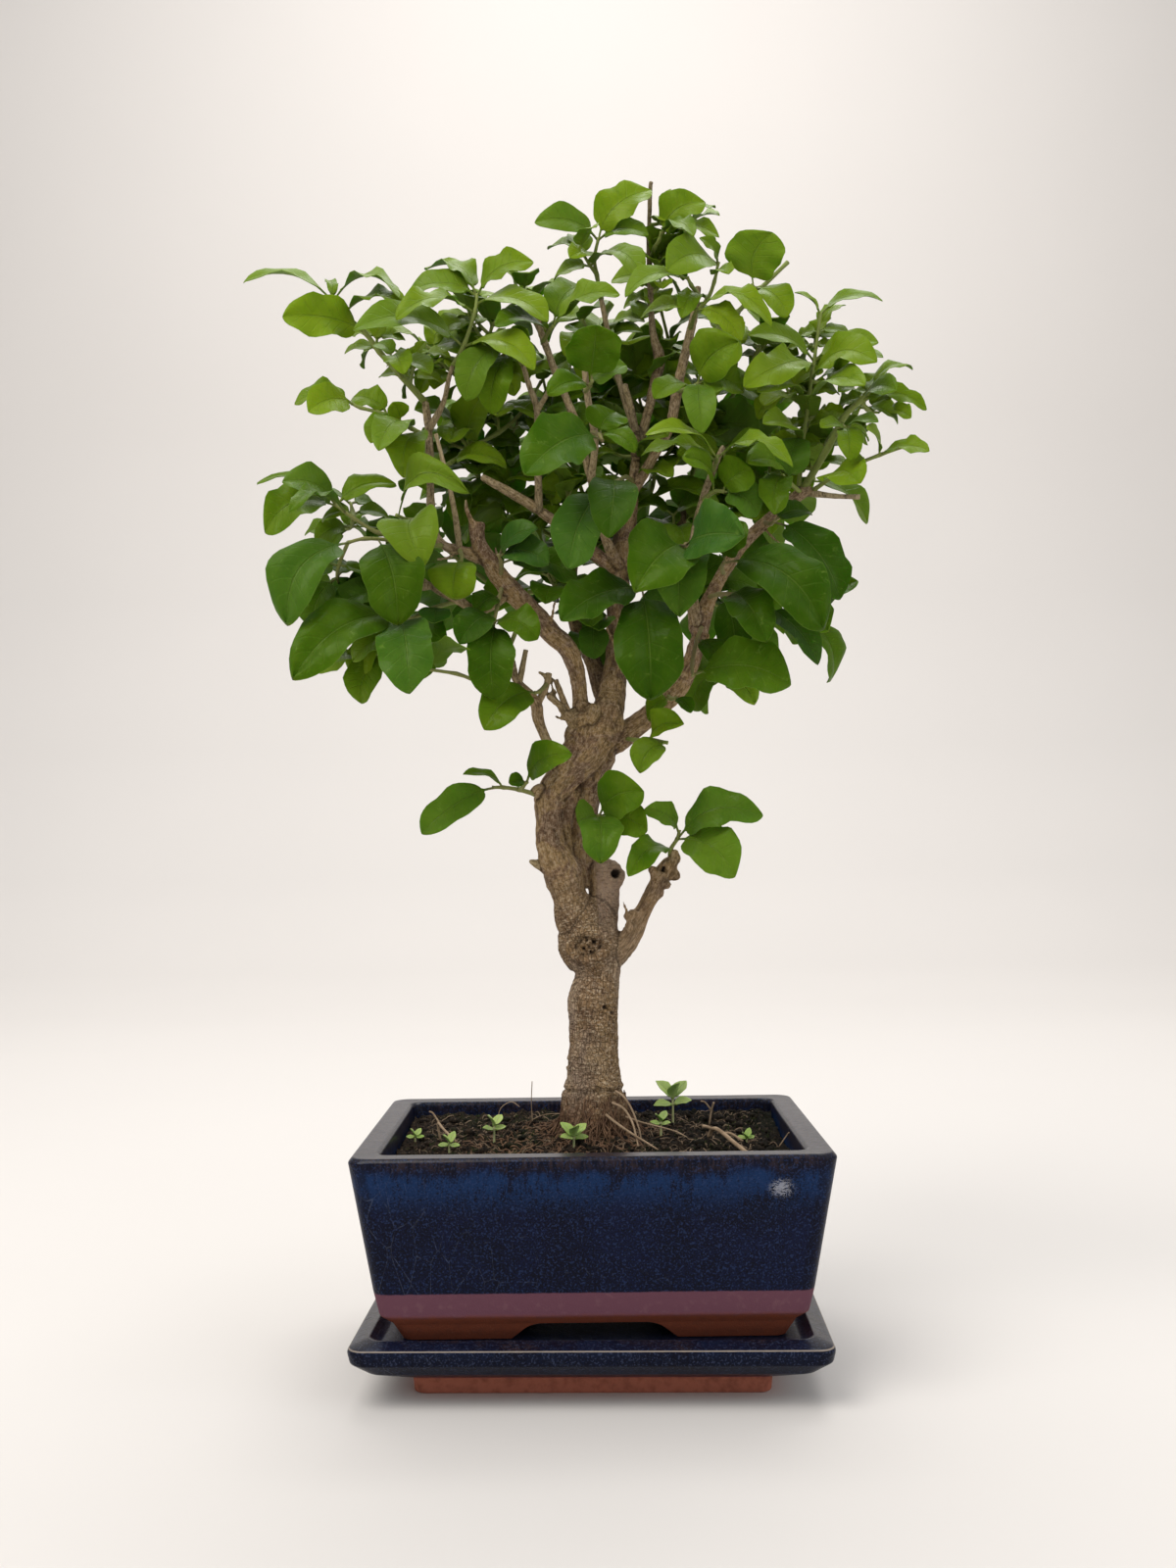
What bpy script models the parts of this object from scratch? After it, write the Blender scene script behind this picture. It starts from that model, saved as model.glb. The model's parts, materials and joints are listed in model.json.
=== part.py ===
"""Privet bonsai in a rectangular glazed pot, standing on its drip tray.

Every length in the tables below is in millimetres, measured from the middle of the tray's
underside: x to the right, y away from the front, z up. The scene itself is in metres.
"""

import math
import random
from typing import NamedTuple

import bmesh
import bpy
from mathutils import Vector, noise
from mathutils.bvhtree import BVHTree

MM = 0.001
GAP = 0.3                     # left between pieces that only touch
SEED = 11

# Pot: half length and half width at each height
POT_RIM_HEIGHT = 102.6
POT_HALF_LENGTH = 100.0
POT_HALF_WIDTH = 75.0
POT_CORNER = 7.0
CORNER_STEPS = 2
POT_FEET_BOTTOM = 24.5
POT_FEET_TOP = 31.9
POT_FLOOR = 38.5
GLAZE_END = 46.0
RIM_FLAT = 11.0
FOOT_GAP_TOP = (26.0, 21.0)   # half of the gap between two feet, along x and along y
FOOT_GAP_SPLAY = 8.5
FOOT_CUT_REACH = 120.0
FOOT_POCKET = (64.0, 40.0)
DRAIN_RADIUS = 6.0
DRAIN_X = 45.0

# Drip tray
TRAY_HALF_LENGTH = 99.5
TRAY_HALF_WIDTH = 74.5
TRAY_RIM_HEIGHT = 27.3
TRAY_FLOOR = POT_FEET_BOTTOM - GAP
TRAY_FOOT = (75.0, 50.0)
TRAY_FOOT_WALL = 6.0
TRAY_HOLLOW_TOP = 17.5
TRAY_TURN = math.radians(-1.5)

# Drainage screens over the two holes
SCREEN_SIDE = 28.0
SCREEN_THICK = 0.8
SCREEN_CELLS = 2
SCREEN_HOLE = 9.0

# Soil
SOIL_EDGE_HEIGHT = 93.5
SOIL_MOUND = 6.4
SOIL_MOUND_REACH = 42.0
SOIL_BANK = 3.6               # rise towards the back
SOIL_ROUGHNESS = 1.3
SOIL_CELLS = (12, 9)
SOIL_CORNER_PULL = 2.6
SOIL_LEVELS = ((86.6, 61.3), (80.3, 55.3, 45.0), (77.5, 52.5, 39.9))   # half sizes and heights
SEEDLING_HOLE_RADIUS = 1.1
ROOT_HOLE_RADIUS = 17.6
ROOT_HOLE_BOTTOM = 77.6

# Spurs: the short stretch of a shoot's stem that belongs to the wood
SPUR_LENGTH = 1.1
SPUR_COLLAR = 0.25

# Wood: shares of the faces to keep, and distances to merge by, of which the first clean one holds
WOOD_THINNING = (0.32, 0.34, 0.36, 0.38, 0.4, 0.42, 0.45, 0.5, 0.55, 0.6)
SLIVER_MERGES = (0.25, 0.2, 0.15, 0.1, 0.05, 0.03, 0.01, 0.003, 0.0)

# Leaves
BLADE_THICK = 0.7
STALK_WIDTH = 1.0
STALK_STEP = 0.45             # from a twig's middle line to where a stalk starts
STALK_SHARE = 0.13            # part of a leaf's length that is stalk
BLADE_ROWS = ((0.0, 0.0), (STALK_SHARE, 0.0), (0.36, 1.0), (0.73, 0.90), (1.0, 0.12))
BLADE_FOLD = math.radians(14)
USUAL_ARCH = 0.18
FULLNESS = 1.12               # blade widths over those of the flattened outlines in the tables
PLAIN_BLADE_ROWS = ((0.0, 0.0), (STALK_SHARE, 0.0), (0.50, 1.0), (1.0, 0.14))
SEEDLING_ROWS = ((0.0, 0.0), (0.45, 1.0), (1.0, 0.10))
SMALL_BLADE = 14.0            # blades up to this width, and those behind, have plain rows
BACK_FROM = 38.0              # leaves further back than this face away from the front
BACK_LIMIT = 76.0             # and their tips reach no further
SHIFTS = (0, -5, 5, -10, 10, -15, 15, -20, 20, -26, 26)   # a tip's moves in depth
TURNS = (0, 22, -22, 45)      # a blade's extra turns about its midrib, in degrees


class Twig(NamedTuple):
    """A twig's radius at its start and end, its course, and the leaves on it.

    A leaf is (place along the course, tip x, tip y, tip z, blade width, face, arch). Face is the
    turn of the blade from lying flat, 0, to standing square to the front, 90.
    """

    start_radius: float
    end_radius: float
    course: tuple
    leaves: tuple = ()


class Shoot(NamedTuple):
    """One leafy shoot: its name, its tone and its twigs, the first of them from the wood."""

    name: str
    tone: str
    twigs: tuple


# Woody limbs: (x, y, z, radius) along each

LIMBS = {
    "trunk": (
        (0, 0, 81, 16.4), (0, 0, 94, 16.9), (1, 0, 105, 16.2), (1, 0, 115, 14.5), (1, 0, 126, 12.2),
        (1, 0, 140, 11.1), (1, 0, 149, 11.4), (1, 0, 157, 11.6), (3, 0, 168, 10.3), (3, 0, 174, 10.9),
        (0, 0, 182, 13.9), (-1, 0, 192, 13.9),
    ),
    "left_stem": (
        (1, 0, 178, 11.2), (-5, -2, 194, 10.7), (-9, -3, 206, 8.2), (-12, -4, 217, 9.3),
        (-17, -5, 229, 6.9), (-18, -5, 241, 5.8), (-17, -5, 251, 6.9), (-10, -4, 262, 8),
        (-1, -2, 272, 10.8), (3, 0, 283, 12.1),
    ),
    "right_stem": (
        (-3, 6, 209, 6.3), (-4, 8, 225, 6.3), (-2, 9, 241, 5.9), (0, 8, 257, 7.3), (4, 5, 270, 9.5),
        (6, 3, 281, 10.8),
    ),
    "cleft": (
        (-10, 2, 216, 4.6), (-11, 2, 229, 3.4), (-11, 2, 241, 3.4), (-8, 2, 254, 4.6),
    ),
    "cut_stub": (
        (4, 2, 182, 8.1), (6, 3, 196, 7.2), (7, 4, 209, 7), (7, 4, 216, 6.8), (7, 4, 220, 4.1),
    ),
    "side_right": (
        (9, 0, 178, 7.1), (18, -2, 186, 4.9), (24, -3, 198, 3.8), (30, -4, 209, 3.8),
        (34, -4, 216, 4.2), (37, -4, 222, 2.7),
    ),
    "limb_left": (
        (-1, 0, 281, 7.2), (-3, -3, 294, 4), (-4, -6, 305, 3.8), (-8, -9, 317, 4.4),
        (-17, -12, 326, 4.9), (-28, -16, 338, 4.8), (-38, -20, 348, 4.6), (-45, -22, 359, 3.7),
        (-48, -23, 366, 3.5), (-48, -24, 373, 3.7),
    ),
    "limb_mid": (
        (8, 4, 284, 7.7), (12, 8, 300, 6.4), (14, 10, 321, 4.8), (15, 11, 344, 5), (17, 10, 362, 5.5),
        (20, 8, 380, 4.1), (23, 5, 398, 2.7), (24, 3, 416, 2.3), (22, 1, 431, 1.8), (19, 0, 442, 1.6),
    ),
    "limb_right": (
        (9, 4, 275, 7.2), (21, 2, 282, 5.4), (32, 0, 291, 4.9), (42, -2, 300, 4.5), (48, -4, 312, 4),
        (52, -5, 325, 3.8), (56, -6, 339, 3.6), (63, -6, 352, 3.1), (71, -6, 364, 3.1),
        (81, -7, 374, 2.9), (92, -8, 382, 2.9), (99, -8, 388, 2.9), (104, -8, 389, 2.7),
    ),
    "limb_back": (
        (9, 8, 293, 4.6), (3, 16, 315, 3.9), (-4, 24, 331, 3.7), (-7, 34, 353, 3.3), (-5, 44, 376, 2.9),
        (1, 52, 400, 2.4),
    ),
    "limb_cross": (
        (17, 10, 355, 4.1), (4, 4, 364, 3.4), (-10, 0, 375, 2.7), (-23, -4, 384, 2.5),
        (-36, -8, 391, 2.2), (-47, -10, 397, 1.8),
    ),
    "limb_back_right": (
        (51, -4, 323, 3.1), (49, 14, 346, 2.8), (46, 34, 374, 2.6), (50, 48, 401, 2.2),
    ),
    "fork_left": (
        (-45, -21, 356, 3.1), (-56, -22, 361, 2.6), (-63, -22, 363, 2.2), (-68, -22, 372, 2),
        (-69, -20, 393, 2), (-70, -16, 416, 2), (-72, -12, 431, 1.8),
    ),
    "fork_left_b": (
        (-70, -16, 417, 1.8), (-63, -20, 428, 1.3), (-60, -24, 438, 1.1), (-58, -26, 443, 1),
    ),
    "thin_left": (
        (-56, -22, 361, 1.7), (-57, -28, 373, 1.3), (-59, -32, 385, 1.1), (-62, -34, 398, 1),
        (-65, -34, 410, 0.9),
    ),
    "low_left": (
        (-34, -18, 342, 2.6), (-47, -26, 333, 2.2), (-56, -30, 337, 2.2), (-68, -34, 343, 1.9),
        (-74, -36, 347, 1.3),
    ),
    "low_left_b": (
        (-68, -34, 343, 1.7), (-80, -40, 340, 1.5),
    ),
    "stem_i": (
        (24, 4, 409, 2.3), (30, 6, 430, 2.3), (34, 8, 447, 2.5), (36, 8, 456, 2.8), (33, 8, 470, 1.8),
        (32, 8, 496, 1.5), (32, 8, 520, 1.3), (33, 8, 541, 1.3),
    ),
    "stem_h": (
        (23, 5, 393, 2.7), (32, -4, 407, 2.5), (40, -8, 421, 2.5), (43, -10, 437, 2.5),
        (48, -12, 457, 2.2), (51, -12, 470, 2), (53, -12, 483, 1.9),
    ),
    "stem_m": (
        (15, 6, 359, 3.2), (8, -8, 372, 2.2), (3, -14, 393, 2), (-2, -18, 415, 2), (-8, -18, 431, 1.9),
        (-14, -16, 447, 1.8), (-20, -14, 466, 1.8), (-23, -12, 478, 1.8),
    ),
    "stem_n": (
        (3, -14, 393, 1.8), (5, -24, 410, 1.7), (2, -28, 427, 1.6), (0, -30, 450, 1.4),
    ),
    "stem_o": (
        (-21, -4, 383, 1.8), (-21, -12, 403, 1.6), (-21, -16, 425, 1.5), (-24, -18, 435, 1.3),
        (-27, -20, 445, 1.1),
    ),
    "stem_o2": (
        (-21, -16, 425, 1.3), (-15, -22, 433, 1.1),
    ),
    "stem_g": (
        (52, -5, 323, 2.5), (48, -14, 344, 2.2), (48, -20, 360, 2), (51, -24, 377, 1.7),
        (56, -26, 391, 1.7), (62, -28, 405, 1.3),
    ),
    "stem_s": (
        (103, -8, 388, 1.8), (114, -10, 386, 1.2), (125, -12, 385, 1.2),
    ),
    "stem_u": (
        (24, 3, 420, 1.8), (17, 4, 444, 1.6), (12, 6, 468, 1.4), (9, 6, 484, 1.2),
    ),
    "side_left": (
        (-13, -6, 254, 3.1), (-17, -12, 272, 2.4), (-22, -16, 285, 2.6), (-23, -18, 293, 2.8),
        (-31, -22, 302, 2.2), (-34, -24, 316, 1.3),
    ),
    "side_left_b": (
        (-30, -22, 301, 1.5), (-27, -20, 316, 1.1),
    ),
    "side_left_c": (
        (-22, -18, 292, 1.8), (-18, -16, 301, 1.5), (-17, -15, 306, 1.5),
    ),
    "claw_a": (
        (-5, -4, 281, 3.1), (-11, -10, 291, 1.8), (-16, -14, 295, 1.5),
    ),
    "claw_b": (
        (-7, -4, 284, 2.2), (-11, -12, 295, 1.5), (-14, -15, 303, 1.2),
    ),
    "fork_stub": (
        (0, -6, 279, 4), (3, -12, 288, 2.7), (4, -13, 292, 2.6),
    ),
    "knob_left": (
        (-14, -5, 251, 4), (-21, -8, 254, 3.1), (-25, -9, 252, 2.7),
    ),
    "knob_low": (
        (-18, -4, 217, 2.7), (-25, -6, 221, 1.6), (-27, -7, 222, 1.3),
    ),
}

# Leafy shoots that the front view shows
SHOOTS = (
    Shoot("left_end", "lime", (
        Twig(1.6, 0.8, (
            (-72, -12, 431), (-82, -14, 442), (-92, -16, 453), (-98, -18, 461), (-106, -20, 468),
            (-113, -20, 476),
        ), (
            (5, -152, -26, 484, 12, 30), (5, -117, -8, 490, 5, 40), (5, -81, -34, 474, 14, 28, 0.28),
            (3, -131, -36, 464, 19, 80, 0.1), (4.2, -78, -44, 469, 14, 35),
        )),
        Twig(0.9, 0.7, (
            (-82, -14, 442), (-84, -24, 443), (-85, -28, 447),
        ), (
            (2, -93, -20, 456, 8, 50), (2, -78, -46, 435, 11, 75), (1, -67, -34, 438, 13, 45),
        )),
    )),
    Shoot("left_crest", "lime", (
        Twig(1.1, 0.7, (
            (-58, -26, 443), (-53, -28, 451), (-48, -26, 467), (-47, -24, 476),
        ), (
            (1, -99, -46, 454, 17, 55), (1, -21, -44, 436, 15, 50), (2, -80, -34, 459, 14, 45),
            (3, -79, -20, 479, 18, 50), (3, -71, -8, 497, 14, 25), (3, -22, -30, 489, 15, 55),
            (2.5, -15, -36, 460, 16, 45),
        )),
    )),
    Shoot("left_bow", "lime", (
        Twig(1.1, 0.7, (
            (-70, -16, 414), (-77, -22, 416), (-87, -26, 421), (-99, -28, 424), (-103, -28, 426),
        ), (
            (4, -128, -30, 427, 15, 45, 0.2), (4, -119, -44, 418, 15, 80), (2, -104, -18, 433, 12, 60),
            (1.5, -84, -32, 425, 9, 70), (1.3, -93, -38, 406, 15, 70), (0.9, -87, -46, 399, 14, 65),
            (0.5, -79, -40, 392, 17, 70),
        )),
    )),
    Shoot("left_arm", "mid", (
        Twig(1.1, 0.7, (
            (-68, -22, 369), (-81, -27, 366), (-92, -29, 368), (-102, -31, 374), (-110, -32, 380),
        ), (
            (4, -146, -24, 394, 10, 40), (4, -130, -46, 387, 17, 60, 0.2),
            (4, -139, -42, 368, 20, 60, 0.2), (4, -84, -30, 391, 13, 50, 0.15),
            (3.4, -122, -54, 372, 8, 45),
        )),
    )),
    Shoot("left_yellow", "yellow", (
        Twig(1.1, 0.7, (
            (-68, -22, 376), (-76, -34, 372), (-82, -40, 373),
        ), (
            (2, -51, -54, 381, 16, 62, 0.35), (1, -70, -60, 351, 25, 85),
        )),
    )),
    Shoot("left_drape", "dark", (
        Twig(1.1, 0.7, (
            (-63, -22, 363), (-74, -34, 361), (-84, -40, 362), (-95, -44, 362), (-102, -46, 360),
        ), (
            (4, -126, -62, 324, 23, 58, 0.2), (2.5, -80, -68, 325, 24, 80, 0.15),
        )),
    )),
    Shoot("left_hang", "dark", (
        Twig(1.1, 0.7, (
            (-56, -30, 337), (-68, -32, 333), (-77, -36, 328), (-82, -38, 329),
        ), (
            (2, -79, -28, 350, 12, 70), (3, -121, -70, 302, 23, 65, 0.15),
            (3, -74, -76, 294, 22, 80, 0.15), (0.8, -66, -38, 326, 13, 80),
        )),
    )),
    Shoot("left_low_twig", "mid", (
        Twig(1.1, 0.7, (
            (-27, -16, 337), (-34, -34, 315), (-43, -42, 300), (-56, -44, 303), (-70, -46, 305),
        ), (
            (4, -49, -60, 312, 10, -40),
        )),
    )),
    Shoot("left_fold", "dark", (
        Twig(1.1, 0.7, (
            (-37, -20, 346), (-39, -30, 334), (-40, -36, 326),
        ), (
            (2, -40, -46, 292, 19, 75), (2, -21, -48, 318, 15, 55), (1.6, -54, -50, 316, 15, 60),
            (0.6, -48, -20, 332, 11, 60),
        )),
    )),
    Shoot("left_spur_leaf", "mid", (
        Twig(1.1, 0.7, (
            (-18, -16, 301), (-21, -24, 297), (-23, -28, 296),
        ), (
            (2, -44, -46, 279, 18, 75),
        )),
    )),
    Shoot("left_inner", "mid", (
        Twig(1.1, 0.7, (
            (-56, -22, 361), (-54, -34, 356), (-54, -38, 353),
        ), (
            (2, -57, -46, 336, 19, 70),
        )),
    )),
    Shoot("mid_low_left", "dark", (
        Twig(1.1, 0.7, (
            (-38, -20, 348), (-37, -32, 353), (-38, -36, 356),
        ), (
            (2, -16, -46, 350, 15, 60), (1, -3, -30, 346, 16, 60), (2, -21, -30, 366, 13, 55),
        )),
    )),
    Shoot("mid_round", "mid", (
        Twig(1.1, 0.7, (
            (4, -24, 413), (7, -40, 407), (8, -46, 403),
        ), (
            (2, -24, -72, 383, 24, 80), (1, 22, -50, 398, 10, 50), (1, 14, -40, 419, 17, 70),
        )),
    )),
    Shoot("mid_pair", "dark", (
        Twig(1.1, 0.7, (
            (23, 5, 397), (19, -14, 395), (14, -34, 388), (7, -44, 382),
        ), (
            (3, -7, -66, 345, 20, 75, 0.1), (2, 10, -68, 357, 19, 75),
        )),
    )),
    Shoot("heart_pair", "mid", (
        Twig(1.1, 0.7, (
            (48, -20, 360), (44, -38, 359), (43, -46, 357),
        ), (
            (2, 21, -64, 335, 28, 78), (2, 65, -72, 356, 26, 76, 0.1), (1, 40, -72, 326, 23, 80),
        )),
    )),
    Shoot("right_drape", "dark", (
        Twig(1.1, 0.7, (
            (63, -6, 352), (60, -30, 350), (60, -44, 350),
        ), (
            (2, 99, -66, 319, 25, 65, 0.2), (2, 68, -50, 366, 15, 60),
        )),
    )),
    Shoot("right_low", "dark", (
        Twig(1.1, 0.7, (
            (53, -5, 328), (49, -26, 319), (46, -36, 307), (46, -40, 301),
        ), (
            (3, 86, -54, 297, 24, 66, 0.12), (1, 61, -46, 300, 11, 60),
        )),
    )),
    Shoot("right_hang", "dark", (
        Twig(1.1, 0.7, (
            (56, -6, 341), (59, -26, 339), (65, -36, 337), (73, -42, 333), (78, -44, 330),
        ), (
            (1.6, 75, -52, 315, 18, 75), (4, 99, -52, 305, 13, 45, 0.1), (1, 64, -30, 310, 16, 70),
        )),
    )),
    Shoot("mid_hang", "dark", (
        Twig(1.1, 0.7, (
            (16, 11, 342), (21, -20, 341), (25, -36, 340),
        ), (
            (2, 27, -58, 292, 27, 80, 0.1), (2, -10, -58, 325, 20, 65, 0.12),
        )),
    )),
    Shoot("right_outer", "dark", (
        Twig(1.1, 0.7, (
            (82, -7, 375), (83, -22, 371), (84, -28, 371),
        ), (
            (2, 112, -36, 336, 20, 60, 0.15), (2, 101, -20, 377, 13, 50),
        )),
    )),
    Shoot("right_tall", "lime", (
        Twig(1.1, 0.7, (
            (98, -8, 391), (100, -6, 410), (103, -6, 428), (105, -8, 444), (106, -8, 449),
            (109, -10, 471),
        ), (
            (5, 97, -14, 479, 7, 35), (5, 137, -12, 476, 10, 40), (4, 75, -20, 458, 13, 55, 0.15),
            (4, 133, -20, 454, 14, 50, 0.15), (3.6, 72, -46, 430, 16, 70, 0.1),
            (2.8, 126, -30, 440, 17, 75), (2, 121, -46, 427, 14, 65), (2, 77, -40, 427, 12, 60),
            (1, 80, -34, 414, 13, 60), (1.2, 85, -20, 406, 11, 55),
        )),
    )),
    Shoot("right_fan", "mid", (
        Twig(1.8, 1.0, (
            (100, -8, 390), (111, -12, 408), (118, -14, 421), (125, -15, 428), (130, -16, 433),
            (134, -17, 437),
        ), (
            (3.4, 138, -32, 428, 12, 70), (4, 153, 0, 450, 6, 40), (3.2, 151, -6, 436, 12, 45),
            (3, 154, -22, 423, 9, 60), (3.2, 113, -32, 428, 7, 60),
        )),
        Twig(0.9, 0.7, (
            (117, -14, 418), (117, -24, 413),
        ), (
            (1, 129, -36, 413, 8, 50), (1, 116, -38, 396, 11, 70), (1, 129, -18, 410, 7, 50),
            (1, 105, -30, 412, 9, 50),
        )),
    )),
    Shoot("right_ray", "lime", (
        Twig(1.1, 0.7, (
            (104, -8, 389), (112, -18, 393), (121, -22, 397), (132, -24, 401), (144, -24, 405),
        ), (
            (3, 151, -32, 400, 10, 50, 0.15), (3, 124, -38, 409, 10, 60), (0.7, 119, -46, 386, 20, 75),
        )),
    )),
    Shoot("mid_bow", "lime", (
        Twig(1.1, 0.7, (
            (57, -26, 394), (58, -36, 396), (58, -40, 397),
        ), (
            (2, 88, -58, 390, 10, 45, 0.25), (2, 27, -56, 404, 9, 45, 0.2), (1, 25, -40, 399, 11, 40),
        )),
    )),
    Shoot("crest_right", "lime", (
        Twig(1.1, 0.7, (
            (51, -12, 470), (57, -15, 476), (60, -17, 483), (62, -17, 492),
        ), (
            (3, 38, -36, 482, 19, 75), (3, 54, -24, 501, 8, 50), (2.4, 65, -34, 483, 10, 70),
            (1, 44, -34, 463, 10, 55),
        )),
    )),
    Shoot("crest_heart", "lime", (
        Twig(1.3, 0.9, (
            (48, -12, 457), (63, -11, 464), (82, -8, 483), (95, -6, 496),
        ), (
        )),
        Twig(0.9, 0.7, (
            (83, -8, 484), (79, -14, 481), (77, -18, 481),
        ), (
            (2, 85, -28, 501, 24, 80), (1, 92, -22, 465, 14, 60),
        )),
    )),
    Shoot("crest_arch", "lime", (
        Twig(1.1, 0.7, (
            (49, -12, 463), (50, -26, 464), (51, -30, 466),
        ), (
            (2, 82, -46, 454, 11, 50, 0.3), (2, 69, -42, 449, 12, 70), (2, 26, -40, 464, 11, 50),
        )),
    )),
    Shoot("crest_mid", "lime", (
        Twig(1.1, 0.7, (
            (53, -12, 479), (49, -24, 479), (47, -28, 481),
        ), (
            (2, 19, -46, 470, 12, 50, 0.2),
        )),
    )),
    Shoot("crest_top", "lime", (
        Twig(1.1, 0.7, (
            (33, 8, 505), (34, 0, 506), (36, -4, 508), (37, -6, 511),
        ), (
            (2.4, 56, -14, 522, 18, 70), (3, 63, 4, 529, 11, 55), (3, 63, -22, 507, 11, 50),
            (2.5, 49, -28, 500, 9, 60),
        )),
    )),
    Shoot("crest_left", "lime", (
        Twig(1.1, 0.7, (
            (9, 6, 484), (7, 4, 495), (6, 2, 502), (8, 0, 511),
        ), (
            (3, -21, -10, 515, 14, 75), (3, 32, -4, 533, 19, 65), (3, 31, -16, 510, 12, 60),
            (2, 27, -22, 484, 13, 55, 0.2), (2, -5, -14, 497, 11, 60),
        )),
    )),
    Shoot("crest_wave", "mid", (
        Twig(1.1, 0.7, (
            (-18, -15, 457), (-15, -26, 458), (-13, -30, 459),
        ), (
            (2, 16, -38, 471, 15, 45), (2, 4, -20, 486, 18, 60),
            (1, -38, -40, 457, 13, 50),
        )),
    )),
    Shoot("mid_upper", "mid", (
        Twig(1.1, 0.7, (
            (1, -28, 430), (3, -40, 429), (4, -44, 430),
        ), (
            (2, 6, -58, 449, 22, 80), (1, 19, -40, 438, 15, 60), (1, -15, -50, 423, 13, 60),
        )),
    )),
    Shoot("mid_upper_left", "mid", (
        Twig(1.1, 0.7, (
            (-27, -20, 445), (-31, -28, 448), (-36, -32, 451),
        ), (
            (2, -23, -44, 452, 11, 60), (2, -52, -56, 425, 15, 60), (1, -41, -40, 420, 15, 65),
        )),
    )),
    Shoot("mid_upper_right", "mid", (
        Twig(1.1, 0.7, (
            (43, -10, 435), (48, -26, 432), (51, -32, 432),
        ), (
            (2, 67, -46, 446, 22, 75), (2, 70, -40, 428, 15, 70), (2, 51, -50, 405, 13, 60),
            (1, 31, -40, 424, 12, 50),
        )),
    )),
    Shoot("mid_right", "dark", (
        Twig(1.1, 0.7, (
            (52, -24, 381), (57, -34, 383), (61, -38, 382),
        ), (
            (2, 73, -46, 391, 17, 70), (2, 75, -50, 371, 15, 70), (1, 44, -44, 394, 14, 60),
        )),
    )),
    Shoot("right_inner", "dark", (
        Twig(1.1, 0.7, (
            (99, -8, 388), (92, -20, 390), (88, -26, 392),
        ), (
            (2, 72, -44, 395, 14, 60), (2, 82, -44, 372, 13, 70), (1, 97, -10, 412, 16, 60),
        )),
    )),
    Shoot("low_trunk_bow", "mid", (
        Twig(1.1, 0.7, (
            (-24, -9, 252), (-31, -12, 254), (-38, -14, 255), (-43, -15, 255),
        ), (
            (3, -73, -30, 235, 15, 65, 0.1), (2, -55, -24, 261, 6, 40),
        )),
        Twig(0.9, 0.7, (
            (-31, -12, 254), (-29, -18, 255), (-27, -22, 257),
        ), (
            (2, -8, -40, 268, 14, 70), (2, -35, -24, 257, 8, 50),
        )),
    )),
    Shoot("right_stem_fan", "mid", (
        Twig(1.1, 0.7, (
            (-1, 9, 236), (2, -8, 239), (5, -16, 242),
        ), (
            (2, 24, -28, 252, 20, 75), (2, 26, -26, 235, 15, 70), (2, 5, -30, 223, 17, 75),
            (2, -5, -26, 239, 15, 60),
        )),
    )),
    Shoot("fork_leaf", "lime", (
        Twig(1.1, 0.7, (
            (16, 2, 278), (22, -8, 276), (28, -13, 276), (36, -16, 274),
        ), (
            (3, 23, -24, 261, 14, 60), (2, 40, -26, 283, 15, 60), (1.5, 25, -24, 266, 8, 45),
        )),
    )),
    Shoot("side_shoot", "mid", (
        Twig(1.1, 0.7, (
            (37, -4, 220), (37, -6, 226), (40, -8, 231), (41, -9, 235),
        ), (
            (3, 26, -16, 245, 11, 55), (2, 76, -24, 242, 17, 65), (2, 64, -34, 215, 21, 70),
            (1, 18, -10, 217, 12, 60),
        )),
    )),
    Shoot("limb_right_low", "mid", (
        Twig(1.1, 0.7, (
            (37, -1, 297), (38, -14, 294), (40, -18, 294),
        ), (
            (2, 46, -24, 287, 7, 45), (1, 27, 4, 286, 11, 55),
        )),
    )),
)

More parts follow.
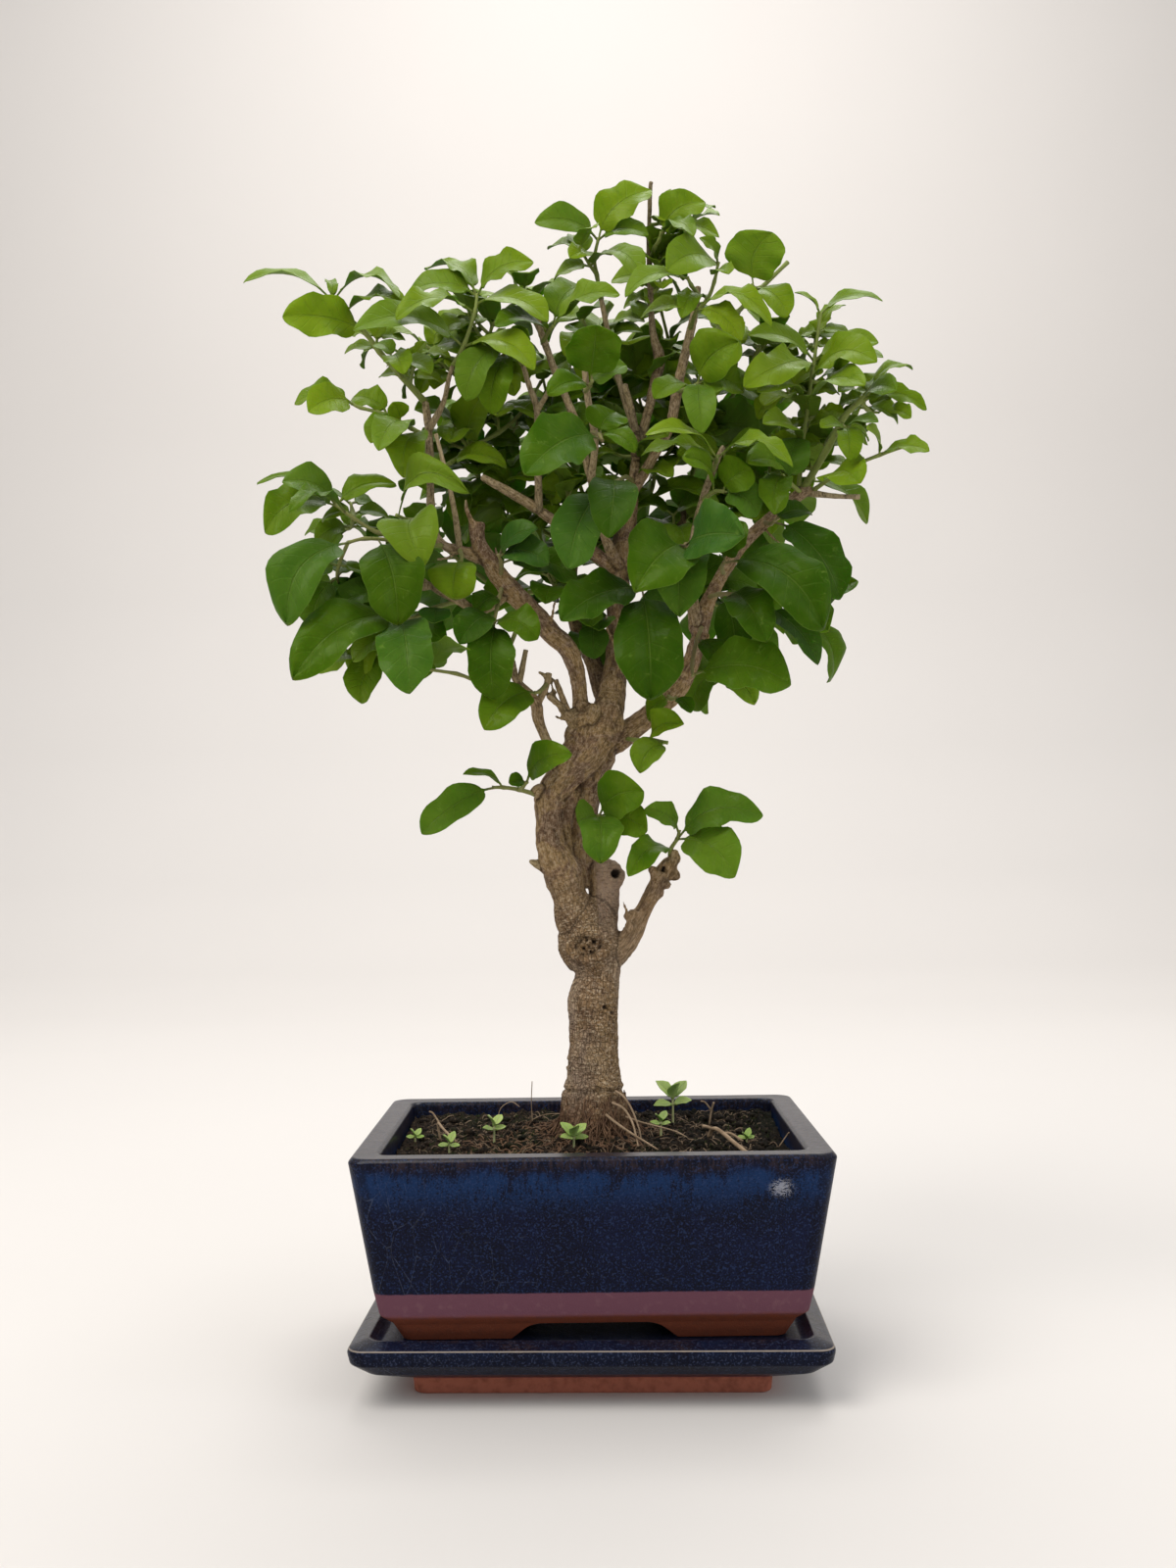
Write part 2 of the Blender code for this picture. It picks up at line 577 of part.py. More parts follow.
# Boughs behind, whose leaves stand in pairs by rule: (name, tone, leaf length, courses)
BACK_BOUGHS = (
    ("back_mid", "mid", 33, (
        ((1, 52, 398), (-4, 50, 412), (-10, 44, 427), (-16, 38, 442), (-20, 34, 458)),
        ((-4, 50, 412), (9, 58, 424), (15, 60, 439), (16, 60, 455)),
    )),
    ("back_left_high", "mid", 33, (
        ((-5, 46, 374), (-21, 46, 384), (-37, 42, 395), (-51, 38, 408), (-61, 34, 422)),
        ((-37, 42, 395), (-40, 52, 411), (-38, 56, 427), (-36, 58, 443)),
    )),
    ("back_left_low", "dark", 36, (
        ((-7, 35, 352), (-24, 38, 352), (-42, 40, 352), (-60, 40, 350), (-76, 38, 346)),
        ((-42, 40, 352), (-52, 48, 362), (-64, 52, 372), (-76, 52, 382)),
    )),
    ("back_left_top", "mid", 31, (
        ((-69, -20, 395), (-62, -6, 404), (-54, 8, 415), (-48, 18, 429), (-44, 24, 444)),
        ((-54, 8, 415), (-40, 14, 424), (-28, 18, 436), (-20, 20, 450)),
        ((-48, 18, 429), (-48, 10, 443), (-46, 6, 458), (-42, 4, 472)),
    )),
    ("back_right_high", "mid", 33, (
        ((50, 48, 399), (54, 46, 414), (57, 40, 430), (58, 34, 446), (58, 30, 462)),
        ((54, 46, 414), (68, 54, 424), (80, 58, 434), (91, 60, 444)),
        ((57, 40, 430), (69, 32, 441), (78, 23, 453), (84, 16, 465)),
    )),
    ("back_right_mid", "mid", 33, (
        ((46, 35, 373), (62, 38, 382), (79, 38, 390), (96, 36, 396), (111, 32, 404)),
        ((79, 38, 390), (86, 49, 403), (88, 56, 418)),
    )),
    ("back_right_low", "dark", 36, (
        ((49, 14, 346), (64, 24, 342), (80, 30, 338), (96, 32, 336), (110, 32, 334)),
        ((64, 24, 342), (71, 41, 349), (79, 54, 356)),
    )),
    ("back_crest", "mid", 31, (
        ((20, 8, 382), (30, 20, 393), (34, 30, 407), (34, 36, 423), (29, 38, 440), (25, 38, 457)),
        ((34, 36, 423), (43, 38, 439), (46, 36, 456), (42, 32, 472), (38, 28, 487)),
        ((29, 38, 440), (17, 30, 452), (7, 24, 466), (0, 20, 480)),
    )),
)

# Small weed seedlings: (name, x, y, height, leaf length, leaves)
SEEDLINGS = (
    ("seedling_left", -63, -20, 5, 6, 2),
    ("seedling_left_tall", -44, -8, 9, 7, 2),
    ("seedling_front", -8, -33, 6, 8, 3),
    ("seedling_right_pale", 38, 24, 13, 11, 3),
    ("seedling_right", 31, -4, 8, 6, 2),
)

TONES = {
    "lime": (0.16, 0.30, 0.02),
    "mid": (0.07, 0.19, 0.02),
    "dark": (0.04, 0.13, 0.015),
    "yellow": (0.28, 0.34, 0.02),
}


# Basic helpers


def clear_scene():
    """Remove every object that the scene holds."""
    for obj in list(bpy.data.objects):
        bpy.data.objects.remove(obj, do_unlink=True)


def make_material(name, colour, roughness, metallic=0.0):
    """Return a Principled material of one colour."""
    material = bpy.data.materials.new(name)
    material.use_nodes = True
    shader = material.node_tree.nodes["Principled BSDF"]
    shader.inputs["Base Color"].default_value = (*colour, 1.0)
    shader.inputs["Roughness"].default_value = roughness
    shader.inputs["Metallic"].default_value = metallic
    return material


def add_object(name, bm, material):
    """Turn a bmesh in millimetres into an object in metres."""
    bmesh.ops.scale(bm, vec=(MM, MM, MM), verts=bm.verts)
    mesh = bpy.data.meshes.new(name)
    bm.to_mesh(mesh)
    bm.free()
    if material:
        mesh.materials.append(material)
    obj = bpy.data.objects.new(name, mesh)
    bpy.context.scene.collection.objects.link(obj)
    return obj


def solid_bmesh(vertices, faces):
    """Return a closed bmesh with its faces pointing outwards."""
    bm = bmesh.new()
    verts = [bm.verts.new(place) for place in vertices]
    for face in faces:
        bm.faces.new([verts[index] for index in face])
    bmesh.ops.recalc_face_normals(bm, faces=bm.faces)
    return bm


def combine(target, tools, operation):
    """Apply one Boolean of the tools to the target and remove the tools."""
    group = bpy.data.collections.new(target.name + "_tools")
    bpy.context.scene.collection.children.link(group)
    for tool in tools:
        tool.hide_render = True
        tool.display_type = "WIRE"
        bpy.context.scene.collection.objects.unlink(tool)
        group.objects.link(tool)
    modifier = target.modifiers.new("combine", "BOOLEAN")
    modifier.operand_type = "COLLECTION"
    modifier.collection = group
    modifier.operation = operation
    modifier.solver = "EXACT"
    depsgraph = bpy.context.evaluated_depsgraph_get()
    mesh = bpy.data.meshes.new_from_object(target.evaluated_get(depsgraph))
    mesh.name = target.name
    target.modifiers.remove(modifier)
    old = target.data
    target.data = mesh
    bpy.data.meshes.remove(old)
    for tool in tools:
        bpy.data.objects.remove(tool, do_unlink=True)
    bpy.data.collections.remove(group)


def is_clean(bm):
    """Say whether a bmesh is closed, pinched nowhere and crosses itself nowhere."""
    if not all(part.is_manifold for part in (*bm.edges, *bm.verts)):
        return False
    bm.faces.ensure_lookup_table()
    tree = BVHTree.FromBMesh(bm)
    return all(set(bm.faces[one].verts) & set(bm.faces[other].verts)
               for one, other in tree.overlap(tree))


def settle(obj):
    """Merge a Boolean's slivers as far as the object stays clean, and split it into triangles."""
    for merge in SLIVER_MERGES:
        for method in ("BEAUTY", "EAR_CLIP"):
            bm = bmesh.new()
            bm.from_mesh(obj.data)
            if merge:
                bmesh.ops.remove_doubles(bm, verts=bm.verts, dist=merge * MM)
            bmesh.ops.triangulate(bm, faces=bm.faces, ngon_method=method)
            clean = is_clean(bm)
            if clean:
                bm.to_mesh(obj.data)
            bm.free()
            if clean:
                return
    print("not clean:", obj.name)


def thin_faces(obj, shares):
    """Keep the first share of an object's faces that leaves it clean."""
    modifier = obj.modifiers.new("thin", "DECIMATE")
    for share in shares:
        modifier.ratio = share
        depsgraph = bpy.context.evaluated_depsgraph_get()
        mesh = bpy.data.meshes.new_from_object(obj.evaluated_get(depsgraph))
        bm = bmesh.new()
        bm.from_mesh(mesh)
        clean = is_clean(bm)
        bm.free()
        if clean:
            obj.data = mesh
            break
    obj.modifiers.remove(modifier)


# Courses


def course_point(course, place):
    """Return the point at a place, in steps, along a course."""
    index = min(int(place), len(course) - 2)
    return Vector(course[index]).lerp(Vector(course[index + 1]), place - index)


def cut_course(course, length):
    """Return a course's first stretch of the given length, and the rest of it."""
    points = [Vector(point) for point in course]
    head = [points[0]]
    left = length
    for index in range(len(points) - 1):
        step = (points[index + 1] - points[index]).length
        if step > left:
            cut = points[index].lerp(points[index + 1], left / step)
            return head + [cut], [cut] + points[index + 1:]
        head.append(points[index + 1])
        left -= step
    raise ValueError("the course is shorter than the cut")


def wood_reach(point):
    """Return how far the wood reaches from a point on or near a limb's middle line."""
    reach = 0.0
    for limb in LIMBS.values():
        for start, end in zip(limb, limb[1:]):
            a = Vector(start[:3])
            b = Vector(end[:3])
            share = max(0.0, min(1.0, (point - a).dot(b - a) / (b - a).length_squared))
            radius = start[3] + (end[3] - start[3]) * share
            if (a.lerp(b, share) - point).length < radius:
                reach = max(reach, radius)
    return reach


def tube_bmesh(points, radii, roundness):
    """Return a closed tapered tube, made as a bevelled curve with filled caps."""
    curve = bpy.data.curves.new("tube", "CURVE")
    curve.dimensions = "3D"
    curve.bevel_depth = 1.0
    curve.bevel_resolution = roundness
    curve.use_fill_caps = True
    spline = curve.splines.new("POLY")
    spline.points.add(len(points) - 1)
    for point, place, radius in zip(spline.points, points, radii):
        point.co = (*place, 1.0)
        point.radius = radius
    obj = bpy.data.objects.new("tube", curve)
    bpy.context.scene.collection.objects.link(obj)
    depsgraph = bpy.context.evaluated_depsgraph_get()
    mesh = bpy.data.meshes.new_from_object(obj.evaluated_get(depsgraph))
    bm = bmesh.new()
    bm.from_mesh(mesh)
    bmesh.ops.remove_doubles(bm, verts=bm.verts, dist=1e-4)
    bmesh.ops.recalc_face_normals(bm, faces=bm.faces)
    bpy.data.objects.remove(obj, do_unlink=True)
    bpy.data.curves.remove(curve)
    bpy.data.meshes.remove(mesh)
    return bm


# Pot, tray and screens


def rounded_loop(half_length, half_width, height, corner):
    """Return the points of a rectangle with round corners."""
    points = []
    for quarter, (sign_x, sign_y) in enumerate(((1, 1), (-1, 1), (-1, -1), (1, -1))):
        for step in range(CORNER_STEPS + 1):
            angle = math.radians(90 * (quarter + step / CORNER_STEPS))
            points.append((
                sign_x * (half_length - corner) + corner * math.cos(angle),
                sign_y * (half_width - corner) + corner * math.sin(angle),
                height,
            ))
    return points


def lofted_bmesh(levels):
    """Return a closed solid through the levels: (half length, half width, height, corner)."""
    loops = [rounded_loop(*level) for level in levels]
    count = len(loops[0])
    vertices = [point for loop in loops for point in loop]
    faces = [tuple(range(count)), tuple(range(len(vertices) - count, len(vertices)))]
    for level in range(len(loops) - 1):
        base = level * count
        for index in range(count):
            follower = (index + 1) % count
            faces.append((base + index, base + follower, base + count + follower, base + count + index))
    return solid_bmesh(vertices, faces)


def box_bmesh(low, high):
    """Return a box between two corners."""
    bm = bmesh.new()
    bmesh.ops.create_cube(bm, size=1.0)
    for vert in bm.verts:
        vert.co = [low[axis] if vert.co[axis] < 0 else high[axis] for axis in range(3)]
    return bm


def cylinder_bmesh(x, y, low, high, radius, sides):
    """Return an upright cylinder."""
    bm = bmesh.new()
    bmesh.ops.create_cone(bm, cap_ends=True, segments=sides, radius1=radius, radius2=radius,
                          depth=high - low)
    bmesh.ops.translate(bm, vec=(x, y, (low + high) / 2), verts=bm.verts)
    return bm


def foot_cutter(axis):
    """Return the splayed block that parts the feet, running along x (0) or y (1)."""
    low = POT_FEET_BOTTOM - 2.0
    half_top = FOOT_GAP_TOP[1 - axis]
    half_low = half_top + FOOT_GAP_SPLAY * (POT_FEET_TOP - low) / (POT_FEET_TOP - POT_FEET_BOTTOM)
    bm = bmesh.new()
    bmesh.ops.create_cube(bm, size=1.0)
    for vert in bm.verts:
        half = half_low if vert.co.z < 0 else half_top
        vert.co.z = low if vert.co.z < 0 else POT_FEET_TOP
        vert.co[axis] = math.copysign(FOOT_CUT_REACH, vert.co[axis])
        vert.co[1 - axis] = math.copysign(half, vert.co[1 - axis])
    return bm


def build_pot(material):
    """Build the pot: flared walls, flat rim, corner feet and two drain holes."""
    glaze = (POT_HALF_LENGTH - 9.15, POT_HALF_WIDTH - 9.15)
    inner = (POT_HALF_LENGTH - RIM_FLAT - 0.8, POT_HALF_WIDTH - RIM_FLAT - 0.8)
    levels = (
        (80.0, 55.0, POT_FEET_BOTTOM, 5.0),
        (84.0, 59.0, POT_FEET_TOP, 5.5),
        (88.7, 63.7, 36.0, 6.0),
        (*glaze, GLAZE_END, 6.0),
        (POT_HALF_LENGTH - 0.2, POT_HALF_WIDTH - 0.2, POT_RIM_HEIGHT - 3.5, POT_CORNER),
        (POT_HALF_LENGTH, POT_HALF_WIDTH, POT_RIM_HEIGHT - 1.5, POT_CORNER),
        (POT_HALF_LENGTH - 1.2, POT_HALF_WIDTH - 1.2, POT_RIM_HEIGHT, POT_CORNER),
        (inner[0] + 0.8, inner[1] + 0.8, POT_RIM_HEIGHT, 6.0),
        (*inner, POT_RIM_HEIGHT - 1.2, 6.0),
        (81.0, 56.0, 45.0, 6.0),
        (78.0, 53.0, POT_FLOOR, 5.0),
    )
    pot = add_object("pot", lofted_bmesh(levels), material)
    pocket = box_bmesh((-FOOT_POCKET[0], -FOOT_POCKET[1], POT_FEET_BOTTOM - 2),
                       (FOOT_POCKET[0], FOOT_POCKET[1], POT_FEET_TOP))
    tools = [add_object("cutter", foot_cutter(0), None), add_object("cutter", foot_cutter(1), None),
             add_object("cutter", pocket, None)]
    for side in (-1, 1):
        hole = cylinder_bmesh(side * DRAIN_X, 0, POT_FEET_TOP - 3, POT_FLOOR + 3, DRAIN_RADIUS, 16)
        tools.append(add_object("cutter", hole, None))
    combine(pot, tools, "DIFFERENCE")
    settle(pot)
    return pot


def build_tray(material):
    """Build the drip tray: flared rim, flat floor and a hollow foot ring."""
    levels = (
        (*TRAY_FOOT, 0.0, 5.0),
        (TRAY_FOOT[0] + 0.6, TRAY_FOOT[1] + 0.6, 6.7, 5.0),
        (92.0, 67.0, 13.5, 6.0),
        (TRAY_HALF_LENGTH - 1.0, TRAY_HALF_WIDTH - 1.0, 19.0, POT_CORNER),
        (TRAY_HALF_LENGTH, TRAY_HALF_WIDTH, 24.2, POT_CORNER),
        (TRAY_HALF_LENGTH - 0.7, TRAY_HALF_WIDTH - 0.7, 25.3, POT_CORNER),
        (91.0, 66.0, TRAY_RIM_HEIGHT, 6.0),
        (87.5, 62.5, TRAY_FLOOR, 6.0),
    )
    tray = add_object("drip_tray", lofted_bmesh(levels), material)
    ring = (TRAY_FOOT[0] - TRAY_FOOT_WALL, TRAY_FOOT[1] - TRAY_FOOT_WALL)
    hollow = lofted_bmesh(((*ring, -2.0, 4.0), (*ring, TRAY_HOLLOW_TOP, 4.0)))
    combine(tray, [add_object("cutter", hollow, None)], "DIFFERENCE")
    settle(tray)
    tray.rotation_euler.z = TRAY_TURN
    return tray


def build_screen(name, centre_x, material):
    """Build one square of drainage mesh over a drain hole."""
    half = SCREEN_SIDE / 2
    low = POT_FLOOR + GAP
    sheet = box_bmesh((centre_x - half, -half, low), (centre_x + half, half, low + SCREEN_THICK))
    screen = add_object(name, sheet, material)
    pitch = SCREEN_SIDE / (SCREEN_CELLS + 0.5)
    holes = []
    for column in range(SCREEN_CELLS):
        for row in range(SCREEN_CELLS):
            x = centre_x + (column - (SCREEN_CELLS - 1) / 2) * pitch
            y = (row - (SCREEN_CELLS - 1) / 2) * pitch
            reach = SCREEN_HOLE / 2
            hole = box_bmesh((x - reach, y - reach, low - 2), (x + reach, y + reach, low + 3))
            holes.append(add_object("cutter", hole, None))
    combine(screen, holes, "DIFFERENCE")
    settle(screen)
    return screen


# Soil


def soil_height(x, y):
    """Return the height of the soil's surface at a place."""
    mound = SOIL_MOUND * math.exp(-(x * x + y * y) / SOIL_MOUND_REACH ** 2)
    lump = 2.2 * math.exp(-((x - 76) ** 2 + (y - 42) ** 2) / 15 ** 2)
    bank = SOIL_BANK * max(0.0, y) / POT_HALF_WIDTH
    rough = SOIL_ROUGHNESS * noise.noise(Vector((x, y, 3.0)) * 0.055)
    return SOIL_EDGE_HEIGHT + mound + lump + bank + rough


def build_soil(material):
    """Build the soil: a mounded top, sides that follow the pot, and plain holes for stems."""
    bm = bmesh.new()
    bmesh.ops.create_grid(bm, x_segments=SOIL_CELLS[0], y_segments=SOIL_CELLS[1], size=1.0)
    for vert in bm.verts:
        corner = abs(vert.co.x) > 0.99 and abs(vert.co.y) > 0.99
        pull = SOIL_CORNER_PULL if corner else 0.0
        x = vert.co.x * (SOIL_LEVELS[0][0] - pull)
        y = vert.co.y * (SOIL_LEVELS[0][1] - pull)
        vert.co = (x, y, soil_height(x, y))
    for above, level in zip(SOIL_LEVELS, SOIL_LEVELS[1:]):
        rim = [edge for edge in bm.edges if edge.is_boundary]
        lowered = bmesh.ops.extrude_edge_only(bm, edges=rim)["geom"]
        for vert in (item for item in lowered if isinstance(item, bmesh.types.BMVert)):
            vert.co.x *= level[0] / above[0]
            vert.co.y *= level[1] / above[1]
            vert.co.z = level[2]
    bmesh.ops.holes_fill(bm, edges=[edge for edge in bm.edges if edge.is_boundary], sides=0)
    bmesh.ops.recalc_face_normals(bm, faces=bm.faces)
    soil = add_object("soil", bm, material)
    tools = [add_object("cutter", cylinder_bmesh(0, 0, ROOT_HOLE_BOTTOM, 130, ROOT_HOLE_RADIUS, 20), None)]
    for _, x, y, *_ in SEEDLINGS:
        height = soil_height(x, y)
        hole = cylinder_bmesh(x, y, height - 5, height + 6, SEEDLING_HOLE_RADIUS, 6)
        tools.append(add_object("cutter", hole, None))
    combine(soil, tools, "DIFFERENCE")
    settle(soil)
    return soil


# Leaves


class Blade:
    """A leaf blade on its stalk, as a bent sheet between its root and its tip."""

    def __init__(self, root, tip, width, face, arch):
        self.root = Vector(root)
        self.width = width * FULLNESS
        self.detailed = self.width > SMALL_BLADE and self.root.y < BACK_FROM
        chord = Vector(tip) - self.root
        self.length = chord.length
        self.along = chord.normalized()
        turn = math.radians(face)
        facing = Vector((0.0, -math.sin(turn), math.cos(turn)))
        self.normal = (facing - self.along * facing.dot(self.along)).normalized()
        lift = Vector((0, 0, 1)) - self.along * self.along.z
        self.rise = (lift.normalized() + 0.4 * self.normal).normalized() * arch * self.length
        self.across = self.along.cross(self.normal)

    def place(self, share, side, width_share):
        """Return the point at a share of the length and at a side from -1 to 1."""
        half = STALK_WIDTH / 2 + (self.width / 2 - STALK_WIDTH / 2) * width_share
        middle = self.root + self.along * self.length * share + self.rise * 4 * share * (1 - share)
        raised = abs(side) * half * width_share * math.sin(BLADE_FOLD)
        return middle + self.across * side * half * math.cos(BLADE_FOLD) + self.normal * raised

    def solid(self, first_row=0, thick=BLADE_THICK, spread=0.0, rows=None):
        """Return the blade, from a row onwards, as a closed bmesh of the given thickness."""
        rows = rows or (BLADE_ROWS if self.detailed else PLAIN_BLADE_ROWS)
        rows = rows[first_row:]
        bm = bmesh.new()
        bmesh.ops.create_grid(bm, x_segments=1, y_segments=len(rows) - 1, size=1.0)
        for vert in bm.verts:
            side = vert.co.x
            share, width_share = rows[round((vert.co.y + 1) / 2 * (len(rows) - 1))]
            vert.co = self.place(share, side, width_share)
            vert.co += self.across * math.copysign(spread, side)
        bmesh.ops.triangulate(bm, faces=bm.faces, quad_method="FIXED")
        bm.normal_update()
        normals = {tuple(vert.co): vert.normal.copy() for vert in bm.verts}
        originals = list(bm.verts)
        raised = bmesh.ops.extrude_face_region(bm, geom=bm.faces[:], use_keep_orig=True)["geom"]
        for vert in (item for item in raised if isinstance(item, bmesh.types.BMVert)):
            vert.co += normals[tuple(vert.co)] * thick / 2
        for vert in originals:
            vert.co -= normals[tuple(vert.co)] * thick / 2
        bmesh.ops.recalc_face_normals(bm, faces=bm.faces)
        bmesh.ops.triangulate(bm, faces=bm.faces)
        return bm


class Space:
    """The solids placed so far, against which a new blade is tried."""

    def __init__(self):
        self.trees = {}

    def add(self, owner, bm):
        """Add one solid that belongs to an owner."""
        self.trees.setdefault(owner, []).append(BVHTree.FromBMesh(bm))

    def is_clear(self, whole, outer, owner):
        """Say whether a blade crosses nothing: the whole of it elsewhere, its outer part at home."""
        whole_tree = BVHTree.FromBMesh(whole)
        outer_tree = BVHTree.FromBMesh(outer)
        for name, trees in self.trees.items():
            tried = outer_tree if name == owner else whole_tree
            if any(tried.overlap(tree) for tree in trees):
                return False
        return True


def leaf_root(course, place, tip):
    """Return where a leaf's stalk starts: inside its twig, on the side that the tip lies."""
    point = course_point(course, place)
    end = Vector(course[-1])
    if (end - point).length < 1.0:
        back = (Vector(course[-2]) - end).normalized()
        point = end + back
    return point + (Vector(tip) - point).normalized() * STALK_STEP


def fit_blade(space, owner, root, tip, width, face, arch):
    """Return a blade whose tip is moved in depth, or which is turned, until it is clear."""
    for turn in TURNS:
        for shift in SHIFTS:
            moved = (tip[0], tip[1] + shift, tip[2])
            blade = Blade(root, moved, width, face + turn, arch)
            whole = blade.solid(thick=BLADE_THICK + 2 * GAP, spread=GAP)
            outer = blade.solid(first_row=1, thick=BLADE_THICK + 2 * GAP, spread=GAP)
            clear = space.is_clear(whole, outer, owner)
            whole.free()
            outer.free()
            if clear:
                return blade
    return None


# Wood and shoots


def leaf_pairs(course, first, length, rule):
    """Return leaves in opposite pairs from a course's first leafy node, each square to the last."""
    leaves = []
    for node in range(first, len(course)):
        point = Vector(course[node])
        heading = (point - Vector(course[node - 1])).normalized()
        level = heading.cross(Vector((0, 0, 1))).normalized()
        upright = level.cross(heading)
        spread = level if node % 2 else (upright * 0.8 + level * 0.45)
        for side in (-1, 1):
            reach = length * rule.uniform(0.85, 1.1)
            way = spread * side + heading * rule.uniform(0.2, 0.6)
            way.z -= rule.uniform(0.1, 0.4)
            tip = point + way.normalized() * reach
            tip.y = min(tip.y, BACK_LIMIT)
            face = rule.uniform(30, 60) * (-1 if point.y > BACK_FROM else 1)
            leaves.append((node, *tip, reach * rule.uniform(0.58, 0.68), face))
    return tuple(leaves)


def back_bough(name, tone, length, courses):
    """Return a bough behind the front shoots as a shoot with a twig for each course."""
    rule = random.Random(f"{SEED} {name}")
    twigs = tuple(Twig(1.2, 0.7, course, leaf_pairs(course, 2 if order else 1, length, rule))
                  for order, course in enumerate(courses))
    return Shoot(name, tone, twigs)


def shoot_stem(shoot):
    """Return a shoot's first course, split where it leaves the wood."""
    first = shoot.twigs[0]
    reach = wood_reach(Vector(first.course[0])) + first.start_radius + SPUR_LENGTH
    spur, rest = cut_course(first.course, reach)
    _, rest = cut_course(rest, GAP)
    return spur, rest


def twig_tubes(shoot):
    """Return the tubes of a shoot's twigs."""
    tubes = []
    for index, twig in enumerate(shoot.twigs):
        points = shoot_stem(shoot)[1] if index == 0 else [Vector(point) for point in twig.course]
        count = len(points) - 1
        radii = [twig.start_radius + (twig.end_radius - twig.start_radius) * step / count
                 for step in range(count + 1)]
        tubes.append(tube_bmesh(points, radii, 0))
    return tubes


def build_wood(shoots, material):
    """Build trunk, limbs, cut stubs and the spurs that carry the shoots as one grown piece."""
    limbs = []
    for limb in LIMBS.values():
        widest = max(row[3] for row in limb)
        roundness = 3 if widest > 12 else 2 if widest > 6 else 1 if widest > 2.2 else 0
        tube = tube_bmesh([row[:3] for row in limb], [row[3] for row in limb], roundness)
        limbs.append(add_object("trunk", tube, material))
    wood, *others = limbs
    combine(wood, others, "UNION")
    thin_faces(wood, WOOD_THINNING)
    spurs = []
    for shoot in shoots:
        spur, _ = shoot_stem(shoot)
        radius = shoot.twigs[0].start_radius + SPUR_COLLAR
        spurs.append(add_object("spur", tube_bmesh(spur, [radius] * len(spur), 0), None))
    combine(wood, spurs, "UNION")
    settle(wood)
    return wood


def build_shoots(shoots, space, materials):
    """Build every leafy shoot: its twigs and its leaves fused to one body."""
    tubes = {shoot.name: twig_tubes(shoot) for shoot in shoots}
    for name, parts in tubes.items():
        for part in parts:
            space.add(name, part)
    dropped = 0
    for shoot in shoots:
        blades = []
        for twig in shoot.twigs:
            for place, x, y, z, width, face, *arch in twig.leaves:
                root = leaf_root(twig.course, place, (x, y, z))
                bend = arch[0] if arch else USUAL_ARCH
                blade = fit_blade(space, shoot.name, root, (x, y, z), width, face, bend)
                if blade is None:
                    dropped += 1
                    continue
                solid = blade.solid()
                space.add(shoot.name, solid)
                blades.append(solid)
        base, *others = tubes[shoot.name] + blades
        body = add_object(shoot.name, base, materials[shoot.tone])
        combine(body, [add_object("leaf", solid, None) for solid in others], "UNION")
        settle(body)
    print("leaves without a clear place:", dropped)


def build_seedlings(material):
    """Build the weed seedlings that grow from the soil."""
    for name, x, y, height, length, count in SEEDLINGS:
        ground = soil_height(x, y)
        top = Vector((x, y, ground + height))
        stem = tube_bmesh([(x, y, ground - 4), (x, y, ground), top], [0.6, 0.6, 0.5], 0)
        body = add_object(name, stem, material)
        leaves = []
        for index in range(count):
            angle = math.tau * (index + 0.35) / count
            way = Vector((math.cos(angle), math.sin(angle) * 0.8, 0.35))
            tip = top + way.normalized() * length
            blade = Blade(top - Vector((0, 0, 0.8)), tip, length * 0.55, 25, 0.12)
            leaves.append(add_object("leaf", blade.solid(rows=SEEDLING_ROWS, thick=0.6), None))
        combine(body, leaves, "UNION")
        settle(body)


def main():
    """Build the whole bonsai."""
    clear_scene()
    glaze = make_material("glazed_stoneware", (0.01, 0.014, 0.035), 0.25)
    mesh = make_material("screen_plastic", (0.02, 0.02, 0.02), 0.6)
    earth = make_material("soil", (0.03, 0.02, 0.012), 0.95)
    bark = make_material("bark", (0.16, 0.11, 0.07), 0.85)
    weed = make_material("seedling", (0.25, 0.42, 0.06), 0.5)
    leaves = {tone: make_material("leaf_" + tone, colour, 0.4) for tone, colour in TONES.items()}
    build_tray(glaze)
    build_pot(glaze)
    build_screen("screen_left", -DRAIN_X, mesh)
    build_screen("screen_right", DRAIN_X, mesh)
    build_soil(earth)
    shoots = SHOOTS + tuple(back_bough(*row) for row in BACK_BOUGHS)
    wood = build_wood(shoots, bark)
    space = Space()
    surface = bmesh.new()
    surface.from_mesh(wood.data)
    bmesh.ops.scale(surface, vec=(1 / MM, 1 / MM, 1 / MM), verts=surface.verts)
    space.add("wood", surface)
    build_shoots(shoots, space, leaves)
    build_seedlings(weed)


main()
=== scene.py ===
"""Looks of a privet bonsai in a rectangular glazed pot that stands on its drip tray.

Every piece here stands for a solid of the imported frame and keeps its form, or lies or grows on
one. The tables repeat the layout of those solids: millimetres, x to the right, y away from the
front, z up, measured from the middle of the tray's underside. Meshes are built in millimetres and
end in metres.
"""

import json
import logging
import math
import random
from dataclasses import dataclass, field
from enum import Enum
from typing import Iterable, NamedTuple, Sequence

import bmesh
import bpy
from mathutils import Matrix, Vector, noise
from mathutils.kdtree import KDTree

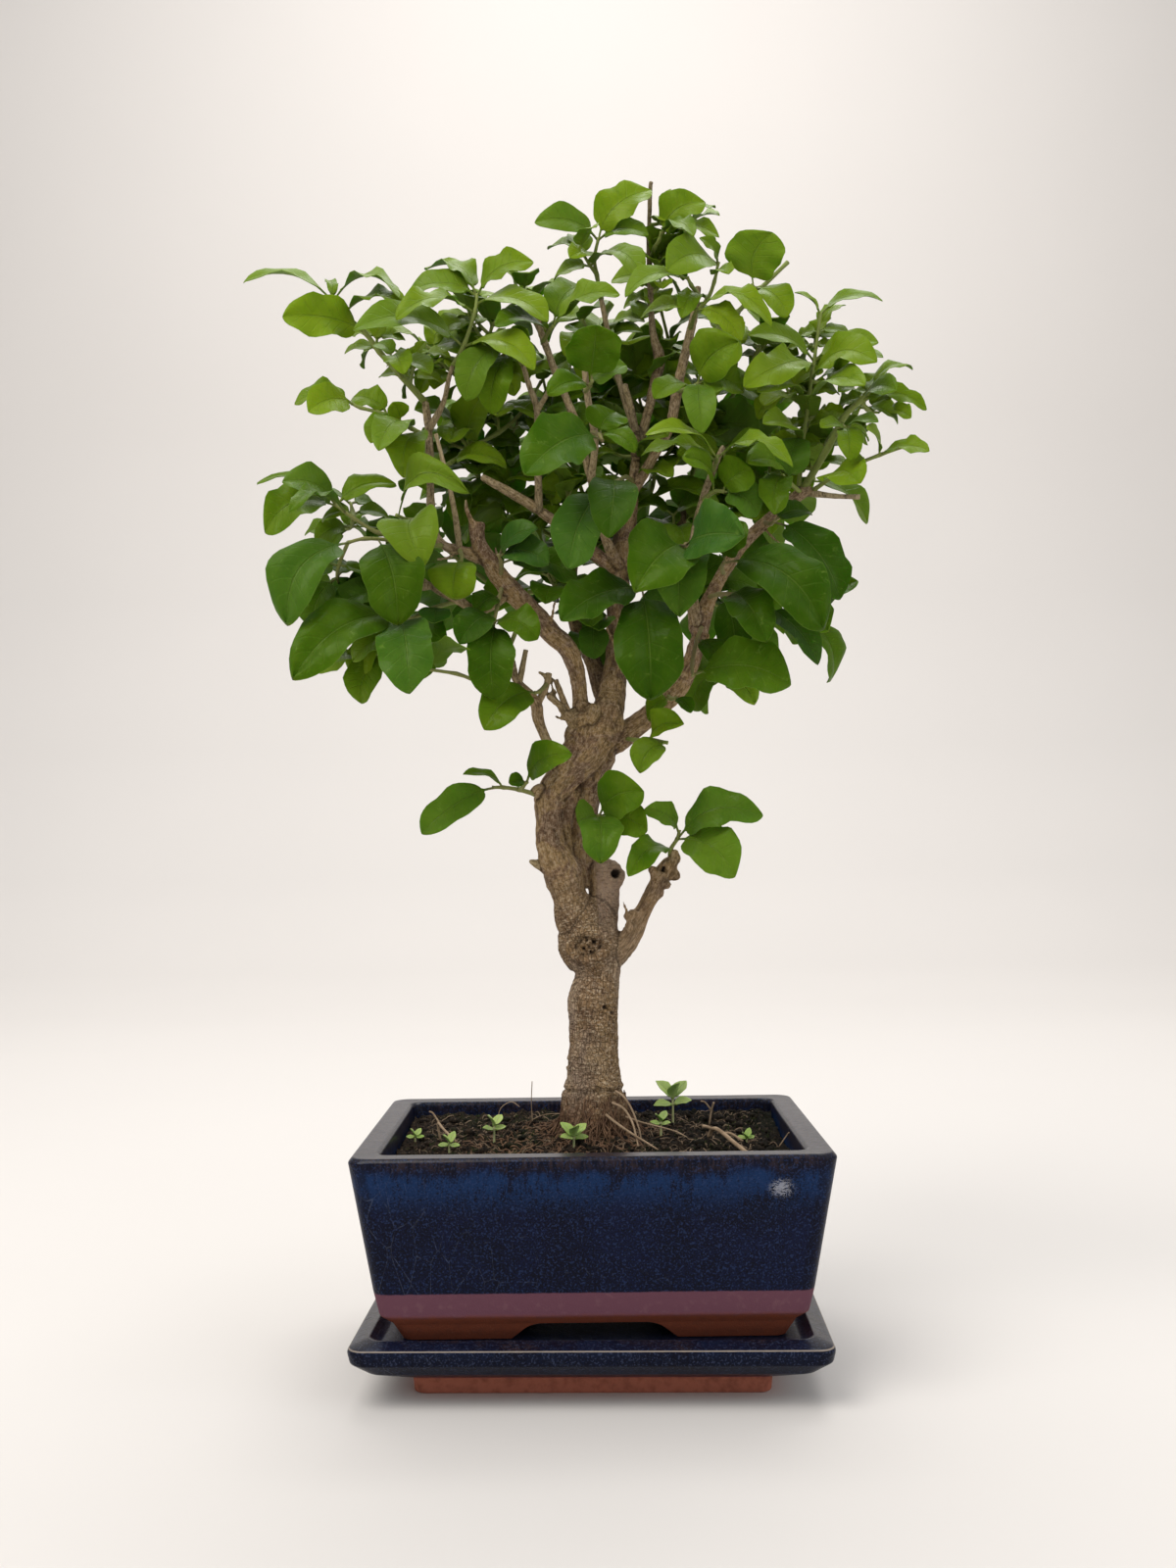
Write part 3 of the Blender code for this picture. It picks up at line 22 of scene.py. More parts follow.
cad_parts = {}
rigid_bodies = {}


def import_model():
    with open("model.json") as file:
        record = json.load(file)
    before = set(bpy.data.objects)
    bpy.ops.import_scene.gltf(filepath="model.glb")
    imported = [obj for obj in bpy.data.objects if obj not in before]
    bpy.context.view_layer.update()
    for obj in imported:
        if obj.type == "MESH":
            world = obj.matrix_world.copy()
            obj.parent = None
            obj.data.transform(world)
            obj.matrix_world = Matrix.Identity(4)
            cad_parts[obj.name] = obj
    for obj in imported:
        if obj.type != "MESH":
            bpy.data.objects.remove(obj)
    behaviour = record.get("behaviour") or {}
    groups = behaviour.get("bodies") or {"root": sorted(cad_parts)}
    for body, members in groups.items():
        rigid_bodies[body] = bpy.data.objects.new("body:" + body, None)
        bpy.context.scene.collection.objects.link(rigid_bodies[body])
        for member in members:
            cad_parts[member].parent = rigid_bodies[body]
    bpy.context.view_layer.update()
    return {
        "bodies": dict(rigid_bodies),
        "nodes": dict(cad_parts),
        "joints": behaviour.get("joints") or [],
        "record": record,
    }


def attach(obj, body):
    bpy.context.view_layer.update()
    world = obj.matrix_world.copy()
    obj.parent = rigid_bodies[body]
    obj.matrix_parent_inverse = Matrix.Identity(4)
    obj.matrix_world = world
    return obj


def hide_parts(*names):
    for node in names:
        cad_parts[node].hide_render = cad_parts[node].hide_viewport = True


log = logging.getLogger("bonsai")

MM = 0.001
PLAIN = (0.5, 0.5, 0.0)
SEED = 11
Row = tuple[float, ...]
Loop = list[Vector]
BMesh = bmesh.types.BMesh
BMVert = bmesh.types.BMVert
Material = bpy.types.Material


class Twig(NamedTuple):
    """A twig's radius at its start and end, its course, and the leaves on it.

    A leaf is (place along the course, tip x, tip y, tip z, blade width, face, arch). Face is the
    turn of the blade from lying flat, 0, to standing square to the front, 90.
    """

    start_radius: float
    end_radius: float
    course: tuple[Row, ...]
    leaves: tuple[Row, ...] = ()


class Shoot(NamedTuple):
    """One leafy shoot: its name, its tone, which is partly painted light, and its twigs, the first of them
    from the wood.
    """

    name: str
    tone: str
    twigs: tuple[Twig, ...]


# Woody limbs: (x, y, z, radius) along each

LIMBS: dict[str, tuple[Row, ...]] = {
    "trunk": ((0, 0, 81, 16.4), (0, 0, 94, 16.9), (1, 0, 105, 16.2), (1, 0, 115, 14.5), (1, 0, 126, 12.2),
        (1, 0, 140, 11.1), (1, 0, 149, 11.4), (1, 0, 157, 11.6), (3, 0, 168, 10.3), (3, 0, 174, 10.9),
        (0, 0, 182, 13.9), (-1, 0, 192, 13.9)),
    "left_stem": ((1, 0, 178, 11.2), (-5, -2, 194, 10.7), (-9, -3, 206, 8.2), (-12, -4, 217, 9.3),
        (-17, -5, 229, 6.9), (-18, -5, 241, 5.8), (-17, -5, 251, 6.9), (-10, -4, 262, 8),
        (-1, -2, 272, 10.8), (3, 0, 283, 12.1)),
    "right_stem": ((-3, 6, 209, 6.3), (-4, 8, 225, 6.3), (-2, 9, 241, 5.9), (0, 8, 257, 7.3),
        (4, 5, 270, 9.5), (6, 3, 281, 10.8)),
    "cleft": ((-10, 2, 216, 4.6), (-11, 2, 229, 3.4), (-11, 2, 241, 3.4), (-8, 2, 254, 4.6)),
    "cut_stub": ((4, 2, 182, 8.1), (6, 3, 196, 7.2), (7, 4, 209, 7), (7, 4, 216, 6.8), (7, 4, 220, 4.1)),
    "side_right": ((9, 0, 178, 7.1), (18, -2, 186, 4.9), (24, -3, 198, 3.8), (30, -4, 209, 3.8),
        (34, -4, 216, 4.2), (37, -4, 222, 2.7)),
    "limb_left": ((-1, 0, 281, 7.2), (-3, -3, 294, 4), (-4, -6, 305, 3.8), (-8, -9, 317, 4.4),
        (-17, -12, 326, 4.9), (-28, -16, 338, 4.8), (-38, -20, 348, 4.6), (-45, -22, 359, 3.7),
        (-48, -23, 366, 3.5), (-48, -24, 373, 3.7)),
    "limb_mid": ((8, 4, 284, 7.7), (12, 8, 300, 6.4), (14, 10, 321, 4.8), (15, 11, 344, 5),
        (17, 10, 362, 5.5), (20, 8, 380, 4.1), (23, 5, 398, 2.7), (24, 3, 416, 2.3), (22, 1, 431, 1.8),
        (19, 0, 442, 1.6)),
    "limb_right": ((9, 4, 275, 7.2), (21, 2, 282, 5.4), (32, 0, 291, 4.9), (42, -2, 300, 4.5),
        (48, -4, 312, 4), (52, -5, 325, 3.8), (56, -6, 339, 3.6), (63, -6, 352, 3.1), (71, -6, 364, 3.1),
        (81, -7, 374, 2.9), (92, -8, 382, 2.9), (99, -8, 388, 2.9), (104, -8, 389, 2.7)),
    "limb_back": ((9, 8, 293, 4.6), (3, 16, 315, 3.9), (-4, 24, 331, 3.7), (-7, 34, 353, 3.3),
        (-5, 44, 376, 2.9), (1, 52, 400, 2.4)),
    "limb_cross": ((17, 10, 355, 4.1), (4, 4, 364, 3.4), (-10, 0, 375, 2.7), (-23, -4, 384, 2.5),
        (-36, -8, 391, 2.2), (-47, -10, 397, 1.8)),
    "limb_back_right": ((51, -4, 323, 3.1), (49, 14, 346, 2.8), (46, 34, 374, 2.6), (50, 48, 401, 2.2)),
    "fork_left": ((-45, -21, 356, 3.1), (-56, -22, 361, 2.6), (-63, -22, 363, 2.2), (-68, -22, 372, 2),
        (-69, -20, 393, 2), (-70, -16, 416, 2), (-72, -12, 431, 1.8)),
    "fork_left_b": ((-70, -16, 417, 1.8), (-63, -20, 428, 1.3), (-60, -24, 438, 1.1), (-58, -26, 443, 1)),
    "thin_left": ((-56, -22, 361, 1.7), (-57, -28, 373, 1.3), (-59, -32, 385, 1.1), (-62, -34, 398, 1),
        (-65, -34, 410, 0.9)),
    "low_left": ((-34, -18, 342, 2.6), (-47, -26, 333, 2.2), (-56, -30, 337, 2.2), (-68, -34, 343, 1.9),
        (-74, -36, 347, 1.3)),
    "low_left_b": ((-68, -34, 343, 1.7), (-80, -40, 340, 1.5)),
    "stem_i": ((24, 4, 409, 2.3), (30, 6, 430, 2.3), (34, 8, 447, 2.5), (36, 8, 456, 2.8),
        (33, 8, 470, 1.8), (32, 8, 496, 1.5), (32, 8, 520, 1.3), (33, 8, 541, 1.3)),
    "stem_h": ((23, 5, 393, 2.7), (32, -4, 407, 2.5), (40, -8, 421, 2.5), (43, -10, 437, 2.5),
        (48, -12, 457, 2.2), (51, -12, 470, 2), (53, -12, 483, 1.9)),
    "stem_m": ((15, 6, 359, 3.2), (8, -8, 372, 2.2), (3, -14, 393, 2), (-2, -18, 415, 2),
        (-8, -18, 431, 1.9), (-14, -16, 447, 1.8), (-20, -14, 466, 1.8), (-23, -12, 478, 1.8)),
    "stem_n": ((3, -14, 393, 1.8), (5, -24, 410, 1.7), (2, -28, 427, 1.6), (0, -30, 450, 1.4)),
    "stem_o": ((-21, -4, 383, 1.8), (-21, -12, 403, 1.6), (-21, -16, 425, 1.5), (-24, -18, 435, 1.3),
        (-27, -20, 445, 1.1)),
    "stem_o2": ((-21, -16, 425, 1.3), (-15, -22, 433, 1.1)),
    "stem_g": ((52, -5, 323, 2.5), (48, -14, 344, 2.2), (48, -20, 360, 2), (51, -24, 377, 1.7),
        (56, -26, 391, 1.7), (62, -28, 405, 1.3)),
    "stem_s": ((103, -8, 388, 1.8), (114, -10, 386, 1.2), (125, -12, 385, 1.2)),
    "stem_u": ((24, 3, 420, 1.8), (17, 4, 444, 1.6), (12, 6, 468, 1.4), (9, 6, 484, 1.2)),
    "side_left": ((-13, -6, 254, 3.1), (-17, -12, 272, 2.4), (-22, -16, 285, 2.6), (-23, -18, 293, 2.8),
        (-31, -22, 302, 2.2), (-34, -24, 316, 1.3)),
    "side_left_b": ((-30, -22, 301, 1.5), (-27, -20, 316, 1.1)),
    "side_left_c": ((-22, -18, 292, 1.8), (-18, -16, 301, 1.5), (-17, -15, 306, 1.5)),
    "claw_a": ((-5, -4, 281, 3.1), (-11, -10, 291, 1.8), (-16, -14, 295, 1.5)),
    "claw_b": ((-7, -4, 284, 2.2), (-11, -12, 295, 1.5), (-14, -15, 303, 1.2)),
    "fork_stub": ((0, -6, 279, 4), (3, -12, 288, 2.7), (4, -13, 292, 2.6)),
    "knob_left": ((-14, -5, 251, 4), (-21, -8, 254, 3.1), (-25, -9, 252, 2.7)),
    "knob_low": ((-18, -4, 217, 2.7), (-25, -6, 221, 1.6), (-27, -7, 222, 1.3)),
}

# The shoots that the front shows

SHOOTS: tuple[Shoot, ...] = (
    Shoot("left_end", "lime", (
        Twig(1.6, 0.8, ((-72, -12, 431), (-82, -14, 442), (-92, -16, 453), (-98, -18, 461),
             (-106, -20, 468), (-113, -20, 476)), ((5, -152, -26, 484, 12, 30), (5, -117, -8, 490, 5, 40),
             (5, -81, -34, 474, 14, 28, 0.28), (3, -131, -36, 464, 19, 80, 0.1),
             (4.2, -78, -44, 469, 14, 35))),
        Twig(0.9, 0.7, ((-82, -14, 442), (-84, -24, 443), (-85, -28, 447)), ((2, -93, -20, 456, 8, 50),
             (2, -78, -46, 435, 11, 75), (1, -67, -34, 438, 13, 45))))),
    Shoot("left_crest", "lime", (
        Twig(1.1, 0.7, ((-58, -26, 443), (-53, -28, 451), (-48, -26, 467), (-47, -24, 476)),
             ((1, -99, -46, 454, 17, 55), (1, -21, -44, 436, 15, 50), (2, -80, -34, 459, 14, 45),
             (3, -79, -20, 479, 18, 50), (3, -71, -8, 497, 14, 25), (3, -22, -30, 489, 15, 55),
             (2.5, -15, -36, 460, 16, 45))),)),
    Shoot("left_bow", "lime", (
        Twig(1.1, 0.7, ((-70, -16, 414), (-77, -22, 416), (-87, -26, 421), (-99, -28, 424),
             (-103, -28, 426)), ((4, -128, -30, 427, 15, 45, 0.2), (4, -119, -44, 418, 15, 80),
             (2, -104, -18, 433, 12, 60), (1.5, -84, -32, 425, 9, 70), (1.3, -93, -38, 406, 15, 70),
             (0.9, -87, -46, 399, 14, 65), (0.5, -79, -40, 392, 17, 70))),)),
    Shoot("left_arm", "mid", (
        Twig(1.1, 0.7, ((-68, -22, 369), (-81, -27, 366), (-92, -29, 368), (-102, -31, 374),
             (-110, -32, 380)), ((4, -146, -24, 394, 10, 40), (4, -130, -46, 387, 17, 60, 0.2),
             (4, -139, -42, 368, 20, 60, 0.2), (4, -84, -30, 391, 13, 50, 0.15),
             (3.4, -122, -54, 372, 8, 45))),)),
    Shoot("left_yellow", "yellow", (
        Twig(1.1, 0.7, ((-68, -22, 376), (-76, -34, 372), (-82, -40, 373)),
             ((2, -51, -54, 381, 16, 62, 0.35), (1, -70, -60, 351, 25, 85))),)),
    Shoot("left_drape", "dark", (
        Twig(1.1, 0.7, ((-63, -22, 363), (-74, -34, 361), (-84, -40, 362), (-95, -44, 362),
             (-102, -46, 360)), ((4, -126, -62, 324, 23, 58, 0.2),
             (2.5, -80, -68, 325, 24, 80, 0.15))),)),
    Shoot("left_hang", "dark", (
        Twig(1.1, 0.7, ((-56, -30, 337), (-68, -32, 333), (-77, -36, 328), (-82, -38, 329)),
             ((2, -79, -28, 350, 12, 70), (3, -121, -70, 302, 23, 65, 0.15),
             (3, -74, -76, 294, 22, 80, 0.15), (0.8, -66, -38, 326, 13, 80))),)),
    Shoot("left_low_twig", "mid", (
        Twig(1.1, 0.7, ((-27, -16, 337), (-34, -34, 315), (-43, -42, 300), (-56, -44, 303),
             (-70, -46, 305)), ((4, -49, -60, 312, 10, -40),)),)),
    Shoot("left_fold", "dark", (
        Twig(1.1, 0.7, ((-37, -20, 346), (-39, -30, 334), (-40, -36, 326)), ((2, -40, -46, 292, 19, 75),
             (2, -21, -48, 318, 15, 55), (1.6, -54, -50, 316, 15, 60), (0.6, -48, -20, 332, 11, 60))),)),
    Shoot("left_spur_leaf", "mid", (
        Twig(1.1, 0.7, ((-18, -16, 301), (-21, -24, 297), (-23, -28, 296)),
             ((2, -44, -46, 279, 18, 75),)),)),
    Shoot("left_inner", "mid", (
        Twig(1.1, 0.7, ((-56, -22, 361), (-54, -34, 356), (-54, -38, 353)),
             ((2, -57, -46, 336, 19, 70),)),)),
    Shoot("mid_low_left", "dark", (
        Twig(1.1, 0.7, ((-38, -20, 348), (-37, -32, 353), (-38, -36, 356)), ((2, -16, -46, 350, 15, 60),
             (1, -3, -30, 346, 16, 60), (2, -21, -30, 366, 13, 55))),)),
    Shoot("mid_round", "mid", (
        Twig(1.1, 0.7, ((4, -24, 413), (7, -40, 407), (8, -46, 403)), ((2, -24, -72, 383, 24, 80),
             (1, 22, -50, 398, 10, 50), (1, 14, -40, 419, 17, 70))),)),
    Shoot("mid_pair", "dark", (
        Twig(1.1, 0.7, ((23, 5, 397), (19, -14, 395), (14, -34, 388), (7, -44, 382)),
             ((3, -7, -66, 345, 20, 75, 0.1), (2, 10, -68, 357, 19, 75))),)),
    Shoot("heart_pair", "mid", (
        Twig(1.1, 0.7, ((48, -20, 360), (44, -38, 359), (43, -46, 357)), ((2, 21, -64, 335, 28, 78),
             (2, 65, -72, 356, 26, 76, 0.1), (1, 40, -72, 326, 23, 80))),)),
    Shoot("right_drape", "dark", (
        Twig(1.1, 0.7, ((63, -6, 352), (60, -30, 350), (60, -44, 350)), ((2, 99, -66, 319, 25, 65, 0.2),
             (2, 68, -50, 366, 15, 60))),)),
    Shoot("right_low", "dark", (
        Twig(1.1, 0.7, ((53, -5, 328), (49, -26, 319), (46, -36, 307), (46, -40, 301)),
             ((3, 86, -54, 297, 24, 66, 0.12), (1, 61, -46, 300, 11, 60))),)),
    Shoot("right_hang", "dark", (
        Twig(1.1, 0.7, ((56, -6, 341), (59, -26, 339), (65, -36, 337), (73, -42, 333), (78, -44, 330)),
             ((1.6, 75, -52, 315, 18, 75), (4, 99, -52, 305, 13, 45, 0.1), (1, 64, -30, 310, 16, 70))),)),
    Shoot("mid_hang", "dark", (
        Twig(1.1, 0.7, ((16, 11, 342), (21, -20, 341), (25, -36, 340)), ((2, 27, -58, 292, 27, 80, 0.1),
             (2, -10, -58, 325, 20, 65, 0.12))),)),
    Shoot("right_outer", "dark", (
        Twig(1.1, 0.7, ((82, -7, 375), (83, -22, 371), (84, -28, 371)), ((2, 112, -36, 336, 20, 60, 0.15),
             (2, 101, -20, 377, 13, 50))),)),
    Shoot("right_tall", "lime", (
        Twig(1.1, 0.7, ((98, -8, 391), (100, -6, 410), (103, -6, 428), (105, -8, 444), (106, -8, 449),
             (109, -10, 471)), ((5, 97, -14, 479, 7, 35), (5, 137, -12, 476, 10, 40),
             (4, 75, -20, 458, 13, 55, 0.15), (4, 133, -20, 454, 14, 50, 0.15),
             (3.6, 72, -46, 430, 16, 70, 0.1), (2.8, 126, -30, 440, 17, 75), (2, 121, -46, 427, 14, 65),
             (2, 77, -40, 427, 12, 60), (1, 80, -34, 414, 13, 60), (1.2, 85, -20, 406, 11, 55))),)),
    Shoot("right_fan", "mid", (
        Twig(1.8, 1.0, ((100, -8, 390), (111, -12, 408), (118, -14, 421), (125, -15, 428),
             (130, -16, 433), (134, -17, 437)), ((3.4, 138, -32, 428, 12, 70), (4, 153, 0, 450, 6, 40),
             (3.2, 151, -6, 436, 12, 45), (3, 154, -22, 423, 9, 60), (3.2, 113, -32, 428, 7, 60))),
        Twig(0.9, 0.7, ((117, -14, 418), (117, -24, 413)), ((1, 129, -36, 413, 8, 50),
             (1, 116, -38, 396, 11, 70), (1, 129, -18, 410, 7, 50), (1, 105, -30, 412, 9, 50))))),
    Shoot("right_ray", "lime", (
        Twig(1.1, 0.7, ((104, -8, 389), (112, -18, 393), (121, -22, 397), (132, -24, 401),
             (144, -24, 405)), ((3, 151, -32, 400, 10, 50, 0.15), (3, 124, -38, 409, 10, 60),
             (0.7, 119, -46, 386, 20, 75))),)),
    Shoot("mid_bow", "lime", (
        Twig(1.1, 0.7, ((57, -26, 394), (58, -36, 396), (58, -40, 397)), ((2, 88, -58, 390, 10, 45, 0.25),
             (2, 27, -56, 404, 9, 45, 0.2), (1, 25, -40, 399, 11, 40))),)),
    Shoot("crest_right", "lime", (
        Twig(1.1, 0.7, ((51, -12, 470), (57, -15, 476), (60, -17, 483), (62, -17, 492)),
             ((3, 38, -36, 482, 19, 75), (3, 54, -24, 501, 8, 50), (2.4, 65, -34, 483, 10, 70),
             (1, 44, -34, 463, 10, 55))),)),
    Shoot("crest_heart", "lime", (
        Twig(1.3, 0.9, ((48, -12, 457), (63, -11, 464), (82, -8, 483), (95, -6, 496))),
        Twig(0.9, 0.7, ((83, -8, 484), (79, -14, 481), (77, -18, 481)), ((2, 85, -28, 501, 24, 80),
             (1, 92, -22, 465, 14, 60))))),
    Shoot("crest_arch", "lime", (
        Twig(1.1, 0.7, ((49, -12, 463), (50, -26, 464), (51, -30, 466)), ((2, 82, -46, 454, 11, 50, 0.3),
             (2, 69, -42, 449, 12, 70), (2, 26, -40, 464, 11, 50))),)),
    Shoot("crest_mid", "lime", (
        Twig(1.1, 0.7, ((53, -12, 479), (49, -24, 479), (47, -28, 481)),
             ((2, 19, -46, 470, 12, 50, 0.2),)),)),
    Shoot("crest_top", "lime", (
        Twig(1.1, 0.7, ((33, 8, 505), (34, 0, 506), (36, -4, 508), (37, -6, 511)),
             ((2.4, 56, -14, 522, 18, 70), (3, 63, 4, 529, 11, 55), (3, 63, -22, 507, 11, 50),
             (2.5, 49, -28, 500, 9, 60))),)),
    Shoot("crest_left", "lime", (
        Twig(1.1, 0.7, ((9, 6, 484), (7, 4, 495), (6, 2, 502), (8, 0, 511)), ((3, -21, -10, 515, 14, 75),
             (3, 32, -4, 533, 19, 65), (3, 31, -16, 510, 12, 60), (2, 27, -22, 484, 13, 55, 0.2),
             (2, -5, -14, 497, 11, 60))),)),
    Shoot("crest_wave", "mid", (
        Twig(1.1, 0.7, ((-18, -15, 457), (-15, -26, 458), (-13, -30, 459)), ((2, 16, -38, 471, 15, 45),
             (2, 4, -20, 486, 18, 60), (1, -38, -40, 457, 13, 50))),)),
    Shoot("mid_upper", "mid", (
        Twig(1.1, 0.7, ((1, -28, 430), (3, -40, 429), (4, -44, 430)), ((2, 6, -58, 449, 22, 80),
             (1, 19, -40, 438, 15, 60), (1, -15, -50, 423, 13, 60))),)),
    Shoot("mid_upper_left", "mid", (
        Twig(1.1, 0.7, ((-27, -20, 445), (-31, -28, 448), (-36, -32, 451)), ((2, -23, -44, 452, 11, 60),
             (2, -52, -56, 425, 15, 60), (1, -41, -40, 420, 15, 65))),)),
    Shoot("mid_upper_right", "mid", (
        Twig(1.1, 0.7, ((43, -10, 435), (48, -26, 432), (51, -32, 432)), ((2, 67, -46, 446, 22, 75),
             (2, 70, -40, 428, 15, 70), (2, 51, -50, 405, 13, 60), (1, 31, -40, 424, 12, 50))),)),
    Shoot("mid_right", "dark", (
        Twig(1.1, 0.7, ((52, -24, 381), (57, -34, 383), (61, -38, 382)), ((2, 73, -46, 391, 17, 70),
             (2, 75, -50, 371, 15, 70), (1, 44, -44, 394, 14, 60))),)),
    Shoot("right_inner", "dark", (
        Twig(1.1, 0.7, ((99, -8, 388), (92, -20, 390), (88, -26, 392)), ((2, 72, -44, 395, 14, 60),
             (2, 82, -44, 372, 13, 70), (1, 97, -10, 412, 16, 60))),)),
    Shoot("low_trunk_bow", "mid", (
        Twig(1.1, 0.7, ((-24, -9, 252), (-31, -12, 254), (-38, -14, 255), (-43, -15, 255)),
             ((3, -73, -30, 235, 15, 65, 0.1), (2, -55, -24, 261, 6, 40))),
        Twig(0.9, 0.7, ((-31, -12, 254), (-29, -18, 255), (-27, -22, 257)), ((2, -8, -40, 268, 14, 70),
             (2, -35, -24, 257, 8, 50))))),
    Shoot("right_stem_fan", "mid", (
        Twig(1.1, 0.7, ((-1, 9, 236), (2, -8, 239), (5, -16, 242)), ((2, 24, -28, 252, 20, 75),
             (2, 26, -26, 235, 15, 70), (2, 5, -30, 223, 17, 75), (2, -5, -26, 239, 15, 60))),)),
    Shoot("fork_leaf", "lime", (
        Twig(1.1, 0.7, ((16, 2, 278), (22, -8, 276), (28, -13, 276), (36, -16, 274)),
             ((3, 23, -24, 261, 14, 60), (2, 40, -26, 283, 15, 60), (1.5, 25, -24, 266, 8, 45))),)),
    Shoot("side_shoot", "mid", (
        Twig(1.1, 0.7, ((37, -4, 220), (37, -6, 226), (40, -8, 231), (41, -9, 235)),
             ((3, 26, -16, 245, 11, 55), (2, 76, -24, 242, 17, 65), (2, 64, -34, 215, 21, 70),
             (1, 18, -10, 217, 12, 60))),)),
    Shoot("limb_right_low", "mid", (
        Twig(1.1, 0.7, ((37, -1, 297), (38, -14, 294), (40, -18, 294)), ((2, 46, -24, 287, 7, 45),
             (1, 27, 4, 286, 11, 55))),)),
)

# Boughs behind, whose leaves stand in pairs by rule: (name, tone, leaf length, courses)
BACK_BOUGHS: tuple[tuple, ...] = (
    ("back_mid", "mid", 33, (((1, 52, 398), (-4, 50, 412), (-10, 44, 427), (-16, 38, 442),
        (-20, 34, 458)), ((-4, 50, 412), (9, 58, 424), (15, 60, 439), (16, 60, 455)))),
    ("back_left_high", "mid", 33, (((-5, 46, 374), (-21, 46, 384), (-37, 42, 395), (-51, 38, 408),
        (-61, 34, 422)), ((-37, 42, 395), (-40, 52, 411), (-38, 56, 427), (-36, 58, 443)))),
    ("back_left_low", "dark", 36, (((-7, 35, 352), (-24, 38, 352), (-42, 40, 352), (-60, 40, 350),
        (-76, 38, 346)), ((-42, 40, 352), (-52, 48, 362), (-64, 52, 372), (-76, 52, 382)))),
    ("back_left_top", "mid", 31, (((-69, -20, 395), (-62, -6, 404), (-54, 8, 415), (-48, 18, 429),
        (-44, 24, 444)), ((-54, 8, 415), (-40, 14, 424), (-28, 18, 436), (-20, 20, 450)), ((-48, 18, 429),
        (-48, 10, 443), (-46, 6, 458), (-42, 4, 472)))),
    ("back_right_high", "mid", 33, (((50, 48, 399), (54, 46, 414), (57, 40, 430), (58, 34, 446),
        (58, 30, 462)), ((54, 46, 414), (68, 54, 424), (80, 58, 434), (91, 60, 444)), ((57, 40, 430),
        (69, 32, 441), (78, 23, 453), (84, 16, 465)))),
    ("back_right_mid", "mid", 33, (((46, 35, 373), (62, 38, 382), (79, 38, 390), (96, 36, 396),
        (111, 32, 404)), ((79, 38, 390), (86, 49, 403), (88, 56, 418)))),
    ("back_right_low", "dark", 36, (((49, 14, 346), (64, 24, 342), (80, 30, 338), (96, 32, 336),
        (110, 32, 334)), ((64, 24, 342), (71, 41, 349), (79, 54, 356)))),
    ("back_crest", "mid", 31, (((20, 8, 382), (30, 20, 393), (34, 30, 407), (34, 36, 423), (29, 38, 440),
        (25, 38, 457)), ((34, 36, 423), (43, 38, 439), (46, 36, 456), (42, 32, 472), (38, 28, 487)),
        ((29, 38, 440), (17, 30, 452), (7, 24, 466), (0, 20, 480)))),
)

# Small weed seedlings: (name, x, y, height, leaf length, leaves)
SEEDLINGS: tuple[tuple, ...] = (
    ("seedling_left", -63, -20, 5, 6, 2),
    ("seedling_left_tall", -44, -8, 9, 7, 2),
    ("seedling_front", -8, -33, 6, 8, 3),
    ("seedling_right_pale", 38, 24, 13, 11, 3),
    ("seedling_right", 31, -4, 8, 6, 2),
)

# The blades' layout, as in the solids
STALK_STEP = 0.45             # from a twig's middle line to where a stalk starts
STALK_SHARE = 0.13            # part of a leaf's length that is stalk
STALK_WIDTH = 1.0
BLADE_FOLD = math.radians(14)
USUAL_ARCH = 0.18
FULLNESS = 1.12
TIP_WIDTH = 0.12
BACK_FROM = 38.0
BACK_LIMIT = 76.0
WIDE_LEAF = 21.0
BACK_TONE = 0.35              # how much lighter boughs behind are made, as the light reaches them less
SPRIG_TONE = 0.25             # the same for the sprigs between the shoots, and for the twigs
TWIG_TONE = 0.15
POINT_DEPTH = 0.55            # how far a blade's point is drawn in, and how suddenly
POINT_KEENNESS = 24.0
BLADE_SKIN = 0.18             # half the thickness of a blade, and what its neck adds
NECK_SKIN = 0.30
STALK_ROWS = 0.12             # part of a blade's grid that is stalk
SHIFTS = (0, -5, 5, -10, 10, -15, 15, -20, 20, -26, 26)
TURNS = (0, 22, -22, 45)
LAST_Y = 73.0
FIRST_X = -150.0
LAST_Z = 538.0
SIDE_SHARE = 0.6              # how much is left of what a leaf has beyond these, aside and above
TOP_SHARE = 0.2

# Pot, tray and soil, as in the solids
POT_RIM_HEIGHT = 102.6
POT_HALF = (100.0, 75.0)
POT_FEET_BOTTOM = 24.5
POT_FEET_TOP = 31.9
POT_FLOOR = 38.5
GLAZE_END = 46.0
TRAY_TURN = math.radians(-1.5)
TRAY_RIM_HEIGHT = 27.3
SOIL_EDGE_HEIGHT = 93.5
SOIL_MOUND = 6.4
SOIL_MOUND_REACH = 42.0
SOIL_BANK = 3.6
SOIL_ROUGHNESS = 1.3
SOIL_LUMP = (76.0, 42.0)
SOIL_LUMP_HEIGHT = 2.2
SOIL_LUMP_REACH = 15.0


# Small sums


def tapered(first: float, last: float, count: int) -> list[float]:
    """Return radii that change evenly from the first to the last."""
    return [first + (last - first) * step / (count - 1) for step in range(count)]


def clamp(value: float) -> float:
    """Return a value held between 0 and 1."""
    return min(1.0, max(0.0, value))


def bell(offset: float, reach: float) -> float:
    """Return 1 at no offset, falling off on both sides within a reach."""
    return math.exp(-(offset / reach) ** 2)


def rough(point: Vector, octaves: int, fall: float = 1.0) -> float:
    """Return noise at a point, in octaves that each add finer detail."""
    return noise.fractal(point, fall, 2.0, octaves)


def look_up(points: Iterable[Vector]) -> KDTree:
    """Return a tree that finds the nearest of some points.

    Args:
        points: The places to look among.

    Returns:
        The tree, which numbers the points in their order.
    """
    places = list(points)
    tree = KDTree(len(places))
    for index, place in enumerate(places):
        tree.insert(place, index)
    tree.balance()
    return tree


# Shader maths


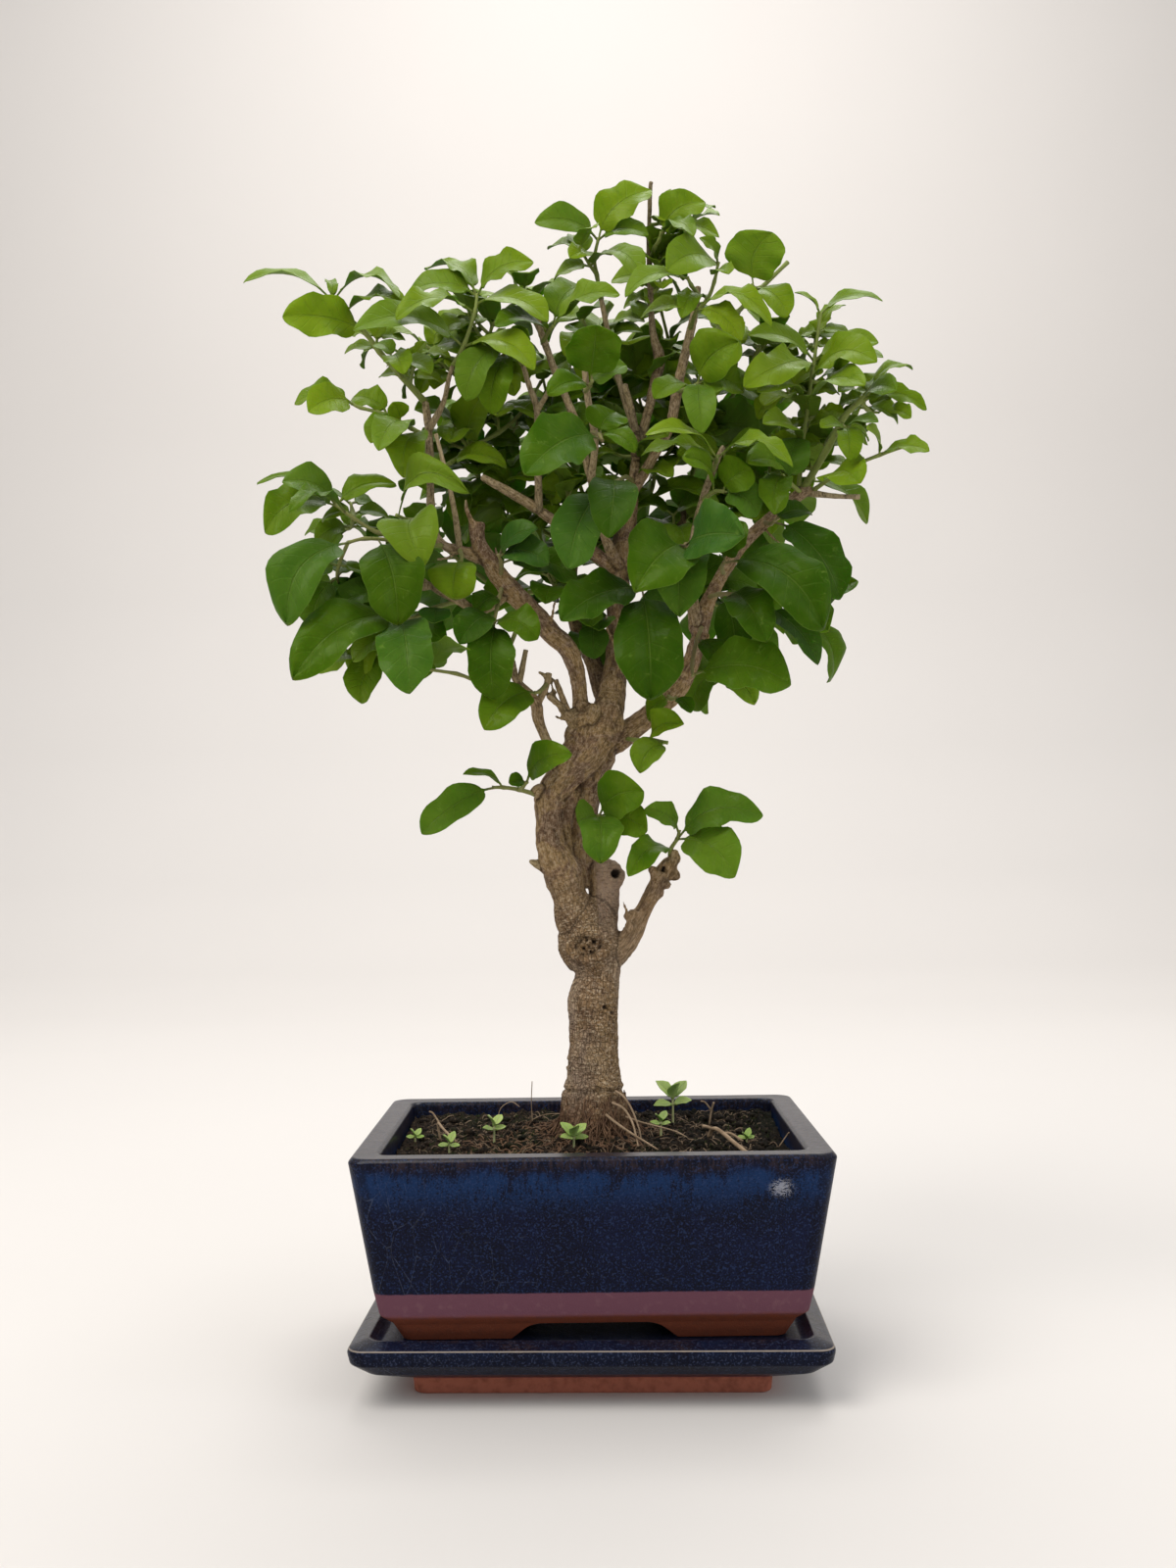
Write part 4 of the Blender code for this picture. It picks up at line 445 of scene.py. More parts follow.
class Value:
    """An output of a material's nodes, on which maths is written as plain expressions."""

    def __init__(self, shader: "Shader", socket: bpy.types.NodeSocket) -> None:
        """Hold one output socket of a shader's node tree."""
        self.shader = shader
        self.socket = socket

    def maths(self, operation: str, *values: "Value | float") -> "Value":
        """Return a Math node's result for the given operation and inputs."""
        return self.shader.node("ShaderNodeMath", {"operation": operation}, *values)

    def __add__(self, other: "Value | float") -> "Value":
        """Return the sum."""
        return self.maths("ADD", self, other)

    __radd__ = __add__

    def __sub__(self, other: "Value | float") -> "Value":
        """Return the difference."""
        return self.maths("SUBTRACT", self, other)

    def __rsub__(self, other: "Value | float") -> "Value":
        """Return the difference with this value taken away."""
        return self.maths("SUBTRACT", other, self)

    def __mul__(self, other: "Value | float") -> "Value":
        """Return the product."""
        return self.maths("MULTIPLY", self, other)

    __rmul__ = __mul__

    def __pow__(self, other: "Value | float") -> "Value":
        """Return this value raised to a power."""
        return self.maths("POWER", self, other)

    def __abs__(self) -> "Value":
        """Return the distance from zero."""
        return self.maths("ABSOLUTE", self)

    def fraction(self) -> "Value":
        """Return what is past the last whole number."""
        return self.maths("FRACT", self)

    def step(self, low: float, high: float) -> "Value":
        """Return a soft step from 0 at low to 1 at high, or down from high to low."""
        return self.shader.node("ShaderNodeMapRange", {"interpolation_type": "SMOOTHSTEP"}, self,
                                low, high, 0.0, 1.0)


class Shader:
    """A material under construction, with a Principled shader at its end."""

    def __init__(self, name: str, **constants: float | Row) -> None:
        """Start a material.

        Args:
            name: The material's name.
            constants: Fixed values of the Principled shader's sockets, spaces as underscores.
        """
        self.material = bpy.data.materials.new(name)
        self.material.use_nodes = True
        self.tree = self.material.node_tree
        self.principled = self.tree.nodes["Principled BSDF"]
        for socket, value in constants.items():
            self.principled.inputs[socket.replace("_", " ")].default_value = value

    def feed(self, socket: bpy.types.NodeSocket, value: "Value | float | Row") -> None:
        """Link a value to an input, or set the input to a number or a colour.

        Args:
            socket: The input.
            value: What it takes.
        """
        if isinstance(value, Value):
            self.tree.links.new(value.socket, socket)
        elif isinstance(value, tuple) and socket.type == "RGBA":
            socket.default_value = (*value, 1.0)
        else:
            socket.default_value = value

    def node(self, kind: str, settings: dict | None = None, *values: "Value | float | Row",
             output: int | str = 0, **named: "Value | float | Row") -> Value:
        """Add any node.

        Args:
            kind: The node's type.
            settings: The node's own settings, which are set before its sockets.
            values: Values or links of its first sockets, in order.
            output: Which of its outputs to return.
            named: Values or links of its sockets by name.

        Returns:
            The chosen output.
        """
        node = self.tree.nodes.new(kind)
        for setting, value in (settings or {}).items():
            setattr(node, setting, value)
        for socket, value in zip(node.inputs, values):
            self.feed(socket, value)
        for socket, value in named.items():
            self.feed(node.inputs[socket], value)
        return Value(self, node.outputs[output])

    def place(self, scale: Row = (1.0, 1.0, 1.0)) -> Value:
        """Return the Object coordinates, stretched by a scale."""
        place = self.node("ShaderNodeTexCoord", output="Object")
        return self.node("ShaderNodeMapping", None, place, Scale=scale)

    def parts(self, vector: Value) -> tuple[Value, Value, Value]:
        """Return a vector's three parts."""
        whole = self.node("ShaderNodeSeparateXYZ", None, vector)
        sockets = whole.socket.node.outputs
        return tuple(Value(self, socket) for socket in sockets)

    def course(self, scale: Row) -> Value:
        """Return the place along and around a limb in millimetres, stretched by a scale."""
        course = self.node("ShaderNodeAttribute", {"attribute_name": "course"}, output="Vector")
        return self.node("ShaderNodeMapping", None, course, Scale=scale)

    def trait(self, name: str) -> tuple[Value, Value, Value]:
        """Return the three channels of a colour attribute of the mesh."""
        colour = self.node("ShaderNodeAttribute", {"attribute_name": name}, output="Vector")
        return self.parts(colour)

    def noise(self, scale: float, detail: float = 3.0, rough: float = 0.55,
              place: Value | None = None, bend: float = 0.0) -> Value:
        """Return noise from 0 to 1 at a scale in features for each metre."""
        return self.node("ShaderNodeTexNoise", None, output="Fac", Vector=place or self.place(),
                         Scale=scale, Detail=detail, Roughness=rough, Distortion=bend)

    def cells(self, scale: float, feature: str = "F1", place: Value | None = None) -> Value:
        """Return a Voronoi distance."""
        return self.node("ShaderNodeTexVoronoi", {"feature": feature}, output="Distance",
                         Vector=place or self.place(), Scale=scale)

    def mix(self, share: "Value | float", first: "Value | Row", second: "Value | Row") -> Value:
        """Return a colour between two, at a share from the first to the second.

        Args:
            share: How much of the second shows.
            first: The colour below.
            second: The colour above.

        Returns:
            The mixed colour.
        """
        node = self.tree.nodes.new("ShaderNodeMix")
        node.data_type = "RGBA"
        for index, value in ((0, share), (6, first), (7, second)):
            self.feed(node.inputs[index], value)
        return Value(self, node.outputs[2])

    def coats(self, colour: "Value | Row", coats: Sequence[tuple]) -> Value:
        """Return a colour with coats over it, each a (share, colour) pair, the last uppermost."""
        for share, coat in coats:
            colour = self.mix(share, colour, coat)
        return colour

    def relief(self, height: Value, depth: float, strength: float = 1.0) -> Value:
        """Return a normal bent by a height from 0 to 1 that stands for a depth in metres."""
        return self.node("ShaderNodeBump", None, Strength=strength, Distance=depth, Height=height)

    def finish(self, **sockets: Value) -> Material:
        """Link what varies to the Principled shader, and return the material."""
        for socket, value in sockets.items():
            self.tree.links.new(value.socket, self.principled.inputs[socket.replace("_", " ")])
        return self.material


# Finishes


@dataclass(frozen=True)
class LeafFinish:
    """Waxy leaves on green twigs, from deep green to lime, with a pale midrib and faint veins."""

    name: str
    deep: Row
    light: Row
    twig_green: Row = (0.21, 0.25, 0.07)
    twig_brown: Row = (0.24, 0.19, 0.10)
    vein: Row = (0.19, 0.28, 0.05)
    cool: Row = (0.020, 0.082, 0.020)
    vein_pairs: float = 7.0

    def build(self) -> Material:
        """Return the material; it reads the blade's own map and its traits.

        Returns:
            The finished material.
        """
        shader = Shader(self.name, Subsurface_Weight=0.15, Subsurface_Radius=(0.4, 0.9, 0.05),
                        Subsurface_Scale=0.0015, Specular_IOR_Level=0.12,
                        Specular_Tint=(0.55, 0.85, 0.12, 1.0))
        tone, chance, leafy = shader.trait("traits")
        under, _, _ = shader.trait("skin")
        across, along, _ = shader.parts(
            shader.node("ShaderNodeUVMap", {"uv_map": "blade"}, output="UV"))
        side = abs(across - 0.5) * 2.0
        patches = shader.noise(90.0, 4.0)
        grain = shader.noise(900.0, 2.0)
        # The tone, which is partly painted light, with chance and patches, takes the blade from deep to
        # light green.
        shade = (tone + (chance - 0.5) * 0.5 + (patches - 0.5) * 0.8 + along * 0.12).step(-0.1, 1.1)
        blade = shader.mix(shade, self.deep, self.light)
        cool = chance.step(0.62, 0.87) * (1.0 - tone * 0.6)
        blade = shader.mix(cool * 0.55, blade, self.cool)
        midrib = side.step(0.045, 0.010) * along.step(1.0, 0.6)
        rise = along - side * 0.27 + side * side * 0.06
        branch = abs((rise * self.vein_pairs + chance * 0.6).fraction() - 0.5)
        veins = branch.step(0.09, 0.02) * side.step(0.97, 0.6) * along.step(0.97, 0.85)
        blade = shader.coats(blade, (
            (midrib * 0.20, self.vein),
            (veins * 0.035, self.vein),
            (side.step(0.96, 1.0) * 0.16, self.vein)))
        blotches = shader.noise(210.0, 5.0, 0.7, bend=0.5)
        blade = shader.coats(blade, (
            (blotches.step(0.58, 0.74) * 0.35, self.vein),
            (blotches.step(0.45, 0.25) * 0.4, self.deep),
            (under * 0.4, (0.085, 0.145, 0.03))))
        bark = shader.mix((tone + (patches - 0.5) * 0.6).step(0.1, 0.9), self.twig_brown,
                          self.twig_green)
        bark = shader.mix(grain.step(0.58, 0.7) * 0.5, bark, (0.12, 0.08, 0.05))
        height = 0.5 - midrib * 0.5 - veins * 0.14 + grain * 0.08 + patches * 0.5
        return shader.finish(
            Base_Color=shader.mix(leafy, bark, blade),
            Roughness=0.38 + under * 0.2 + (1.0 - leafy) * 0.2 + (patches - 0.5) * 0.3,
            Coat_Weight=patches.step(0.45, 0.65) * leafy * (1.0 - under) * 0.07,
            Normal=shader.relief(height + blotches * 0.4, 0.0008, 0.9))


@dataclass(frozen=True)
class BarkFinish:
    """Grey-brown bark: short level wrinkles, pale flecks, golden limbs, painted shade in pits and creases,
    a painted fork highlight.
    """

    name: str
    brown: Row = (0.255, 0.152, 0.086)
    grey: Row = (0.385, 0.282, 0.208)
    golden: Row = (0.350, 0.228, 0.100)
    umber: Row = (0.135, 0.080, 0.044)
    tan: Row = (0.42, 0.34, 0.18)
    pale: Row = (0.60, 0.47, 0.32)
    dark: Row = (0.040, 0.024, 0.014)
    russet: Row = (0.120, 0.056, 0.027)

    def build(self) -> Material:
        """Return the material; it reads girth, the painted shade of pits, grooves, creases and the stems'
        back, and root shares from the mesh.

        Returns:
            The finished material.
        """
        shader = Shader(self.name, Specular_IOR_Level=0.10)
        girth, scar_and_shade, root = shader.trait("traits")
        cut, upper, _ = shader.trait("skin")
        tall = shader.place((1.0, 1.0, 0.22))
        patches = shader.noise(48.0, 4.0, bend=0.5)
        hues = shader.noise(95.0, 3.0, 0.6, bend=0.8)
        wrinkles = shader.noise(0.80, 4.0, 0.6, shader.course((0.50, 0.50, 1.7)), 0.3)
        streaks = shader.noise(1.5, 4.0, 0.62, shader.course((1.0, 1.0, 0.20)), 0.5)
        grooves = shader.noise(0.42, 3.0, 0.6, shader.course((1.0, 1.0, 0.20)), 0.8)
        cracks = shader.cells(0.62, "DISTANCE_TO_EDGE", shader.course((1.0, 1.0, 0.62)))
        fibres = shader.noise(520.0, 4.0, 0.6, tall)
        specks = shader.noise(1500.0, 3.0)
        grains = shader.noise(620.0, 3.0, 0.7)
        across, _, up = shader.parts(shader.place())
        # Heights in metres: the knobby fork, which gets a painted golden highlight, the warm lower trunk,
        # and the rings of the collar
        fork_highlight = up.step(0.276, 0.286) * up.step(0.312, 0.296)
        warm = (across + (patches - 0.5) * 0.035).step(-0.004, 0.006) * up.step(0.176, 0.152)
        collar = up.step(0.170, 0.182) * up.step(0.222, 0.204)
        old = girth.step(0.45, 0.8) * (1.0 - upper)
        colour = shader.mix(patches.step(0.38, 0.64) * (1.0 - upper * 0.7), self.brown, self.grey)
        colour = shader.coats(colour, (
            (hues.step(0.42, 0.56) * (upper * 0.65 + 0.35), self.golden),
            ((warm + collar * 0.8) * 0.55, self.golden),
            (hues.step(0.5, 0.37) * 0.45, self.umber),
            (collar * 0.22, self.umber),
            (girth.step(0.32, 0.12) * 0.8, self.tan),
            (wrinkles.step(0.52, 0.64) * (old * 0.62 + 0.12), self.pale),
            (wrinkles.step(0.46, 0.34) * (old * 0.50 + 0.10), self.dark),
            # painted highlight: the fork lit golden
            (fork_highlight * 0.45, self.golden),
            (streaks.step(0.5, 0.64) * (0.36 - old * 0.11), self.pale),
            (streaks.step(0.5, 0.37) * (0.50 - old * 0.18), self.dark),
            (grooves.step(0.47, 0.34) * (0.46 - old * 0.21), self.dark),
            (grains.step(0.53, 0.62) * upper * 0.34, self.pale),
            (grains.step(0.47, 0.38) * upper * 0.42, self.dark),
            (cracks.step(0.09, 0.02) * old * 0.4, self.dark),
            (root * 0.72, self.russet),
            (root * fibres.step(0.44, 0.62) * 0.7, self.dark),
            (specks.step(0.6, 0.7) * 0.5, self.dark)))
        smooth = shader.mix(streaks.step(0.4, 0.6) * 0.5, (0.34, 0.25, 0.19), self.brown)
        smooth = shader.coats(smooth, (
            (wrinkles.step(0.5, 0.38) * 0.45, self.dark),
            (grains.step(0.5, 0.65) * 0.3, self.pale)))
        colour = shader.coats(colour, (
            (cut * 0.75, smooth),
            # painted shade, near black: in scar pits, in the grooves of the collar and the ledge, in
            # creases and on the stems' back
            (scar_and_shade.step(0.1, 1.0), (0.014, 0.009, 0.006))))
        height = wrinkles * (old * 0.5 + 0.1) * (1.0 - root) + fibres * root * 0.8 + specks * 0.15
        height = height + streaks * (0.5 - old * 0.1) * (1.0 - cut * 0.6) + grooves * (0.5 - old * 0.2)
        height = height + grains * upper * 0.4
        height = height - cracks.step(0.10, 0.0) * old * 0.3
        return shader.finish(Base_Color=colour, Roughness=0.72 + (specks - 0.5) * 0.3,
                             Normal=shader.relief(height, 0.0016, 1.0))


@dataclass(frozen=True)
class StonewareFinish:
    """Dark blue mottled glaze over clay: bright under the rim, worn at the edges, crazed low down.

    Heights are in metres: where the foot's bare clay ends, where the wiped band above it ends,
    where the rim's top edge lies, how deep below it the bright streaks start, and from where up
    the glaze is glossier. A painted glint, a small pale spot, is its place across, its height and its
    radius.
    """

    name: str
    clay_end: float
    band_end: float
    rim: float
    bright_depth: float
    sheen_from: float
    chip: Row = ()
    streaks: float = 1.0
    band: Row = (0.130, 0.054, 0.076)
    # The pot's clay is painted darker than bare clay, as painted shade under the pot; the tray gives its
    # own lighter clay.
    clay: Row = (0.185, 0.052, 0.028)
    night: Row = (0.003, 0.0035, 0.010)
    navy: Row = (0.0045, 0.0075, 0.030)
    blue: Row = (0.006, 0.024, 0.080)
    fleck: Row = (0.020, 0.037, 0.100)
    rust: Row = (0.028, 0.018, 0.020)
    worn: Row = (0.150, 0.125, 0.105)

    def build(self) -> Material:
        """Return the material; it reads how worn each edge is from the mesh.

        Returns:
            The finished material.
        """
        shader = Shader(self.name, Specular_IOR_Level=0.07, Coat_Roughness=0.22)
        place = shader.place()
        across, _, height = shader.parts(place)
        edge, inside, corner = shader.trait("traits")
        runs = shader.noise(620.0, 4.0, 0.65, shader.place((1.0, 1.0, 0.13)))
        clouds = shader.noise(42.0, 3.0, 0.6, bend=0.6)
        mottle = shader.noise(1500.0, 3.0, 0.7)
        fine = shader.noise(260.0, 4.0, 0.6)
        below = self.rim - height + (runs - 0.5) * 0.007 + (clouds - 0.5) * 0.014
        bright = below.step(self.bright_depth * 0.5, self.bright_depth) \
            * below.step(self.bright_depth * 2.6, self.bright_depth * 1.1)
        glaze = shader.mix((mottle + (clouds - 0.5) * 0.3).step(0.45, 0.58), self.night, self.navy)
        streaks = bright * (runs * 0.9 + mottle * 1.2 + (clouds - 0.5) * 0.9).step(0.80, 1.15)
        glaze = shader.mix(streaks * self.streaks, glaze, self.blue)
        lip = below.step(self.bright_depth * 0.75, self.bright_depth * 0.3)
        dusky = shader.mix(runs.step(0.42, 0.62), self.night, self.rust)
        glaze = shader.coats(glaze, (
            (lip * 0.85, dusky),
            (corner * (fine + runs).step(0.7, 1.1) * 0.7, self.night)))
        speckle = shader.noise(1150.0, 2.0, 0.5)
        glaze = shader.mix(speckle.step(0.55, 0.63) * 0.55, glaze, self.fleck)
        cracks = shader.cells(125.0, "DISTANCE_TO_EDGE", shader.place((1.0, 1.0, 0.42)))
        crazed = cracks.step(0.022, 0.006) * (fine + across * -2.4 - height * 3.4).step(0.30, 0.62)
        glaze = shader.mix(crazed * 0.16 * self.streaks, glaze, (0.16, 0.19, 0.27))
        rubbed = (edge * 1.4 + (fine - 0.5) * 1.0 + (runs - 0.5) * 0.4).step(0.50, 0.90)
        glaze = shader.mix(rubbed * 0.8, glaze, self.worn)
        # painted highlight: a small pale glint on the pot's front
        if self.chip:
            away = ((across - self.chip[0]) ** 2.0 * 0.6 + (height - self.chip[1]) ** 2.0) ** 0.5
            glint_edge = shader.noise(330.0, 4.0, 0.75, shader.place((0.6, 1.0, 1.3)), 1.5)
            glint_mask = (away + abs(glint_edge - 0.5) * 0.05).step(self.chip[2], self.chip[2] * 0.5)
            glaze = shader.mix(glint_mask * 0.7, glaze, (0.34, 0.35, 0.40))
        wipe = (fine - 0.5) * 0.0016 + (clouds - 0.5) * 0.0012
        clay = shader.mix(fine.step(0.4, 0.75) * 0.5, self.clay, (0.13, 0.045, 0.03))
        clay = shader.mix(mottle.step(0.62, 0.72) * 0.3, clay, (0.36, 0.24, 0.17))
        slip = shader.mix(fine.step(0.52, 0.75) * 0.3, self.band, (0.21, 0.11, 0.12))
        bare = shader.mix((height + wipe).step(self.clay_end - 0.0016, self.clay_end + 0.0016), clay, slip)
        glazed = (height + wipe * 0.5).step(self.band_end - 0.0004, self.band_end + 0.0004)
        glazed = glazed * (1.0 - inside)
        relief = (fine * 0.5 + mottle * 0.05 - crazed * 0.4) * glazed
        relief = relief + (1.0 - glazed) * (fine * 0.6 + mottle * 0.5)
        return shader.finish(
            Base_Color=shader.mix(glazed, bare, glaze),
            Roughness=0.76 - glazed * 0.44 + rubbed * glazed * 0.2 + (fine - 0.5) * 0.12,
            Coat_Weight=glazed * (height.step(self.sheen_from - 0.0008, self.sheen_from) * 0.30 + 0.04),
            Normal=shader.relief(relief, 0.0006, 0.45))


@dataclass(frozen=True)
class SoilFinish:
    """Dark fibrous compost with moss growing over parts of it."""

    name: str
    earth: Row = (0.004, 0.003, 0.002)
    fibre: Row = (0.048, 0.030, 0.018)
    moss: Row = (0.014, 0.017, 0.006)

    def build(self) -> Material:
        """Return the material.

        Returns:
            The finished material.
        """
        shader = Shader(self.name, Specular_IOR_Level=0.15)
        patches = shader.noise(42.0, 3.0, 0.6)
        crumbs = shader.noise(620.0, 5.0, 0.65)
        fibres = shader.noise(820.0, 4.0, 0.7, shader.place((0.35, 1.0, 1.0)), 1.2)
        colour = shader.mix(crumbs.step(0.36, 0.66), self.earth, self.fibre)
        colour = shader.mix(fibres.step(0.59, 0.67) * 0.6, colour, (0.15, 0.10, 0.065))
        green = (patches + (crumbs - 0.5) * 0.5).step(0.50, 0.64)
        colour = shader.coats(colour, (
            (green * 0.75, self.moss),
            (shader.cells(430.0).step(0.26, 0.10) * 0.6, (0.15, 0.105, 0.068)),
            (shader.cells(170.0).step(0.16, 0.07) * 0.8, (0.24, 0.18, 0.12))))
        # Painted shade: near-black noise patches stand for the shade between crumbs, and the bed is painted
        # darker towards the right.
        hollow_shade = shader.noise(260.0, 4.0, 0.7)
        across, _, _ = shader.parts(shader.place())
        colour = shader.coats(colour, (
            (across.step(0.015, 0.055) * 0.45, (0.002, 0.002, 0.0015)),
            (hollow_shade.step(0.5, 0.38) * 0.85, (0.002, 0.002, 0.0015))))
        return shader.finish(Base_Color=colour, Roughness=0.9 + (crumbs - 0.5) * 0.1,
                             Normal=shader.relief(crumbs + fibres * 0.5, 0.0016, 1.0))


@dataclass(frozen=True)
class StrandFinish:
    """Roots, stalks and moss: two tones with a fine fibrous grain."""

    name: str
    first: Row
    second: Row
    rough: float = 0.8

    def build(self) -> Material:
        """Return the material.

        Returns:
            The finished material.
        """
        shader = Shader(self.name, Roughness=self.rough, Specular_IOR_Level=0.2)
        patches = shader.noise(150.0, 3.0)
        grain = shader.noise(1800.0, 3.0, 0.6)
        colour = shader.mix((patches * 0.7 + grain * 0.5).step(0.4, 0.8), self.first, self.second)
        return shader.finish(Base_Color=colour, Normal=shader.relief(grain, 0.0003, 0.8))


@dataclass(frozen=True)
class MeshFinish:
    """Dull black moulded plastic of the drainage screens."""

    name: str

    def build(self) -> Material:
        """Return the material.

        Returns:
            The finished material.
        """
        shader = Shader(self.name, Specular_IOR_Level=0.4)
        dust = shader.noise(300.0, 4.0)
        grain = shader.noise(2500.0, 2.0)
        colour = shader.mix(dust.step(0.5, 0.7) * 0.4, (0.018, 0.018, 0.018),
                            (0.09, 0.07, 0.05))
        return shader.finish(Base_Color=colour, Roughness=0.5 + dust * 0.3,
                             Normal=shader.relief(grain, 0.0001, 0.5))


@dataclass(frozen=True)
class FloorFinish:
    """Pale matt backdrop paper."""

    name: str
    colour: Row = (0.70, 0.67, 0.64)

    def build(self) -> Material:
        """Return the material.

        Returns:
            The finished material.
        """
        shader = Shader(self.name, Roughness=0.85, Specular_IOR_Level=0.2)
        cloud = shader.noise(2.0, 2.0)
        tint = tuple(part * 1.04 for part in self.colour)
        return shader.finish(Base_Color=shader.mix(cloud, self.colour, tint))


# Mesh helpers


def blank_mesh() -> BMesh:
    """Return an empty bmesh with the layers that the finishes read.

    Returns:
        The bmesh.
    """
    bm = bmesh.new()
    bm.verts.layers.float_color.new("traits")
    bm.verts.layers.float_color.new("skin")
    bm.loops.layers.uv.new("blade")
    return bm


def paint(bm: BMesh, verts: Iterable[BMVert], traits: Row) -> None:
    """Write one value of the traits to some vertices, and none of the skin attribute.

    Args:
        bm: The bmesh.
        verts: Those of its vertices to paint.
        traits: What the finish reads as traits.
    """
    layers = bm.verts.layers.float_color
    first, second = layers["traits"], layers["skin"]
    for vert in verts:
        vert[first] = (*traits, 1.0)
        vert[second] = (0.0, 0.0, 0.0, 1.0)


def close_holes(bm: BMesh) -> None:
    """Close every hole of a bmesh with a face."""
    bmesh.ops.holes_fill(bm, edges=[edge for edge in bm.edges if edge.is_boundary], sides=0)


def append_mesh(bm: BMesh, mesh: bpy.types.Mesh) -> list[BMVert]:
    """Add a mesh's geometry to a bmesh and return its new vertices.

    Args:
        bm: The bmesh that grows.
        mesh: What it takes up.

    Returns:
        The new vertices.
    """
    count = len(bm.verts)
    bm.from_mesh(mesh)
    bm.verts.ensure_lookup_table()
    return list(bm.verts)[count:]


def make_piece(name: str, bm: BMesh, material: Material,
               node: str | None = None, body: str = "root") -> bpy.types.Object:
    """Turn a bmesh in millimetres into a finished piece of the scene.

    Args:
        name: The piece's name.
        bm: Its geometry, which is freed.
        material: Its finish.
        node: The solid that it stands for, if any.
        body: The body that it moves with.

    Returns:
        The piece.
    """
    bmesh.ops.scale(bm, vec=(MM, MM, MM), verts=bm.verts)
    for face in bm.faces:
        face.smooth = True
    mesh = bpy.data.meshes.new(name)
    bm.to_mesh(mesh)
    bm.free()
    mesh.materials.append(material)
    piece = bpy.data.objects.new(name, mesh)
    bpy.context.scene.collection.objects.link(piece)
    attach(piece, body)
    if node:
        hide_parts(node)
    log.info("%s: %d faces", name, len(mesh.polygons))
    return piece


def smooth_course(rows: Sequence[Row], steps: int) -> list[Vector]:
    """Return a course's rows joined by a smooth curve, with steps between each two of them.

    Args:
        rows: The course's rows, of any length.
        steps: Points for each stretch.

    Returns:
        The points, from the first row to the last.
    """
    points = [Vector(row) for row in rows]
    ends = [points[0] * 2 - points[1], *points, points[-1] * 2 - points[-2]]
    out = [points[0]]
    for before, start, end, after in zip(ends, ends[1:], ends[2:], ends[3:]):
        for step in range(1, steps + 1):
            t = step / steps
            out.append(0.5 * (2 * start + (end - before) * t
                              + (2 * before - 5 * start + 4 * end - after) * t ** 2
                              + (3 * start - before - 3 * end + after) * t ** 3))
    return out


def tube_mesh(points: Sequence[Vector], radii: Sequence[float], roundness: int) -> bpy.types.Mesh:
    """Return a tapered tube with closed ends, as a bevelled curve makes it.

    Args:
        points: Its middle line.
        radii: Its radius at each point.
        roundness: The bevel's resolution.

    Returns:
        The mesh, closed and facing outwards.
    """
    curve = bpy.data.curves.new("tube", "CURVE")
    curve.dimensions = "3D"
    curve.bevel_depth = 1.0
    curve.bevel_resolution = roundness
    curve.use_fill_caps = True
    spline = curve.splines.new("POLY")
    spline.points.add(len(points) - 1)
    for point, place, radius in zip(spline.points, points, radii):
        point.co = (*place[:3], 1.0)
        point.radius = radius
    obj = bpy.data.objects.new("tube", curve)
    bpy.context.scene.collection.objects.link(obj)
    mesh = bpy.data.meshes.new_from_object(obj.evaluated_get(bpy.context.evaluated_depsgraph_get()))
    bpy.data.objects.remove(obj, do_unlink=True)
    bpy.data.curves.remove(curve)
    bm = bmesh.new()
    bm.from_mesh(mesh)
    bmesh.ops.remove_doubles(bm, verts=bm.verts, dist=1e-4)
    bmesh.ops.recalc_face_normals(bm, faces=bm.faces)
    bm.to_mesh(mesh)
    bm.free()
    return mesh


def add_tube(bm: BMesh, points: Sequence[Vector], radii: Sequence[float], roundness: int,
             traits: Row) -> None:
    """Add a tapered tube to a bmesh and paint it."""
    mesh = tube_mesh(points, radii, roundness)
    paint(bm, append_mesh(bm, mesh), traits)
    bpy.data.meshes.remove(mesh)


def evaluated(obj: bpy.types.Object) -> BMesh:
    """Return an object's geometry with its modifiers applied, and remove the object.

    Args:
        obj: The object, which is removed.

    Returns:
        Its final geometry.
    """
    mesh = bpy.data.meshes.new_from_object(obj.evaluated_get(bpy.context.evaluated_depsgraph_get()))
    bm = bmesh.new()
    bm.from_mesh(mesh)
    bpy.data.objects.remove(obj, do_unlink=True)
    bpy.data.meshes.remove(mesh)
    return bm


def loose_object(name: str, bm: BMesh) -> bpy.types.Object:
    """Return an unfinished object for a modifier to work on.

    Args:
        name: Its name.
        bm: Its geometry, which is freed.

    Returns:
        The object, linked to the scene.
    """
    mesh = bpy.data.meshes.new(name)
    bm.to_mesh(mesh)
    bm.free()
    obj = bpy.data.objects.new(name, mesh)
    bpy.context.scene.collection.objects.link(obj)
    return obj


# Leaves and shoots


@dataclass(frozen=True)
class BladeForm:
    """How a blade departs from a flat ovate sheet, as shares of its length or half width."""

    wave: float = 0.03
    waves: float = 1.6
    cup: float = 0.05
    droop: float = 0.04
    sickle: float = 0.03
    lobe: float = 0.05
    fold: float = BLADE_FOLD
    twist: float = math.radians(14)
    belly: float = 0.45
    taper: float = 0.44


class Habit(Enum):
    """The usual forms of the plant's blades."""

    EVEN = BladeForm()
    WAVY = BladeForm(wave=0.06, waves=2.2, droop=0.07, sickle=0.05, twist=math.radians(22))
    CUPPED = BladeForm(wave=0.035, cup=0.16, droop=0.10, fold=math.radians(12))
    HEART = BladeForm(wave=0.045, waves=2.0, lobe=0.24, cup=0.09, droop=0.06, belly=0.36,
                      taper=0.62, fold=math.radians(16))
    CURLED = BladeForm(wave=0.05, waves=1.4, cup=0.12, droop=0.16, sickle=0.08,
                       fold=math.radians(26))
    SPROUT = BladeForm(wave=0.02, cup=0.05, droop=0.02, belly=0.62, taper=0.74,
                       fold=math.radians(20))


KEY_HABITS = {"heart_pair": Habit.HEART, "fork_leaf": Habit.CURLED, "left_yellow": Habit.CURLED,
              "side_shoot": Habit.WAVY, "left_drape": Habit.CUPPED}
